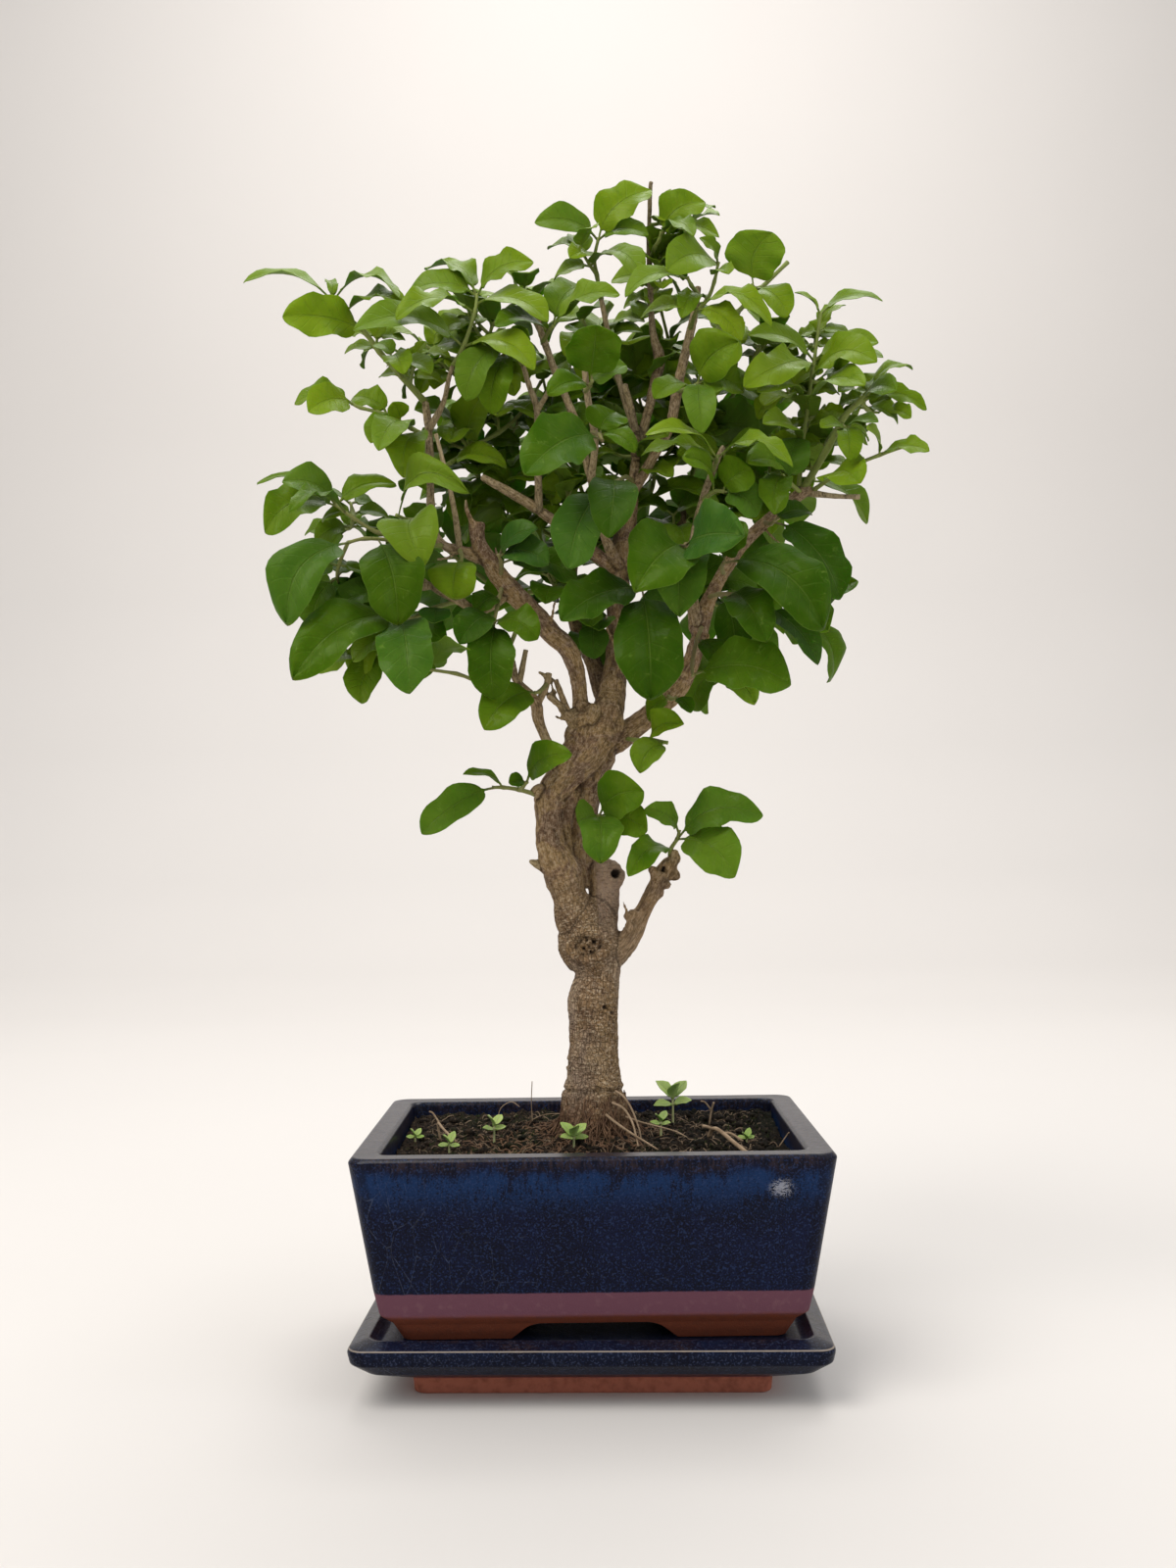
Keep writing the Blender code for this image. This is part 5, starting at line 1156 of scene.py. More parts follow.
# Tones of single shoots, partly the leaves' own colour and partly painted light: lit shoots high and
# outside lighter, shaded ones low and inside darker.
KEY_TONES = {"heart_pair": 0.10, "mid_round": 0.2, "mid_pair": 0.3, "side_shoot": 0.50, "mid_hang": 0.15,
             "right_fan": 0.75, "right_tall": 0.85, "crest_arch": 0.9, "right_inner": 0.7,
             "mid_right": 0.65, "mid_upper_right": 0.65, "crest_wave": 0.6, "right_drape": 0.30,
             "left_drape": 0.45, "left_hang": 0.45, "left_fold": 0.35}


@dataclass
class Blade:
    """A blade on its stalk between its root and its tip, in the place that its solid has."""

    root: Vector
    tip: Vector
    width: float
    face: float
    arch: float
    habit: Habit = Habit.EVEN
    chance: float = 0.5
    luck: Row = (0.5, 0.5, 0.5)

    def __post_init__(self) -> None:
        """Work out the blade's own directions."""
        chord = self.tip - self.root
        self.length = chord.length
        self.along = chord.normalized()
        turn = math.radians(self.face)
        facing = Vector((0.0, -math.sin(turn), math.cos(turn)))
        self.normal = (facing - self.along * facing.dot(self.along)).normalized()
        lift = Vector((0, 0, 1)) - self.along * self.along.z
        self.rise = (lift.normalized() + 0.4 * self.normal).normalized() * self.arch * self.length
        self.across = self.along.cross(self.normal)
        self.half = self.width * FULLNESS / 2

    def spine(self, share: float) -> Vector:
        """Return the point of the arched middle line at a share of the length."""
        return self.root + self.along * self.length * share + self.rise * 4 * share * (1 - share)

    def corner(self, side: float) -> Vector:
        """Return where the solid's blade ends, on one side of its tip."""
        half = STALK_WIDTH / 2 + (self.half - STALK_WIDTH / 2) * TIP_WIDTH
        raised = half * TIP_WIDTH * math.sin(BLADE_FOLD)
        return self.tip + self.across * side * half * math.cos(BLADE_FOLD) + self.normal * raised

    def shoulder(self, side: float, share: float) -> Vector:
        """Return where the solid's blade is widest, on one side."""
        return (self.spine(share) + self.across * side * self.half * math.cos(BLADE_FOLD)
                + self.normal * self.half * math.sin(BLADE_FOLD))

    def point(self, side: float, share: float, skin: float) -> Vector:
        """Return a point of the finished blade.

        Args:
            side: From -1 to 1 across the blade.
            share: From 0 at the root to 1 at the tip.
            skin: 1 on the upper skin, -1 on the lower one.

        Returns:
            The point, in millimetres.
        """
        form = self.habit.value
        t = max(0.0, (share - STALK_SHARE) / (1 - STALK_SHARE))
        profile = (t ** form.belly) * ((1 - t) ** form.taper)
        peak = form.belly / (form.belly + form.taper)
        profile /= (peak ** form.belly) * ((1 - peak) ** form.taper)
        profile *= 1 - POINT_DEPTH * math.exp(-(1 - t) * POINT_KEENNESS)
        bend, turn, ripple = (2 * value - 1 for value in self.luck)
        edge = 1 + 0.06 * math.sin(t * 9 + ripple * 9 + (2.1 if side > 0 else 0.0))
        edge += 0.025 * math.sin(t * 21 + bend * 5 + (1.3 if side > 0 else 0.0))
        half = max(STALK_WIDTH * 0.42 * min(1.0, (1 - t) * 12), self.half * profile * edge)
        reach = abs(side)
        swing = math.tau * (form.waves * t + self.chance * 7 + (0.37 if side > 0 else 0.0))
        middle = self.spine(share) + self.across * self.length * form.sickle * bend * math.sin(math.pi * t)
        middle -= self.normal * self.length * form.droop * (0.5 + self.luck[1]) * t ** 3
        middle.z -= 0.7 * math.sin(math.pi * t)
        lift = reach ** 1.3 * half * math.sin(form.fold) * min(1.0, 4 * t)
        lift += self.half * form.cup * math.sin(math.pi * reach) * min(1.0, 4 * t)
        lift += self.length * form.wave * reach ** 2 * math.sin(swing) * math.sin(math.pi * t) ** 0.7
        thick = (BLADE_SKIN + NECK_SKIN * max(0.0, 1 - t * 7)) * (1 - 0.35 * reach * min(1.0, 6 * t))
        back = self.half * form.lobe * 2.2 * reach ** 2 * max(0.0, 1 - t * 1.6) ** 2
        angle = form.twist * turn * (t - 0.4) * 1.6
        across = self.across * math.cos(angle) + self.normal * math.sin(angle)
        normal = self.normal * math.cos(angle) - self.across * math.sin(angle)
        return (middle + across * side * half * math.cos(form.fold)
                - self.along * back * min(1.0, t * 14) + normal * (lift + skin * thick))


class BladeTemplate:
    """A closed two-skinned grid that is copied and bent for every blade."""

    def __init__(self, columns: int, rows: int) -> None:
        """Build the grid of columns across the blade and rows along it.

        Args:
            columns: Faces across.
            rows: Faces along.
        """
        bm = blank_mesh()
        bmesh.ops.create_grid(bm, x_segments=columns, y_segments=rows, size=1.0)
        flat = bm.verts[:]
        map_layer = bm.loops.layers.uv["blade"]
        for face in bm.faces:
            for loop in face.loops:
                place = loop.vert.co
                loop[map_layer].uv = ((place.x + 1) / 2, self.share(place.y, True))
        lower = bmesh.ops.extrude_face_region(bm, geom=bm.faces[:], use_keep_orig=True)["geom"]
        for vert in (item for item in lower if isinstance(item, BMVert)):
            vert.co.z = -1.0
        for vert in flat:
            vert.co.z = 1.0
        bmesh.ops.recalc_face_normals(bm, faces=bm.faces)
        for edge in bm.edges:
            if abs(edge.verts[0].co.z - edge.verts[1].co.z) < 0.5:
                outer = [abs(vert.co.x) > 0.999 or abs(vert.co.y) > 0.999 for vert in edge.verts]
                rims = any(abs(face.normal.z) < 0.5 for face in edge.link_faces)
                edge.smooth = not (all(outer) and rims)
        self.mesh = bpy.data.meshes.new("blade_template")
        bm.to_mesh(self.mesh)
        bm.free()
        self.places = [(vert.co.x, self.share(vert.co.y), vert.co.z) for vert in self.mesh.vertices]

    @staticmethod
    def share(y: float, blade_only: bool = False) -> float:
        """Return how far along the leaf a row of the grid lies, with rows close at both ends.

        Args:
            y: The row's place on the grid, from -1 to 1.
            blade_only: Whether the stalk counts as 0.

        Returns:
            The share, from 0 to 1.
        """
        t = (y + 1) / 2
        if t < STALK_ROWS:
            return 0.0 if blade_only else STALK_SHARE * t / STALK_ROWS
        along = 0.5 - 0.5 * math.cos(math.pi * (t - STALK_ROWS) / (1 - STALK_ROWS))
        return along if blade_only else STALK_SHARE + (1 - STALK_SHARE) * along

    def add(self, bm: BMesh, blade: Blade, tone: float) -> None:
        """Add one bent blade to a shoot and paint it with its tone.

        Args:
            bm: The shoot's bmesh.
            blade: The blade that gives the form.
            tone: How light it is.
        """
        traits = bm.verts.layers.float_color["traits"]
        skins = bm.verts.layers.float_color["skin"]
        for vert, (side, share, skin) in zip(append_mesh(bm, self.mesh), self.places):
            vert.co = within_reach(blade.point(side, share, skin))
            vert[traits] = (tone, blade.chance, 1.0 if share > STALK_SHARE * 0.8 else 0.3, 1.0)
            vert[skins] = (1.0 if skin < 0 else 0.0, 0.0, 0.0, 1.0)


def within_reach(point: Vector) -> Vector:
    """Return a point drawn in where a curled edge would pass the solids' outermost ones.

    Args:
        point: A point of a blade, which is moved.

    Returns:
        The same point.
    """
    if point.y > LAST_Y:
        point.y = LAST_Y + (point.y - LAST_Y) * SIDE_SHARE
    if point.x < FIRST_X:
        point.x = FIRST_X + (point.x - FIRST_X) * SIDE_SHARE
    if point.z > LAST_Z:
        point.z = LAST_Z + (point.z - LAST_Z) * TOP_SHARE
    return point


def course_point(course: Sequence[Row], place: float) -> Vector:
    """Return the point at a place, in steps, along a course."""
    index = min(int(place), len(course) - 2)
    return Vector(course[index]).lerp(Vector(course[index + 1]), place - index)


def leaf_root(course: Sequence[Row], place: float, tip: Row) -> Vector:
    """Return where a leaf's stalk starts: inside its twig, on the side that the tip lies.

    Args:
        course: The twig's course.
        place: Where on it the leaf sits, in steps.
        tip: The leaf's tip.

    Returns:
        The start of the stalk.
    """
    point = course_point(course, place)
    end = Vector(course[-1])
    if (end - point).length < 1.0:
        point = end + (Vector(course[-2]) - end).normalized()
    return point + (Vector(tip) - point).normalized() * STALK_STEP


def leaf_pairs(course: Sequence[Row], first: int, length: float,
               rule: random.Random) -> tuple[Row, ...]:
    """Return leaves in opposite pairs from a course's first leafy node, each square to the last.

    Args:
        course: The twig's course.
        first: Its first node with leaves.
        length: The usual leaf's length.
        rule: Where the chances come from.

    Returns:
        A row for each leaf, as a twig holds them.
    """
    leaves = []
    for node in range(first, len(course)):
        point = Vector(course[node])
        heading = (point - Vector(course[node - 1])).normalized()
        level = heading.cross(Vector((0, 0, 1))).normalized()
        upright = level.cross(heading)
        spread = level if node % 2 else (upright * 0.8 + level * 0.45)
        for side in (-1, 1):
            reach = length * rule.uniform(0.85, 1.1)
            way = spread * side + heading * rule.uniform(0.2, 0.6)
            way.z -= rule.uniform(0.1, 0.4)
            tip = point + way.normalized() * reach
            tip.y = min(tip.y, BACK_LIMIT)
            face = rule.uniform(30, 60) * (-1 if point.y > BACK_FROM else 1)
            leaves.append((node, *tip, reach * rule.uniform(0.58, 0.68), face))
    return tuple(leaves)


def back_bough(name: str, tone: str, length: float, courses: tuple) -> Shoot:
    """Return a bough behind the front shoots as a shoot with a twig for each course.

    Args:
        name: Its name.
        tone: Its tone.
        length: Its usual leaf's length.
        courses: Its twigs.

    Returns:
        The bough, leaved by its seeded rule.
    """
    rule = random.Random(f"{SEED} {name}")
    twigs = tuple(Twig(1.2, 0.7, course, leaf_pairs(course, 2 if order else 1, length, rule))
                  for order, course in enumerate(courses))
    return Shoot(name, tone, twigs)


@dataclass
class Foliage:
    """All leafy shoots, each a piece that stands for its solid."""

    finishes: dict[str, Material]
    # Each tone is partly the leaves' own colour and partly painted light: lime for lit shoots high in the
    # crown, dark for shaded ones low down and inside.
    tones: dict[str, float] = field(default_factory=lambda: {
        "lime": 0.74, "mid": 0.40, "dark": 0.22, "yellow": 0.80})
    middles: list[Vector] = field(default_factory=list)
    large_from: float = 13.0
    match_limit: float = 2.2
    steps: int = 4
    knot: float = 0.22

    def __post_init__(self) -> None:
        """Make the two grids that the blades are bent from."""
        self.large = BladeTemplate(10, 20)
        self.small = BladeTemplate(8, 14)

    def solid_tree(self, name: str) -> KDTree:
        """Return the solid's corners, in millimetres, for looking up the nearest."""
        return look_up(vert.co / MM for vert in frame_node(name).data.vertices)

    def seat(self, tree: KDTree, root: Vector, row: Row) -> Blade | None:
        """Return the blade as the solid holds it: turned, and moved in depth, as it had to be.

        Args:
            tree: The solid's corners.
            root: Where the stalk starts.
            row: The leaf's row of the table.

        Returns:
            The blade, or None where the solid has none.
        """
        _, x, y, z, width, face, *arch = row
        best, found = self.match_limit, None
        for turn in TURNS:
            for shift in SHIFTS:
                blade = Blade(root, Vector((x, y + shift, z)), width, face + turn,
                              arch[0] if arch else USUAL_ARCH)
                misses = [tree.find(blade.corner(side))[2] for side in (-1, 1)]
                misses += [min(tree.find(blade.shoulder(side, share))[2] for share in (0.36, 0.5))
                           for side in (-1, 1)]
                miss = sum(misses) / len(misses)
                if miss < best:
                    best, found = miss, blade
        return found

    def build_shoot(self, shoot: Shoot) -> None:
        """Build one shoot: its twigs as smooth tubes and its leaves as bent blades.

        Args:
            shoot: The shoot's twigs and leaves.
        """
        rule = random.Random(f"{SEED} {shoot.name} looks")
        tree = self.solid_tree(shoot.name)
        bm = blank_mesh()
        usual = self.tones[shoot.tone] + (BACK_TONE if shoot.name.startswith("back") else 0.0)
        tone = KEY_TONES.get(shoot.name, usual)
        missing = 0
        for twig in shoot.twigs:
            points = smooth_course(twig.course, self.steps)
            radii = tapered(twig.start_radius, twig.end_radius, len(points))
            radii = [radius + (0.0 if step % self.steps else self.knot)
                     for step, radius in enumerate(radii)]
            add_tube(bm, points, radii, 2, (min(1.0, tone + TWIG_TONE), rule.random(), 0.0))
            for row in twig.leaves:
                blade = self.seat(tree, leaf_root(twig.course, row[0], row[1:4]), row)
                chance = rule.random()
                drift = rule.uniform(-0.2, 0.2)
                luck = (rule.random(), rule.random(), rule.random())
                if blade is None:
                    missing += 1
                    continue
                blade.chance = chance
                blade.luck = luck
                blade.habit = KEY_HABITS.get(shoot.name) or self.habit(blade, shoot.tone, chance)
                self.middles.append(blade.root.lerp(blade.tip, 0.5))
                template = self.large if blade.width > self.large_from else self.small
                template.add(bm, blade, clamp(tone + drift))
        if missing:
            log.info("%s: %d leaves without a solid", shoot.name, missing)
        slot = "leaf_" + shoot.tone
        make_piece(shoot.name + "_looks", bm, self.finishes[slot], shoot.name)

    @staticmethod
    def habit(blade: Blade, tone: str, chance: float) -> Habit:
        """Return a blade's habit from its size, its tone and its chance.

        Args:
            blade: The blade.
            tone: Its shoot's tone.
            chance: Its chance, from 0 to 1.

        Returns:
            Its habit.
        """
        if blade.width > WIDE_LEAF:
            return Habit.CUPPED if chance < 0.4 else Habit.WAVY
        if tone == "lime":
            return Habit.WAVY if chance < 0.5 else Habit.EVEN
        return (Habit.EVEN, Habit.WAVY, Habit.CUPPED, Habit.EVEN)[int(chance * 4) % 4]

    def build(self) -> None:
        """Build every shoot."""
        for shoot in SHOOTS + tuple(back_bough(*row) for row in BACK_BOUGHS):
            self.build_shoot(shoot)


class Clump(NamedTuple):
    """A place in the crown that small sprigs fill: its middle, reach, leaf length and count."""

    middle: Row
    reach: float
    length: float
    sprigs: int
    tone: str


CLUMPS = tuple(Clump(row[:3], *row[3:]) for row in (
    (-85, -8, 460, 13, 15, 2, "lime"), (-68, -4, 443, 12, 17, 2, "lime"),
    (-16, 6, 492, 15, 18, 3, "lime"), (44, 16, 512, 10, 18, 2, "lime"), (122, 2, 443, 15, 17, 3, "lime"),
    (126, 10, 422, 14, 17, 2, "lime"), (116, 5, 464, 9, 15, 2, "lime"),
    (-104, -12, 374, 11, 18, 3, "mid"), (-86, 2, 368, 12, 20, 2, "dark"), (16, 20, 413, 14, 22, 3, "mid"),
    (39, 30, 390, 16, 24, 3, "mid"), (55, 20, 355, 12, 24, 2, "dark"), (-17, 30, 416, 18, 24, 3, "dark"),
    (-45, 20, 428, 16, 22, 3, "mid"), (76, 20, 408, 16, 22, 3, "mid"), (94, 10, 430, 14, 20, 3, "lime"),
    (50, 30, 445, 16, 22, 3, "mid"), (2, 30, 455, 16, 22, 3, "mid"), (27, 33, 480, 14, 20, 3, "lime"),
    (-53, 15, 472, 15, 20, 3, "lime"), (78, 25, 470, 14, 20, 3, "lime"), (-30, -4, 452, 12, 18, 2, "mid"),
    (10, 18, 338, 9, 20, 1, "dark"), (-20, 10, 352, 12, 22, 2, "dark"), (-14, 8, 394, 9, 22, 3, "mid"),
    (5, 8, 330, 6, 20, 2, "dark"), (-104, -14, 352, 8, 24, 2, "dark"), (-98, -10, 322, 8, 26, 2, "mid"),
    (-74, 6, 468, 9, 18, 2, "lime"), (60, 4, 302, 6, 22, 1, "mid"), (142, 0, 425, 8, 17, 2, "lime"),
    (46, 4, 520, 5, 17, 1, "lime"), (36, 10, 494, 10, 19, 3, "lime"), (-38, 30, 400, 14, 22, 3, "mid"),
    (20, 34, 430, 14, 22, 3, "mid"), (60, 30, 425, 14, 22, 3, "mid"), (-70, 20, 410, 12, 20, 3, "mid"),
    (0, 30, 375, 14, 24, 3, "mid"),
))


@dataclass
class Sprigs:
    """Small sprigs that fill the crown between the shoots, each grown from the nearest wood.

    The solids leave them out to stay light.
    """

    foliage: Foliage
    wood_from: float = 330.0
    apart: float = 7.0
    shortest: float = 9.0
    back_room: float = 12.0

    def wood_tree(self) -> KDTree:
        """Return a tree of the points along all limbs and twigs of the crown.

        Returns:
            The tree.
        """
        courses = list(LIMBS.values()) + [twig.course for shoot in SHOOTS for twig in shoot.twigs]
        courses += [course for bough in BACK_BOUGHS for course in bough[3]]
        points = [Vector(entry[:3]) for course in courses for entry in smooth_course(course, 3)
                  if entry[2] > self.wood_from]
        return look_up(points)

    def course(self, clump: Clump, tree: KDTree, rule: random.Random) -> tuple[Row, ...] | None:
        """Return a sprig's course from the nearest wood into the clump, if it is long enough.

        Args:
            clump: The place to fill.
            tree: The wood's points.
            rule: Where the chances come from.

        Returns:
            The course, or None where the wood is too near.
        """
        offset = Vector([rule.uniform(-1, 1) for _ in range(3)]) * clump.reach
        end = Vector(clump.middle) + offset
        end.y = min(end.y, LAST_Y - self.back_room)
        start = tree.find(end - Vector((0, 0, clump.reach * 0.8)))[0]
        run = end - start
        if run.length < self.shortest:
            return None
        bow = Vector((run.y, -run.x, 0)) * rule.uniform(-0.12, 0.12) - Vector((0, 0, run.length * 0.08))
        return tuple(tuple(start + run * t + bow * math.sin(math.pi * t)) for t in (0, 0.4, 0.72, 1.0))

    def build(self) -> None:
        """Build the sprigs of each tone as one piece."""
        tree = self.wood_tree()
        for tone in ("lime", "mid", "dark"):
            bm = blank_mesh()
            for number, clump in enumerate(CLUMPS):
                rule = random.Random(f"{SEED} clump {number}")
                for _ in range(clump.sprigs if clump.tone == tone else 0):
                    course = self.course(clump, tree, rule)
                    if course:
                        self.add_sprig(bm, course, clump, rule)
            make_piece("sprigs_" + tone, bm, self.foliage.finishes["leaf_" + tone])

    def add_sprig(self, bm: BMesh, course: tuple[Row, ...], clump: Clump,
                  rule: random.Random) -> None:
        """Add one sprig with those of its leaf pairs that have room.

        Args:
            bm: The bmesh of all sprigs of a tone.
            course: The sprig's course.
            clump: Its clump.
            rule: Where the chances come from.
        """
        tone = self.foliage.tones[clump.tone] + SPRIG_TONE
        points = smooth_course(course, 3)
        add_tube(bm, points, tapered(1.0, 0.6, len(points)), 1,
                 (min(1.0, tone + TWIG_TONE), rule.random(), 0.0))
        for row in leaf_pairs(course, 1, clump.length, rule):
            root = leaf_root(course, row[0], row[1:4])
            blade = Blade(root, Vector(row[1:4]), row[4], row[5], USUAL_ARCH)
            middle = blade.root.lerp(blade.tip, 0.5)
            if min((middle - other).length for other in self.foliage.middles) < self.apart:
                continue
            self.foliage.middles.append(middle)
            blade.chance = rule.random()
            blade.luck = (rule.random(), rule.random(), rule.random())
            blade.habit = self.foliage.habit(blade, clump.tone, blade.chance)
            self.foliage.small.add(bm, blade, clamp(tone + rule.uniform(-0.18, 0.18)))


# Wood

NEAR_COUNT = 14               # how many points of the limbs' middle lines are looked at
CREASE_WITHIN = 2.4           # how near a second limb has to be for a crease, and how wide that is
CREASE_REACH = 1.1


class Scar(NamedTuple):
    """A pruning scar or hole on the wood's front: its place, radius, depth and rim."""

    x: float
    z: float
    radius: float
    depth: float
    rim: float


class AxisPoint(NamedTuple):
    """A point of a limb's middle line: the limb's number, radius, heading and run so far."""

    limb: int
    place: Vector
    radius: float
    heading: Vector
    run: float

    def course(self, point: Vector) -> Row:
        """Return a skin point's place around and along the limb.

        Args:
            point: The skin point.

        Returns:
            Two measures around the limb and one along it.
        """
        offset = point - self.place
        ahead = offset.dot(self.heading)
        turn = self.heading.rotation_difference(Vector((0, 0, 1)))
        around = turn @ (offset - self.heading * ahead)
        return (around.x, around.y, self.run + ahead)


@dataclass
class Wood:
    """Trunk, limbs, stubs and bare twigs, grown together, with the root flare below.

    A knob is (x, y, z, radius), and a spur three points and a radius. The heights at the end say
    below what the trunk's lumps are low, from where the limbs crease where they meet, from where
    the stems are furrowed, up to where the root flare reaches, and where the ledge over it runs.
    """

    finish: Material
    voxel: float = 0.9
    thick_from: float = 2.3
    thickest: float = 11.0
    roots: int = 15
    root_start: Row = (104.0, 117.0)
    root_reach: Row = (17.0, 26.0)
    root_end: float = 94.0
    flare_radius: float = 11.8
    collar: Row = (-0.9, 183.5)
    knobs: tuple[Row, ...] = (
        (36.5, -5.5, 219.5, 4.0), (31.6, -6.0, 214.0, 4.3), (38.8, -4.5, 214.5, 3.0),
        (31.0, -5.5, 207.0, 3.3), (39.6, -5.0, 222.0, 2.6), (28.6, -7.5, 217.2, 2.4),
        (34.5, -9.0, 210.5, 2.6), (19.4, -6.0, 197.5, 2.2), (39.0, -6.0, 224.5, 2.2),
        (34.5, -7.5, 219.5, 2.6), (25.5, -6.0, 201.0, 1.9), (29.0, -5.0, 203.0, 2.0),
        (18.0, -6.0, 191.5, 2.5), (16.8, -7.5, 196.5, 1.8), (7.6, 3.6, 215.4, 7.4),
        (6.4, 2.6, 218.6, 5.2), (9.6, 2.4, 213.4, 6.6),
        (-12.0, -9.0, 247.0, 2.4), (-20.5, -7.0, 250.0, 2.2), (-24.0, -9.5, 253.5, 1.8),
        (8.0, -9.0, 274.0, 2.2), (-12.0, -10.0, 268.0, 2.4), (3.5, -12.5, 291.0, 1.9),
        (-7.0, -10.0, 281.0, 2.2),
        (-4.5, -7.0, 285.5, 5.0), (-1.0, -7.5, 286.0, 5.0), (-5.5, -6.5, 288.5, 3.6),
        (-2.6, -5.6, 291.5, 4.0),
        (2.0, -5.0, 287.0, 6.8), (6.0, -5.5, 284.5, 7.0), (9.0, -2.5, 288.0, 7.8), (10.2, 1.0, 294.0, 7.0),
        (12.0, 5.0, 301.0, 6.4), (8.0, -4.5, 279.5, 7.6), (12.0, -1.5, 281.5, 6.4),
        (-16.2, -13.4, 295.6, 2.1), (-13.8, -12.2, 293.4, 2.0), (-11.4, -10.6, 290.4, 2.2),
        (-9.0, -8.4, 287.6, 3.0), (-18.2, -15.2, 303.9, 1.7), (-16.0, -15.0, 303.0, 1.8),
        (-19.0, -16.2, 298.6, 1.9), (-22.6, -17.8, 292.6, 3.0),
    )
    spurs: tuple[tuple[Row, ...], ...] = (
        ((17.5, -7, 192), (16.5, -9, 199), (15, -9, 203.5), (0.9,)),
        ((-48, -24, 369), (-52, -26, 377), (-53, -27, 383), (1.1,)),
        ((-40, -20, 349), (-39, -25, 356), (-40, -27, 361), (0.9,)),
        ((-56, -22, 361), (-61, -25, 357), (-66, -27, 356), (0.9,)),
        ((-17, -12, 326), (-15, -17, 332), (-14, -19, 338), (0.9,)),
        ((14, 8, 321), (10, 0, 327), (9, -3, 334), (1.0,)),
        ((48, -4, 312), (53, -8, 317), (56, -9, 324), (0.9,)),
        ((81, -7, 374), (84, -12, 368), (88, -13, 364), (0.8,)),
        ((-9, -8, 286), (-12, -9, 286), (-15, -10, 287.5), (0.9,)),
        ((-16, -14, 303), (-19, -15.5, 305.5), (-22, -16, 306.5), (1.0,)),
        ((-16, -13.5, 295), (-18.5, -15, 297), (-19.5, -15, 300), (0.9,)),
        ((-13.5, -12, 297), (-15.5, -13, 299.5), (-16, -14, 301.5), (0.8,)),
        ((-11, -9.5, 291), (-9.5, -12, 293), (-9.5, -13, 295), (0.8,)),
    )
    scars: tuple[Scar, ...] = tuple(Scar(*row) for row in (
        (2.0, 185.4, 1.3, 1.7, 0.5), (-3.0, 182.4, 1.2, 1.6, 0.4), (0.4, 180.9, 0.9, 1.4, 0.3),
        (-1.6, 186.2, 1.0, 1.5, 0.3), (-0.4, 183.4, 0.8, 1.3, 0.3), (6.7, 155.9, 1.5, 1.4, 0.5),
        (9.6, 153.2, 1.2, 1.2, 0.4), (12.2, 215.8, 2.5, 3.6, 0.5), (33.4, 217.4, 1.5, 2.2, 0.3),
        (-5.0, 215.0, 1.2, 0.8, 0.4), (-10.5, 130.0, 1.6, 0.7, 0.6),
    ))
    calm_below: float = 168.0
    fork_from: float = 188.0
    upper_from: float = 196.0
    flare_top: float = 118.0
    ledge: float = 118.5

    def axis_tree(self) -> tuple[KDTree, list[AxisPoint]]:
        """Return points along every limb's middle line, to look up the nearest.

        Returns:
            A tree of the points, and the points in its order.
        """
        axis = []
        for number, limb in enumerate(LIMBS.values()):
            rows = smooth_course(limb, 3)
            run = number * 37.0
            for index, row in enumerate(rows):
                place = Vector(row[:3])
                before, after = rows[max(0, index - 1)], rows[min(len(rows) - 1, index + 1)]
                heading = (Vector(after[:3]) - Vector(before[:3])).normalized()
                run += (place - Vector(before[:3])).length
                axis.append(AxisPoint(number, place, row[3], heading, run))
        return look_up(point.place for point in axis), axis

    @staticmethod
    def nearest(point: Vector, tree: KDTree, axis: list[AxisPoint]) -> tuple[AxisPoint, float]:
        """Return the limb point that a skin point belongs to, and how deep in a crease it lies.

        Args:
            point: The skin point.
            tree: The limbs' points.
            axis: What each of them is.

        Returns:
            The limb point, and the crease from 0 to 1.
        """
        closest = {}
        for _, index, away in tree.find_n(point, NEAR_COUNT):
            spot = axis[index]
            gap = away - spot.radius
            if gap < closest.get(spot.limb, (99.0,))[0]:
                closest[spot.limb] = (gap, index)
        order = sorted(closest.values())
        crease = 0.0
        if len(order) > 1 and order[1][0] < CREASE_WITHIN:
            crease = bell(order[1][0] - order[0][0], CREASE_REACH)
        return axis[order[0][1]], crease

    def body(self) -> BMesh:
        """Return the thick limbs merged to one skin by a fine remesh, with the joints smoothed.

        Returns:
            The skin, as yet without relief.
        """
        merged = bmesh.new()
        limbs = [smooth_course(limb, 4) for limb in LIMBS.values()
                 if max(row[3] for row in limb) > self.thick_from]
        tubes = [(rows, [row[3] for row in rows], 6) for rows in limbs]
        tubes += [(points, radii, 2) for points, radii in self.root_courses()]
        tubes += [(smooth_course(points, 3), [radius * (1.25 - 0.4 * step / 6) for step in range(7)], 2)
                  for *points, (radius,) in self.spurs]
        for tube in tubes:
            mesh = tube_mesh(*tube)
            merged.from_mesh(mesh)
            bpy.data.meshes.remove(mesh)
        for x, y, z, radius in self.knobs + tuple(self.chance_knobs()):
            ball = bmesh.ops.create_icosphere(merged, subdivisions=2, radius=radius)["verts"]
            bmesh.ops.translate(merged, vec=(x, y, z), verts=ball)
        obj = loose_object("wood_body", merged)
        remesh = obj.modifiers.new("skin", "REMESH")
        remesh.mode = "VOXEL"
        remesh.voxel_size = self.voxel
        bm = evaluated(obj)
        axes = {"use_axis_" + axis: True for axis in "xyz"}
        for _ in range(3):
            bmesh.ops.smooth_vert(bm, verts=bm.verts, factor=0.5, **axes)
        return bm

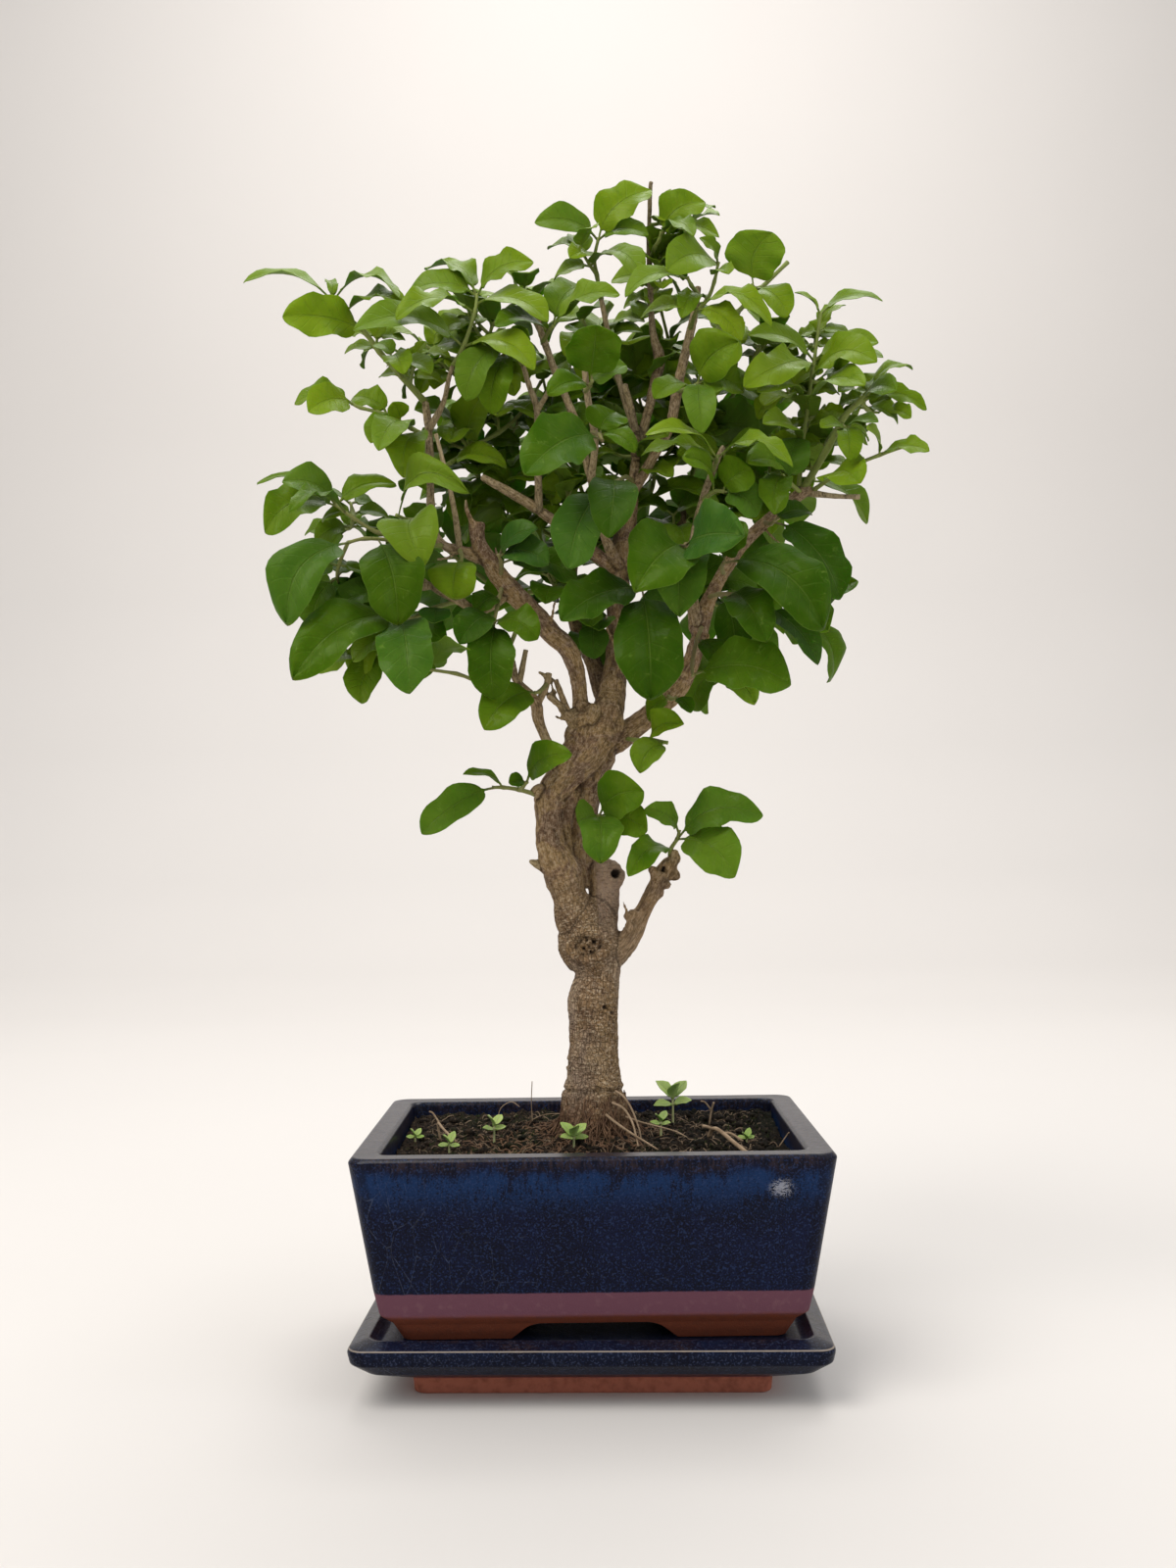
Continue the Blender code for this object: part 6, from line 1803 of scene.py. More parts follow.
    def chance_knobs(self) -> Iterable[Row]:
        """Yield small knobs where old shoots were cut, scattered along the thick limbs.

        Returns:
            Each knob's middle and radius.
        """
        rule = random.Random(SEED + 6)
        for name, limb in LIMBS.items():
            for start, end in zip(limb, limb[1:]):
                if name == "trunk" or start[3] < self.thick_from or rule.random() < 0.35:
                    continue
                place = Vector(start).lerp(Vector(end), rule.random())
                angle = rule.uniform(0, math.tau)
                out = place[3] * 0.78
                yield (place[0] + math.cos(angle) * out, place[1] + math.sin(angle) * out, place[2],
                       place[3] * rule.uniform(0.32, 0.52))

    def root_courses(self) -> Iterable[tuple[list[Vector], list[float]]]:
        """Yield the surface roots that run down the flare and out into the soil.

        Returns:
            Each root's points and radii.
        """
        rule = random.Random(SEED + 1)
        for index in range(self.roots):
            angle = math.tau * (index + rule.uniform(-0.3, 0.3)) / self.roots
            start = rule.uniform(*self.root_start)
            reach = rule.uniform(*self.root_reach)
            thick = rule.uniform(0.8, 2.0)
            points, radii = [], []
            for step in range(7):
                t = step / 6
                radius = self.flare_radius + (reach - self.flare_radius) * t ** 1.8
                drift = angle + 0.35 * math.sin(t * 4 + index) * t
                points.append(Vector((1 + math.cos(drift) * radius, math.sin(drift) * radius,
                                      start + (self.root_end - start) * t)))
                radii.append(thick * (0.7 + 0.5 * math.sin(math.pi * min(1, t * 1.4))) + 0.2)
            yield points, radii

    @staticmethod
    def stub_share(point: Vector) -> float:
        """Return how much a point belongs to the smooth cut stub on the right."""
        lean = point.x - 1.5 - 0.06 * (222 - point.z)
        rise = clamp((point.z - 186) / 12)
        return rise * clamp(lean / 1.5) if point.x < 16 and point.z < 225 else 0.0

    def bark_relief(self, place: Vector, course: Row, girth: float, root: float) -> float:
        """Return how far the bark's lumps, wrinkles and ridges stand out.

        Args:
            place: The skin point.
            course: Its place around and along the limb.
            girth: The limb's share of the thickest one.
            root: How much the point belongs to the root flare.

        Returns:
            The height, in millimetres.
        """
        upper = self.upper_share(place)
        lumps = rough(place * 0.11, 3)
        wrinkles = rough(Vector((course[0] * 0.2, course[1] * 0.2, course[2] * 0.8)), 2)
        ridges = rough(Vector((course[0] * 0.42, course[1] * 0.42, course[2] * 0.07)), 3)
        push = lumps * (0.6 if place.z < self.calm_below else 1.1) * girth
        push += wrinkles * 0.22 * (0.3 + 0.7 * girth) * (1 - root) * (1 - upper * 0.6)
        push += ridges * (0.22 + 0.36 * upper) * (0.25 + 0.75 * girth)
        return push + clamp((self.flare_top + 3 - place.z) / 4) * 0.9 * rough(place * 0.32, 3)

    def upper_share(self, place: Vector) -> float:
        """Return how much a point belongs to the furrowed stems above the collar."""
        return clamp((place.z - self.upper_from) / 30)

    def ledge_relief(self, place: Vector) -> tuple[float, float]:
        """Return how far the ledge over the root flare stands out, and the shade painted into its groove.
        """
        above = place.z - self.ledge - 1.5 * noise.noise(place * 0.22)
        return 0.6 * bell(above - 1.6, 1.2) - 0.7 * bell(above, 0.9), 0.45 * bell(above, 0.8)

    def collar_relief(self, place: Vector) -> tuple[float, float]:
        """Return how far the rings round the pruned collar stand out, and the shade painted into their
        groove.

        Args:
            place: The skin point.

        Returns:
            The height, and the painted shade from 0 to 1.
        """
        apart = math.hypot((place.x - self.collar[0]) * 0.8, (place.z - self.collar[1]) * 1.15)
        apart += 1.8 * noise.noise(place * 0.35)
        groove = bell(apart - 4.2, 1.1) * (0.55 + 0.9 * abs(noise.noise(place * 0.5)))
        rings = 0.35 * math.sin(apart * 1.9) * bell(apart, 12)
        return 1.5 * bell(apart - 6.9, 1.9) - 1.6 * groove + rings, 0.8 * groove

    def scar_relief(self, place: Vector) -> tuple[float, float]:
        """Return how far the scars' rims and pits stand out, and the shade painted into the pits.

        Args:
            place: The skin point.

        Returns:
            The height, and the painted shade from 0 to 1.
        """
        push = dark = 0.0
        for scar_and_shade in self.scars:
            share = math.hypot(place.x - scar_and_shade.x, place.z - scar_and_shade.z) / scar_and_shade.radius
            if share < 2.4:
                pit = max(0.0, 1 - share ** 2)
                push += scar_and_shade.rim * bell(share - 1.35, 0.45) - scar_and_shade.depth * pit
                dark = max(dark, min(1.0, scar_and_shade.depth * 0.75 * pit))
        return push, dark

    def relief(self, bm: BMesh) -> None:
        """Push the bark's relief into the skin, and paint girth, the shade painted in scars, grooves and
        creases, roots and the limbs' courses.

        Args:
            bm: The merged limbs.
        """
        tree, axis = self.axis_tree()
        bmesh.ops.recalc_face_normals(bm, faces=bm.faces)
        bm.normal_update()
        colours = bm.verts.layers.float_color
        traits, skins, courses = (colours.new(name) for name in ("traits", "skin", "course"))
        moves = []
        for vert in bm.verts:
            place = vert.co
            spot, crease = self.nearest(place, tree, axis)
            course = spot.course(place)
            girth = min(1.0, spot.radius / self.thickest)
            root = clamp((self.flare_top + 4 * noise.noise(place * 0.3) - place.z) / 10.0)
            stub = self.stub_share(place)
            reliefs = [self.ledge_relief(place)]
            # Where two limbs meet, the crease is pushed in and shade is painted into it.
            if place.z > self.fork_from:
                crease *= (1 - stub) * (0.35 + 0.65 * clamp((place.z - 206) / 24))
                reliefs.append((-crease * 0.9 * min(1.0, girth * 1.6), crease * 0.5))
            if vert.normal.y < 0 and (place - spot.place).length > spot.radius * 0.5:
                reliefs += [self.collar_relief(place), self.scar_relief(place)]
            push = self.bark_relief(place, course, girth, root) + sum(height for height, _ in reliefs)
            # Painted shade on the back of the upper stems; the traits' second channel takes the darkest of
            # it and of the painted shade in grooves, creases and scars.
            behind = clamp((place.y - 1) / 6) * clamp((place.z - 200) / 15) * 0.5
            vert[traits] = (girth, max(behind, *(dark for _, dark in reliefs)), root, 1.0)
            vert[skins] = (stub, self.upper_share(place), 0.0, 1.0)
            vert[courses] = (*course, 1.0)
            moves.append(vert.normal * push * clamp((LAST_Z - place.z) / 6))
        for vert, move in zip(bm.verts, moves):
            vert.co += move

    def build(self) -> None:
        """Build the wood as one piece."""
        bm = self.body()
        self.relief(bm)
        bm.loops.layers.uv.new("blade")
        rule = random.Random(SEED + 2)
        for limb in LIMBS.values():
            if max(row[3] for row in limb) <= self.thick_from:
                rows = smooth_course(limb, 5)
                radii = [row[3] * rule.uniform(0.9, 1.08) for row in rows]
                known = len(bm.verts)
                add_tube(bm, [row[:3] for row in rows], radii, 3, (limb[0][3] / self.thickest, 0.0, 0.0))
                bm.verts.ensure_lookup_table()
                for vert in list(bm.verts)[known:]:
                    vert[bm.verts.layers.float_color["course"]] = (*vert.co, 1.0)
        make_piece("wood", bm, self.finish, "trunk")


# Pot and tray


def rounded_loop(half_length: float, half_width: float, height: float, corner: float,
                 steps: int) -> Loop:
    """Return the points of a rectangle with round corners, each corner held by a point either side.

    Args:
        half_length: Half of its extent along x.
        half_width: Half of its extent along y.
        height: Its height.
        corner: The corners' radius.
        steps: Steps in each corner.

    Returns:
        The points, anticlockwise seen from above.
    """
    points = []
    for quarter, (sign_x, sign_y) in enumerate(((1, 1), (-1, 1), (-1, -1), (1, -1))):
        arc = []
        for step in range(steps + 1):
            angle = math.radians(90 * (quarter + step / steps))
            arc.append(Vector((sign_x * (half_length - corner) + corner * math.cos(angle),
                               sign_y * (half_width - corner) + corner * math.sin(angle), height)))
        enter, leave = math.radians(90 * quarter), math.radians(90 * (quarter + 1))
        arc.insert(0, arc[0] + Vector((math.sin(enter), -math.cos(enter), 0)))
        arc.append(arc[-1] + Vector((-math.sin(leave), math.cos(leave), 0)))
        points += arc
    return points


def loft(levels: Sequence[Row], steps: int) -> BMesh:
    """Return a closed solid drawn up through levels, by extruding a ring from each to the next.

    Args:
        levels: (half length, half width, height, corner radius, worn edge, bare inside) of each.
        steps: Steps in each round corner.

    Returns:
        The solid, painted with its worn edges and bare parts.
    """
    bm = blank_mesh()
    count = 4 * (steps + 3)
    ring = bmesh.ops.create_circle(bm, cap_ends=True, segments=count)["verts"]
    for index, level in enumerate(levels):
        if index:
            rim = [edge for edge in bm.edges if set(edge.verts) <= set(ring)]
            raised = bmesh.ops.extrude_edge_only(bm, edges=rim)["geom"]
            fresh = {item for item in raised if isinstance(item, BMVert)}
            ring = [next(edge.other_vert(vert) for edge in vert.link_edges
                         if edge.other_vert(vert) in fresh) for vert in ring]
        for order, (vert, place) in enumerate(zip(ring, rounded_loop(*level[:4], steps))):
            vert.co = place
            turned = 0 < order % (steps + 3) < steps + 2
            paint(bm, [vert], (level[4], level[5], 1.0 if turned else 0.0))
    bmesh.ops.contextual_create(bm, geom=ring)
    bmesh.ops.recalc_face_normals(bm, faces=bm.faces)
    return bm


EDGE = 4                      # the column of a level that says how worn its edge is
EASE_STEPS = 4                # steps in the rounding of each turn of a profile


def eased(levels: Sequence[Row], radius: float) -> list[Row]:
    """Return levels with each turn of the profile rounded off.

    Args:
        levels: The profile's levels.
        radius: How far from each turn the rounding starts, at most.

    Returns:
        The finer levels, held flat beside each rounding and inside the last level.
    """
    rows = [Vector(level) for level in levels]
    out = [tuple(rows[0])]
    for before, turn, after in zip(rows, rows[1:], rows[2:]):
        sides = []
        for side in (before - turn, after - turn):
            share = min(0.36, radius / Vector(side[:3]).length)
            sides.append((turn + side * share * 1.3, turn + side * share))
        (hold, start), (release, end) = sides
        hold[EDGE] = release[EDGE] = 0.0
        out.append(tuple(hold))
        for step in range(EASE_STEPS + 1):
            t = step / EASE_STEPS
            row = start * (1 - t) ** 2 + turn * 2 * t * (1 - t) + end * t ** 2
            row[EDGE] = turn[EDGE] * math.sin(math.pi * t)
            out.append(tuple(row))
        out.append(tuple(release))
    last = rows[-1].copy()
    last[0] -= 1.5
    last[1] -= 1.5
    return out + [tuple(rows[-1]), tuple(last)]


@dataclass
class Pot:
    """The rectangular pot: flared glazed walls, flat rim, bare corner feet."""

    finish: Material
    corner_steps: int = 8
    gap_top: Row = (26.0, 21.0)
    gap_splay: float = 8.5
    pocket: Row = (64.0, 40.0)
    drain_x: float = 45.0
    drain_radius: float = 6.0

    def levels(self) -> list[Row]:
        """Return the profile from the feet up, over the rim and down inside.

        Returns:
            The levels, as the loft takes them.
        """
        long, wide = POT_HALF
        return eased((
            (80.0, 55.0, POT_FEET_BOTTOM, 5.0, 0, 0),
            (84.0, 59.0, POT_FEET_TOP, 5.5, 0, 0),
            (88.7, 63.7, 36.0, 6.0, 0, 0),
            (long - 9.15, wide - 9.15, GLAZE_END, 6.0, 0, 0),
            (long - 9.0, wide - 9.0, GLAZE_END + 0.6, 6.0, 0.2, 0),
            (long - 0.1, wide - 0.1, POT_RIM_HEIGHT - 1.8, 7.0, 0.25, 0),
            (long - 1.6, wide - 1.6, POT_RIM_HEIGHT, 7.0, 0.1, 0),
            (long - 10.6, wide - 10.6, POT_RIM_HEIGHT - 0.2, 6.0, 0.15, 0),
            (long - 11.8, wide - 11.8, POT_RIM_HEIGHT - 1.6, 6.0, 0.1, 0),
            (long - 13.4, wide - 13.4, 88.0, 6.0, 0, 0),
            (81.0, 56.0, 45.0, 6.0, 0, 1),
            (78.0, 53.0, POT_FLOOR, 5.0, 0, 1),
        ), 0.8)

    def foot_gap(self, axis: int) -> BMesh:
        """Return the splayed block that parts the feet, running along x (0) or y (1).

        Args:
            axis: Along x, 0, or along y, 1.

        Returns:
            The block, its upper edges rounded.
        """
        low = POT_FEET_BOTTOM - 2.0
        half_top = self.gap_top[1 - axis]
        half_low = half_top + self.gap_splay * (POT_FEET_TOP - low) / (POT_FEET_TOP - POT_FEET_BOTTOM)
        bm = bmesh.new()
        bmesh.ops.create_cube(bm, size=1.0)
        for vert in bm.verts:
            upper = vert.co.z > 0
            vert.co.z = POT_FEET_TOP if upper else low
            vert.co[axis] = math.copysign(120.0, vert.co[axis])
            vert.co[1 - axis] = math.copysign(half_top if upper else half_low, vert.co[1 - axis])
        top = [edge for edge in bm.edges if all(vert.co.z > low + 1 for vert in edge.verts)
               and abs(edge.verts[0].co[axis] - edge.verts[1].co[axis]) > 1]
        bmesh.ops.bevel(bm, geom=top, offset=4.0, offset_type="OFFSET", segments=5, profile=0.5,
                        affect="EDGES", material=-1)
        return bm

    def cutters(self) -> list[bpy.types.Object]:
        """Return the blocks that shape the feet and the two drain holes.

        Returns:
            An object for each cut.
        """
        block = bmesh.new()
        bmesh.ops.create_cube(block, size=1.0)
        for vert in block.verts:
            vert.co = (math.copysign(self.pocket[0], vert.co.x), math.copysign(self.pocket[1], vert.co.y),
                       POT_FEET_TOP if vert.co.z > 0 else POT_FEET_BOTTOM - 2)
        tools = [self.foot_gap(0), self.foot_gap(1), block]
        for side in (-1, 1):
            hole = bmesh.new()
            bmesh.ops.create_cone(hole, cap_ends=True, segments=40, radius1=self.drain_radius,
                                  radius2=self.drain_radius, depth=20.0)
            bmesh.ops.translate(hole, vec=(side * self.drain_x, 0, POT_FLOOR - 2), verts=hole.verts)
            tools.append(hole)
        return [loose_object("cutter", tool) for tool in tools]

    def build(self) -> None:
        """Build the pot as one piece."""
        obj = loose_object("pot_body", loft(self.levels(), self.corner_steps))
        tools = self.cutters()
        for tool in tools:
            cut = obj.modifiers.new("cut", "BOOLEAN")
            cut.operation = "DIFFERENCE"
            cut.object = tool
            cut.solver = "EXACT"
        bm = evaluated(obj)
        for tool in tools:
            bpy.data.objects.remove(tool, do_unlink=True)
        bmesh.ops.remove_doubles(bm, verts=bm.verts, dist=0.02)
        sharpen(bm, 40)
        make_piece("pot_looks", bm, self.finish, "pot")


def sharpen(bm: BMesh, degrees: float) -> None:
    """Mark the edges sharper than an angle, so that smooth shading stops there."""
    for edge in bm.edges:
        edge.smooth = edge.calc_face_angle(0.0) < math.radians(degrees)


@dataclass
class Tray:
    """The drip tray: flared glazed rim, flat floor, bare clay foot, hollow below."""

    finish: Material
    corner_steps: int = 8
    hollow_top: float = 17.5
    foot_wall: float = 6.0
    foot: Row = (75.0, 50.0)

    def levels(self) -> list[Row]:
        """Return the profile from under the hollow, round the foot and rim, to the floor.

        Returns:
            The levels, as the loft takes them.
        """
        long, wide = self.foot
        inner = (long - self.foot_wall, wide - self.foot_wall)
        return eased((
            (*inner, self.hollow_top, 4.0, 0, 1),
            (*inner, 0.0, 4.0, 0, 1),
            (long, wide, 0.0, 5.0, 0, 0),
            (long + 0.6, wide + 0.6, 6.7, 5.0, 0, 0),
            (92.0, 67.0, 13.5, 6.0, 0, 0),
            (98.5, 73.5, 19.0, 7.0, 0.1, 0),
            (99.4, 74.4, 23.6, 7.0, 0.1, 0),
            (98.9, 73.9, 25.1, 7.0, 0.95, 0),
            (97.6, 72.6, 25.6, 7.0, 0.1, 0),
            (91.4, 66.4, TRAY_RIM_HEIGHT, 6.0, 0.3, 0),
            (90.2, 65.2, TRAY_RIM_HEIGHT - 1.0, 6.0, 0, 0),
            (87.5, 62.5, POT_FEET_BOTTOM - 0.35, 6.0, 0, 0),
        ), 0.9)

    def build(self) -> None:
        """Build the tray as one piece, turned a little on the table as in the photograph."""
        bm = loft(self.levels(), self.corner_steps)
        bmesh.ops.rotate(bm, cent=(0, 0, 0), matrix=Matrix.Rotation(TRAY_TURN, 3, "Z"), verts=bm.verts)
        sharpen(bm, 50)
        make_piece("tray_looks", bm, self.finish, "drip_tray")


# Soil and what grows in it


def soil_height(x: float, y: float) -> float:
    """Return the height of the solid soil's surface at a place.

    Args:
        x: The place across.
        y: The place from front to back.

    Returns:
        The height above the table.
    """
    mound = SOIL_MOUND * bell(math.hypot(x, y), SOIL_MOUND_REACH)
    lump = SOIL_LUMP_HEIGHT * bell(math.dist((x, y), SOIL_LUMP), SOIL_LUMP_REACH)
    bank = SOIL_BANK * max(0.0, y) / POT_HALF[1]
    uneven = SOIL_ROUGHNESS * noise.noise(Vector((x, y, 3.0)) * 0.055)
    return SOIL_EDGE_HEIGHT + mound + lump + bank + uneven


def crumb_height(x: float, y: float) -> float:
    """Return the height of the finished soil's surface, with its crumbs and fibres.

    Args:
        x: The place across.
        y: The place from front to back.

    Returns:
        The height above the table.
    """
    lumps = rough(Vector((x, y, 0)) * 0.16, 4)
    grains = rough(Vector((x, y, 7)) * 0.75, 2, 0.9)
    clods = rough(Vector((x, y, 11)) * 0.34, 3)
    return soil_height(x, y) + 1.6 * lumps + 1.5 * clods + 0.9 * grains


@dataclass
class Soil:
    """Compost with its crumbs, moss, litter and hair roots."""

    earth: Material
    moss: Material
    root: Material
    dead: Material
    rust: Material
    half: Row = (86.6, 61.3)
    cells: tuple[int, int] = (230, 164)
    floor: float = 39.9
    foot: Row = (77.5, 52.5)
    corner_from: float = 1.93
    corner_cut: float = 2.6
    trunk_clear: float = 15.0
    thread_middle: Row = (-18.0, -14.0)
    thread_reach: float = 40.0
    crumbs: int = 1500
    tufts: int = 2600
    rootlets: int = 190
    rootlet_start: Row = (100.0, 117.0)
    rootlet_reach: Row = (19.0, 40.0)
    pale_roots: tuple[tuple, ...] = (
        ((10.5, -12, 119), (14, -15, 117), (17.5, -18, 112), (20.5, -20, 104), (21.5, -21, 99), 0.5),
        ((9, -13, 114), (14, -17, 112), (17.5, -21, 107), (19, -27, 102), (19.8, -33, 98.5), 0.55),
        ((6, -14, 109), (11, -20, 106), (17, -27, 103), (23.5, -33, 100), (28, -38, 98), 0.6),
        ((15, -9, 107), (22, -12, 105), (29, -14, 103.5), (37, -16, 101.5), (42, -17, 99), 0.4),
    )
    wires: tuple[tuple, ...] = (
        ((-28, 26, 98), (-28.5, 26, 108), (-28, 25, 118), 0.22),
        ((-28, 26, 100), (-22, 22, 103), (-12, 18, 104), 0.2),
        ((-45, 30, 99), (-43, 30, 105), (-38, 28, 108), (-34, 26, 106), 0.22),
        ((-68, -8, 97), (-69, -9, 105), (-66, -13, 103), (-60, -20, 99), 0.55),
        ((-67, -10, 103), (-71, -8, 109), (-73, -7, 110), 0.4),
        ((54, 12, 99), (55, 10, 106), (56, 8, 110), 0.5),
        ((55, 10, 106), (52, 8, 110), (50, 6, 111), 0.4),
        ((52, -10, 98), (54, -13, 102), (57, -19, 101.5), (61, -27, 99), (66, -36, 96), 0.95),
        ((54, -13, 101.5), (51, -14, 103), (49, -15, 103.4), 0.8),
        ((57, -19, 101), (61, -20, 101), (66, -22, 98), 0.6),
        ((80, -36, 98), (83, -38, 103), (84, -40, 105), 0.25),
    )

    def build_bed(self) -> None:
        """Build the bed of soil as a fine grid with sides down to the pot's floor."""
        bm = blank_mesh()
        bmesh.ops.create_grid(bm, x_segments=self.cells[0], y_segments=self.cells[1], size=1.0)
        for vert in bm.verts:
            corner = max(0.0, abs(vert.co.x) + abs(vert.co.y) - self.corner_from) / (2 - self.corner_from)
            x, y = (part * (half - self.corner_cut * corner) for part, half in zip(vert.co, self.half))
            vert.co = (x, y, crumb_height(x, y))
        rim = [edge for edge in bm.edges if edge.is_boundary]
        lowered = bmesh.ops.extrude_edge_only(bm, edges=rim)["geom"]
        for vert in (item for item in lowered if isinstance(item, BMVert)):
            vert.co.x *= self.foot[0] / self.half[0]
            vert.co.y *= self.foot[1] / self.half[1]
            vert.co.z = self.floor
        close_holes(bm)
        bmesh.ops.recalc_face_normals(bm, faces=bm.faces)
        make_piece("soil_looks", bm, self.earth, "soil")

    def spots(self, count: int, seed: int, margin: float = 4.0) -> Iterable[tuple[Vector, random.Random]]:
        """Yield places on the soil, clear of the trunk, with the rule that drew them.

        Args:
            count: How many are tried.
            seed: What the places depend on.
            margin: The least way from the wall.

        Returns:
            Each place and the rule.
        """
        rule = random.Random(seed)
        for _ in range(count):
            x = rule.uniform(-1, 1) * (self.half[0] - margin)
            y = rule.uniform(-1, 1) * (self.half[1] - margin)
            if math.hypot(x, y) > self.trunk_clear:
                yield Vector((x, y, crumb_height(x, y))), rule

    def build_crumbs(self) -> None:
        """Build loose crumbs of bark and earth that lie on the bed."""
        bm = blank_mesh()
        for place, rule in self.spots(self.crumbs, SEED + 3):
            made = bmesh.ops.create_icosphere(bm, subdivisions=1, radius=1.0)["verts"]
            size = rule.uniform(0.35, 1.0) + rule.random() ** 4 * 2.2
            turn = Matrix.Rotation(rule.uniform(0, math.tau), 3, "Z")
            stretch = Vector((rule.uniform(0.7, 1.7), rule.uniform(0.6, 1.0), rule.uniform(0.4, 0.8)))
            for vert in made:
                bump = 1 + 0.3 * noise.noise(vert.co * 1.3 + place)
                vert.co = place + turn @ (vert.co * bump * size * stretch) + Vector((0, 0, size * 0.2))
        make_piece("soil_crumbs", bm, self.earth)

    def build_moss(self) -> None:
        """Build moss as dense short spikes in patches."""
        bm = blank_mesh()
        for place, rule in self.spots(self.tufts, SEED + 4, 3.0):
            patch = rough(Vector((place.x, place.y, 20)) * 0.05, 2)
            if patch < 0.05:
                continue
            for _ in range(3):
                made = bmesh.ops.create_cone(bm, cap_ends=False, segments=3, radius1=0.26, radius2=0.03,
                                             depth=1.0)["verts"]
                tall = rule.uniform(0.8, 2.0)
                lean = Vector((rule.uniform(-0.6, 0.6), rule.uniform(-0.6, 0.6), 1)).normalized()
                foot = place + Vector((rule.uniform(-0.7, 0.7), rule.uniform(-0.7, 0.7), -0.3))
                for vert in made:
                    rise = (vert.co.z + 0.5) * tall
                    vert.co = foot + Vector((vert.co.x, vert.co.y, 0)) + lean * rise
        close_holes(bm)
        make_piece("moss", bm, self.moss)

    def build_threads(self, name: str, material: Material, count: int, thick: Row,
                      pull: float) -> None:
        """Build hair roots and bits of stalk that lie on the bed.

        Args:
            name: The piece's name.
            material: Its finish.
            count: How many places are tried.
            thick: The least and the greatest radius.
            pull: 1 keeps them near the trunk and in front of it, 0 spreads them all over.
        """
        bm = blank_mesh()
        for place, rule in self.spots(count, SEED + len(name), 9.0):
            heading = rule.uniform(0, math.tau)
            long = rule.uniform(3, 9)
            bend = rule.uniform(-0.5, 0.5)
            away = math.dist(place[:2], self.thread_middle)
            if pull * away > self.thread_reach * rule.uniform(0.6, 1.2):
                continue
            points = []
            for step in range(5):
                way = heading + bend * step
                place = place + Vector((math.cos(way), math.sin(way), 0)) * long / 4
                x = max(-self.half[0] + 1, min(self.half[0] - 1, place.x))
                y = max(-self.half[1] + 1, min(self.half[1] - 1, place.y))
                lift = 0.25 + 0.8 * math.sin(math.pi * step / 4) * rule.random()
                points.append(Vector((x, y, crumb_height(x, y) + lift)))
            radius = rule.uniform(*thick)
            add_tube(bm, smooth_course(points, 2), [radius] * 9, 0, PLAIN)
        make_piece(name, bm, material)

    def build_rootlets(self) -> None:
        """Build the fibrous reddish rootlets that cover the flare and run out over the soil."""
        bm = blank_mesh()
        rule = random.Random(SEED + 7)
        for index in range(self.rootlets):
            angle = rule.uniform(0, math.tau)
            start = rule.uniform(*self.rootlet_start)
            reach = rule.uniform(*self.rootlet_reach)
            wave = rule.uniform(-1.0, 1.0)
            points = []
            for step in range(9):
                t = step / 8
                turn = angle + wave * math.sin(3 * t) * t
                turn += 0.16 * noise.noise(Vector((index, t * 3.5, 4.0)))
                radius = 14.3 + 0.12 * (116 - start) + (reach - 15) * t ** 2.2
                x, y = 1 + math.cos(turn) * radius, math.sin(turn) * radius
                ground = crumb_height(x, y) + 0.3
                sink = 1.2 if step == 8 else 0.0
                points.append(Vector((x, y, start + (ground - start) * min(1.0, t * 1.5) - sink)))
            radius = rule.uniform(0.16, 0.44)
            course = smooth_course(points, 2)
            add_tube(bm, course, tapered(radius * 1.1, radius * 0.6, len(course)), 0, PLAIN)
        make_piece("rootlets", bm, self.rust)

    def build_roots(self) -> None:
        """Build the pale surface roots at the right of the trunk, and the wiry ones that stand up."""
        bm = blank_mesh()
        for *course, radius in self.pale_roots:
            points = smooth_course(course, 5)
            add_tube(bm, points, [radius * (1.1 - 0.5 * step / len(points)) for step in range(len(points))],
                     2, PLAIN)
        for *course, radius in self.wires:
            points = smooth_course(course, 5)
            add_tube(bm, points, [radius] * len(points), 1, PLAIN)
        make_piece("pale_roots", bm, self.root)

    def build(self) -> None:
        """Build the bed and all that lies on it."""
        self.build_bed()
        self.build_crumbs()
        self.build_moss()
        self.build_threads("soil_threads", self.dead, 760, (0.10, 0.30), 0.0)
        self.build_threads("soil_litter", self.rust, 1400, (0.14, 0.42), 1.0)
        self.build_rootlets()
        self.build_roots()


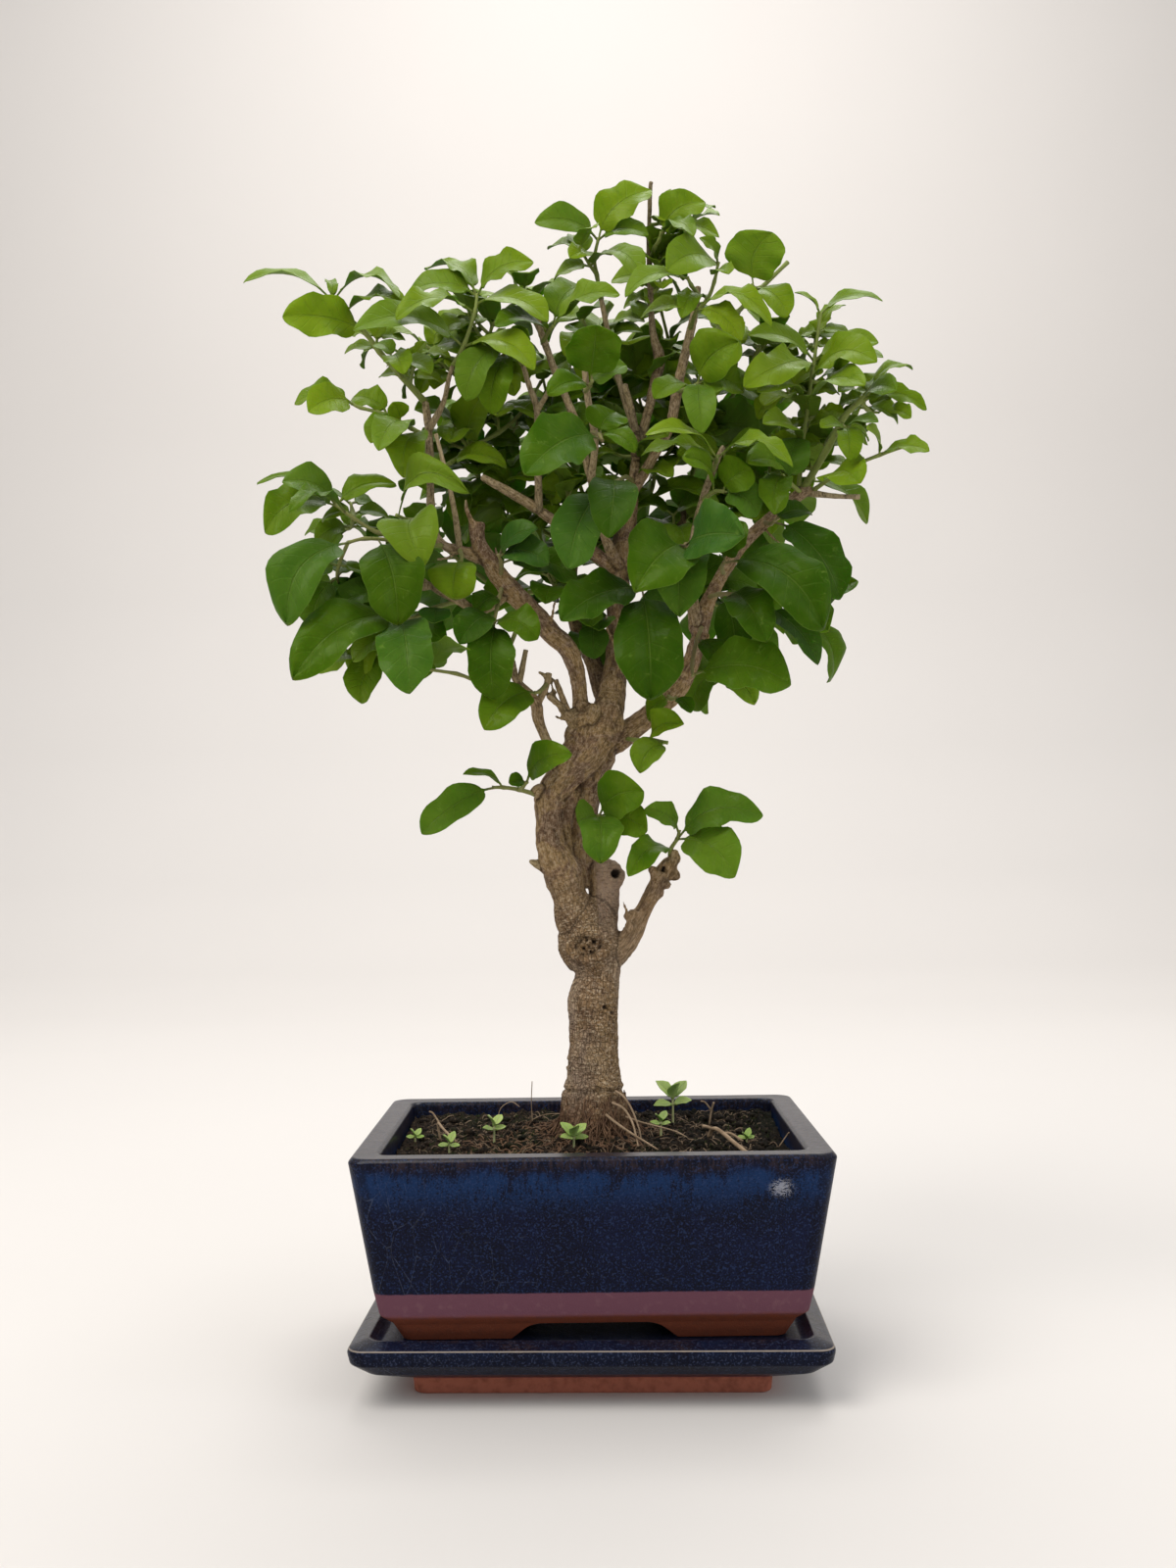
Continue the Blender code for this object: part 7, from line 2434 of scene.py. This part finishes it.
@dataclass
class Weeds:
    """The seedlings that have come up in the soil, each a piece that stands for its solid."""

    finish: Material
    pale_tone: float = 0.9
    sprouts: tuple[tuple, ...] = (
        ("sprout_left_end", -81.0, 6.0, 3.5, 5.0, 2), ("sprout_right_end", 69.0, -9.0, 3.0, 5.0, 2),
    )

    def build(self) -> None:
        """Build every seedling: a thin stem with small pointed leaves. The sprouts have no solid."""
        template = BladeTemplate(6, 8)
        for name, x, y, height, length, count in SEEDLINGS + self.sprouts:
            rule = random.Random(f"{SEED} {name}")
            ground = soil_height(x, y)
            top = Vector((x, y, ground + height))
            bm = blank_mesh()
            stem = smooth_course(((x, y, ground - 4), (x, y, ground), (x, y, top.z)), 3)
            add_tube(bm, stem, [0.5] * len(stem), 2, (0.9, 0.5, 0.0))
            for index in range(count):
                angle = math.tau * (index + 0.35) / count
                way = Vector((math.cos(angle), math.sin(angle) * 0.8, rule.uniform(0.45, 0.95)))
                blade = Blade(top - Vector((0, 0, 0.8)), top + way.normalized() * length,
                              length * 0.60, 25, 0.10, Habit.SPROUT, rule.random())
                template.add(bm, blade, self.pale_tone - rule.uniform(0.0, 0.25))
            for side in (-1, 1):
                way = Vector((side, rule.uniform(-0.6, 0.6), rule.uniform(0.0, 0.4))).normalized()
                low = Vector((x, y, ground + height * 0.72))
                blade = Blade(low, low + way * length * 0.85, length * 0.5, 25, 0.12, Habit.SPROUT,
                              rule.random())
                template.add(bm, blade, self.pale_tone - 0.2)
            solid = None if name.startswith("sprout") else name
            make_piece(name + "_looks", bm, self.finish, solid)


# Stage


@dataclass
class Studio:
    """Pale sweep of paper, soft lights, and the camera at the photograph's angle."""

    floor: Material
    camera_place: Row = (0.0, -0.687, 0.2273)
    camera_pitch: float = 92.45
    camera_roll: float = -0.7
    lens: float = 34.47
    sweep_front: float = -4.0
    sweep_run: float = 10.0
    sweep_depth: float = 1.6
    sweep_half: float = 6.0
    sweep_bend: float = 1.2

    def build_floor(self) -> None:
        """Build the floor and the sweep behind it as one curved sheet."""
        bm = bmesh.new()
        bmesh.ops.create_grid(bm, x_segments=1, y_segments=24, size=1.0)
        for vert in bm.verts:
            t = (vert.co.y + 1) / 2
            run = self.sweep_front + t * self.sweep_run
            beyond = run - self.sweep_depth
            turn = max(0.0, min(math.pi / 2, beyond / self.sweep_bend))
            upright = max(0.0, beyond - self.sweep_bend * math.pi / 2)
            vert.co = (vert.co.x * self.sweep_half,
                       min(run, self.sweep_depth) + self.sweep_bend * math.sin(turn),
                       self.sweep_bend * (1 - math.cos(turn)) + upright)
        for face in bm.faces:
            face.smooth = True
        sheet = loose_object("paper_sweep", bm)
        sheet.data.materials.append(self.floor)

    def add_light(self, name: str, place: Row, aim: Row, size: float, power: float,
                  colour: Row = (1.0, 1.0, 1.0)) -> None:
        """Add one square area light that looks at a point.

        Args:
            name: Its name.
            place: Where it hangs, in metres.
            aim: The point it looks at.
            size: Its side's length.
            power: Its power in watts.
            colour: Its colour.
        """
        light = bpy.data.lights.new(name, "AREA")
        light.size = size
        light.energy = power
        light.color = colour
        lamp = bpy.data.objects.new(name, light)
        lamp.location = place
        lamp.rotation_euler = (Vector(aim) - Vector(place)).to_track_quat("-Z", "Y").to_euler()
        bpy.context.scene.collection.objects.link(lamp)

    def build_lights(self) -> None:
        """Build the soft light: a large key from above, a fill and a pale surround."""
        self.add_light("key", (-0.9, -0.9, 1.7), (0, 0, 0.35), 1.3, 26.0, (1.0, 0.97, 0.93))
        self.add_light("fill", (1.4, -1.0, 0.9), (0, 0, 0.25), 1.4, 9.0, (0.93, 0.96, 1.0))
        self.add_light("top", (0.2, 0.5, 1.9), (0, 0, 0.3), 1.2, 12.0)
        self.add_light("paper", (0.0, 1.3, 2.4), (0, 3.0, 0.5), 1.8, 29.0, (1.0, 0.98, 0.96))
        world = bpy.data.worlds.new("surround")
        world.use_nodes = True
        back = world.node_tree.nodes["Background"]
        back.inputs["Color"].default_value = (0.92, 0.92, 0.93, 1.0)
        back.inputs["Strength"].default_value = 0.55
        bpy.context.scene.world = world

    def build_camera(self) -> None:
        """Build the camera."""
        camera = bpy.data.cameras.new("photo_camera")
        camera.lens = self.lens
        camera.sensor_width = 36.0
        holder = bpy.data.objects.new("photo_camera", camera)
        turn = (Matrix.Rotation(math.radians(self.camera_pitch), 3, "X")
                @ Matrix.Rotation(math.radians(self.camera_roll), 3, "Z"))
        holder.location = self.camera_place
        holder.rotation_euler = turn.to_euler()
        bpy.context.scene.collection.objects.link(holder)
        bpy.context.scene.camera = holder

    def build(self) -> None:
        """Build the stage."""
        bpy.context.scene.view_settings.view_transform = "Standard"
        self.build_floor()
        self.build_lights()
        self.build_camera()


FRAME: dict = {}


def frame_node(name: str) -> bpy.types.Object:
    """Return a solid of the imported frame."""
    return FRAME["nodes"][name]


def main() -> None:
    """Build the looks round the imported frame, piece by piece."""
    logging.basicConfig(level=logging.INFO, format="%(name)s: %(message)s")
    FRAME.update(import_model())
    Studio(FloorFinish("backdrop_paper").build()).build()
    pot_glaze = StonewareFinish("pot_glaze", 0.036, 0.046, 0.1026, 0.010, 0.1015,
                                (0.0765, 0.0890, 0.0055))
    Pot(pot_glaze.build()).build()
    # The tray's clay is painted lighter, as painted light on its foot from the front.
    tray_glaze = StonewareFinish("tray_glaze", 0.0075, 0.0082, 0.0290, 0.004, 0.0253, streaks=0.3,
                                 clay=(0.40, 0.135, 0.085), navy=(0.004, 0.007, 0.022),
                                 blue=(0.006, 0.014, 0.042), fleck=(0.040, 0.052, 0.098),
                                 worn=(0.30, 0.25, 0.205))
    Tray(tray_glaze.build()).build()
    screen = MeshFinish("screen_mesh").build()
    for name in ("screen_left", "screen_right"):
        frame_node(name).data.materials.clear()
        frame_node(name).data.materials.append(screen)
    Soil(SoilFinish("compost").build(),
         StrandFinish("moss_green", (0.010, 0.016, 0.005), (0.045, 0.06, 0.016)).build(),
         StrandFinish("root_tan", (0.22, 0.15, 0.09), (0.40, 0.29, 0.19)).build(),
         StrandFinish("thread_brown", (0.06, 0.038, 0.024), (0.26, 0.185, 0.12)).build(),
         StrandFinish("rootlet_rust", (0.055, 0.028, 0.016), (0.20, 0.115, 0.065)).build()).build()
    weed = LeafFinish("weed_green", (0.13, 0.25, 0.035), (0.40, 0.50, 0.17), (0.35, 0.36, 0.18))
    Weeds(weed.build()).build()
    # Lighter and darker copies of one leaf green, partly the leaves' own colours and partly painted light
    # and shade: lime for lit shoots high up, dark for shaded ones low down and inside.
    leaf = {
        "leaf_lime": LeafFinish("leaf_lime", (0.040, 0.094, 0.003), (0.160, 0.236, 0.009)),
        "leaf_mid": LeafFinish("leaf_mid", (0.032, 0.082, 0.003), (0.135, 0.208, 0.008)),
        "leaf_dark": LeafFinish("leaf_dark", (0.022, 0.058, 0.003), (0.085, 0.150, 0.005)),
        "leaf_yellow": LeafFinish("leaf_yellow", (0.046, 0.100, 0.004), (0.120, 0.185, 0.012)),
    }
    foliage = Foliage({slot: finish.build() for slot, finish in leaf.items()})
    foliage.build()
    Sprigs(foliage).build()
    Wood(BarkFinish("bark").build()).build()


if __name__ == "__main__":
    main()
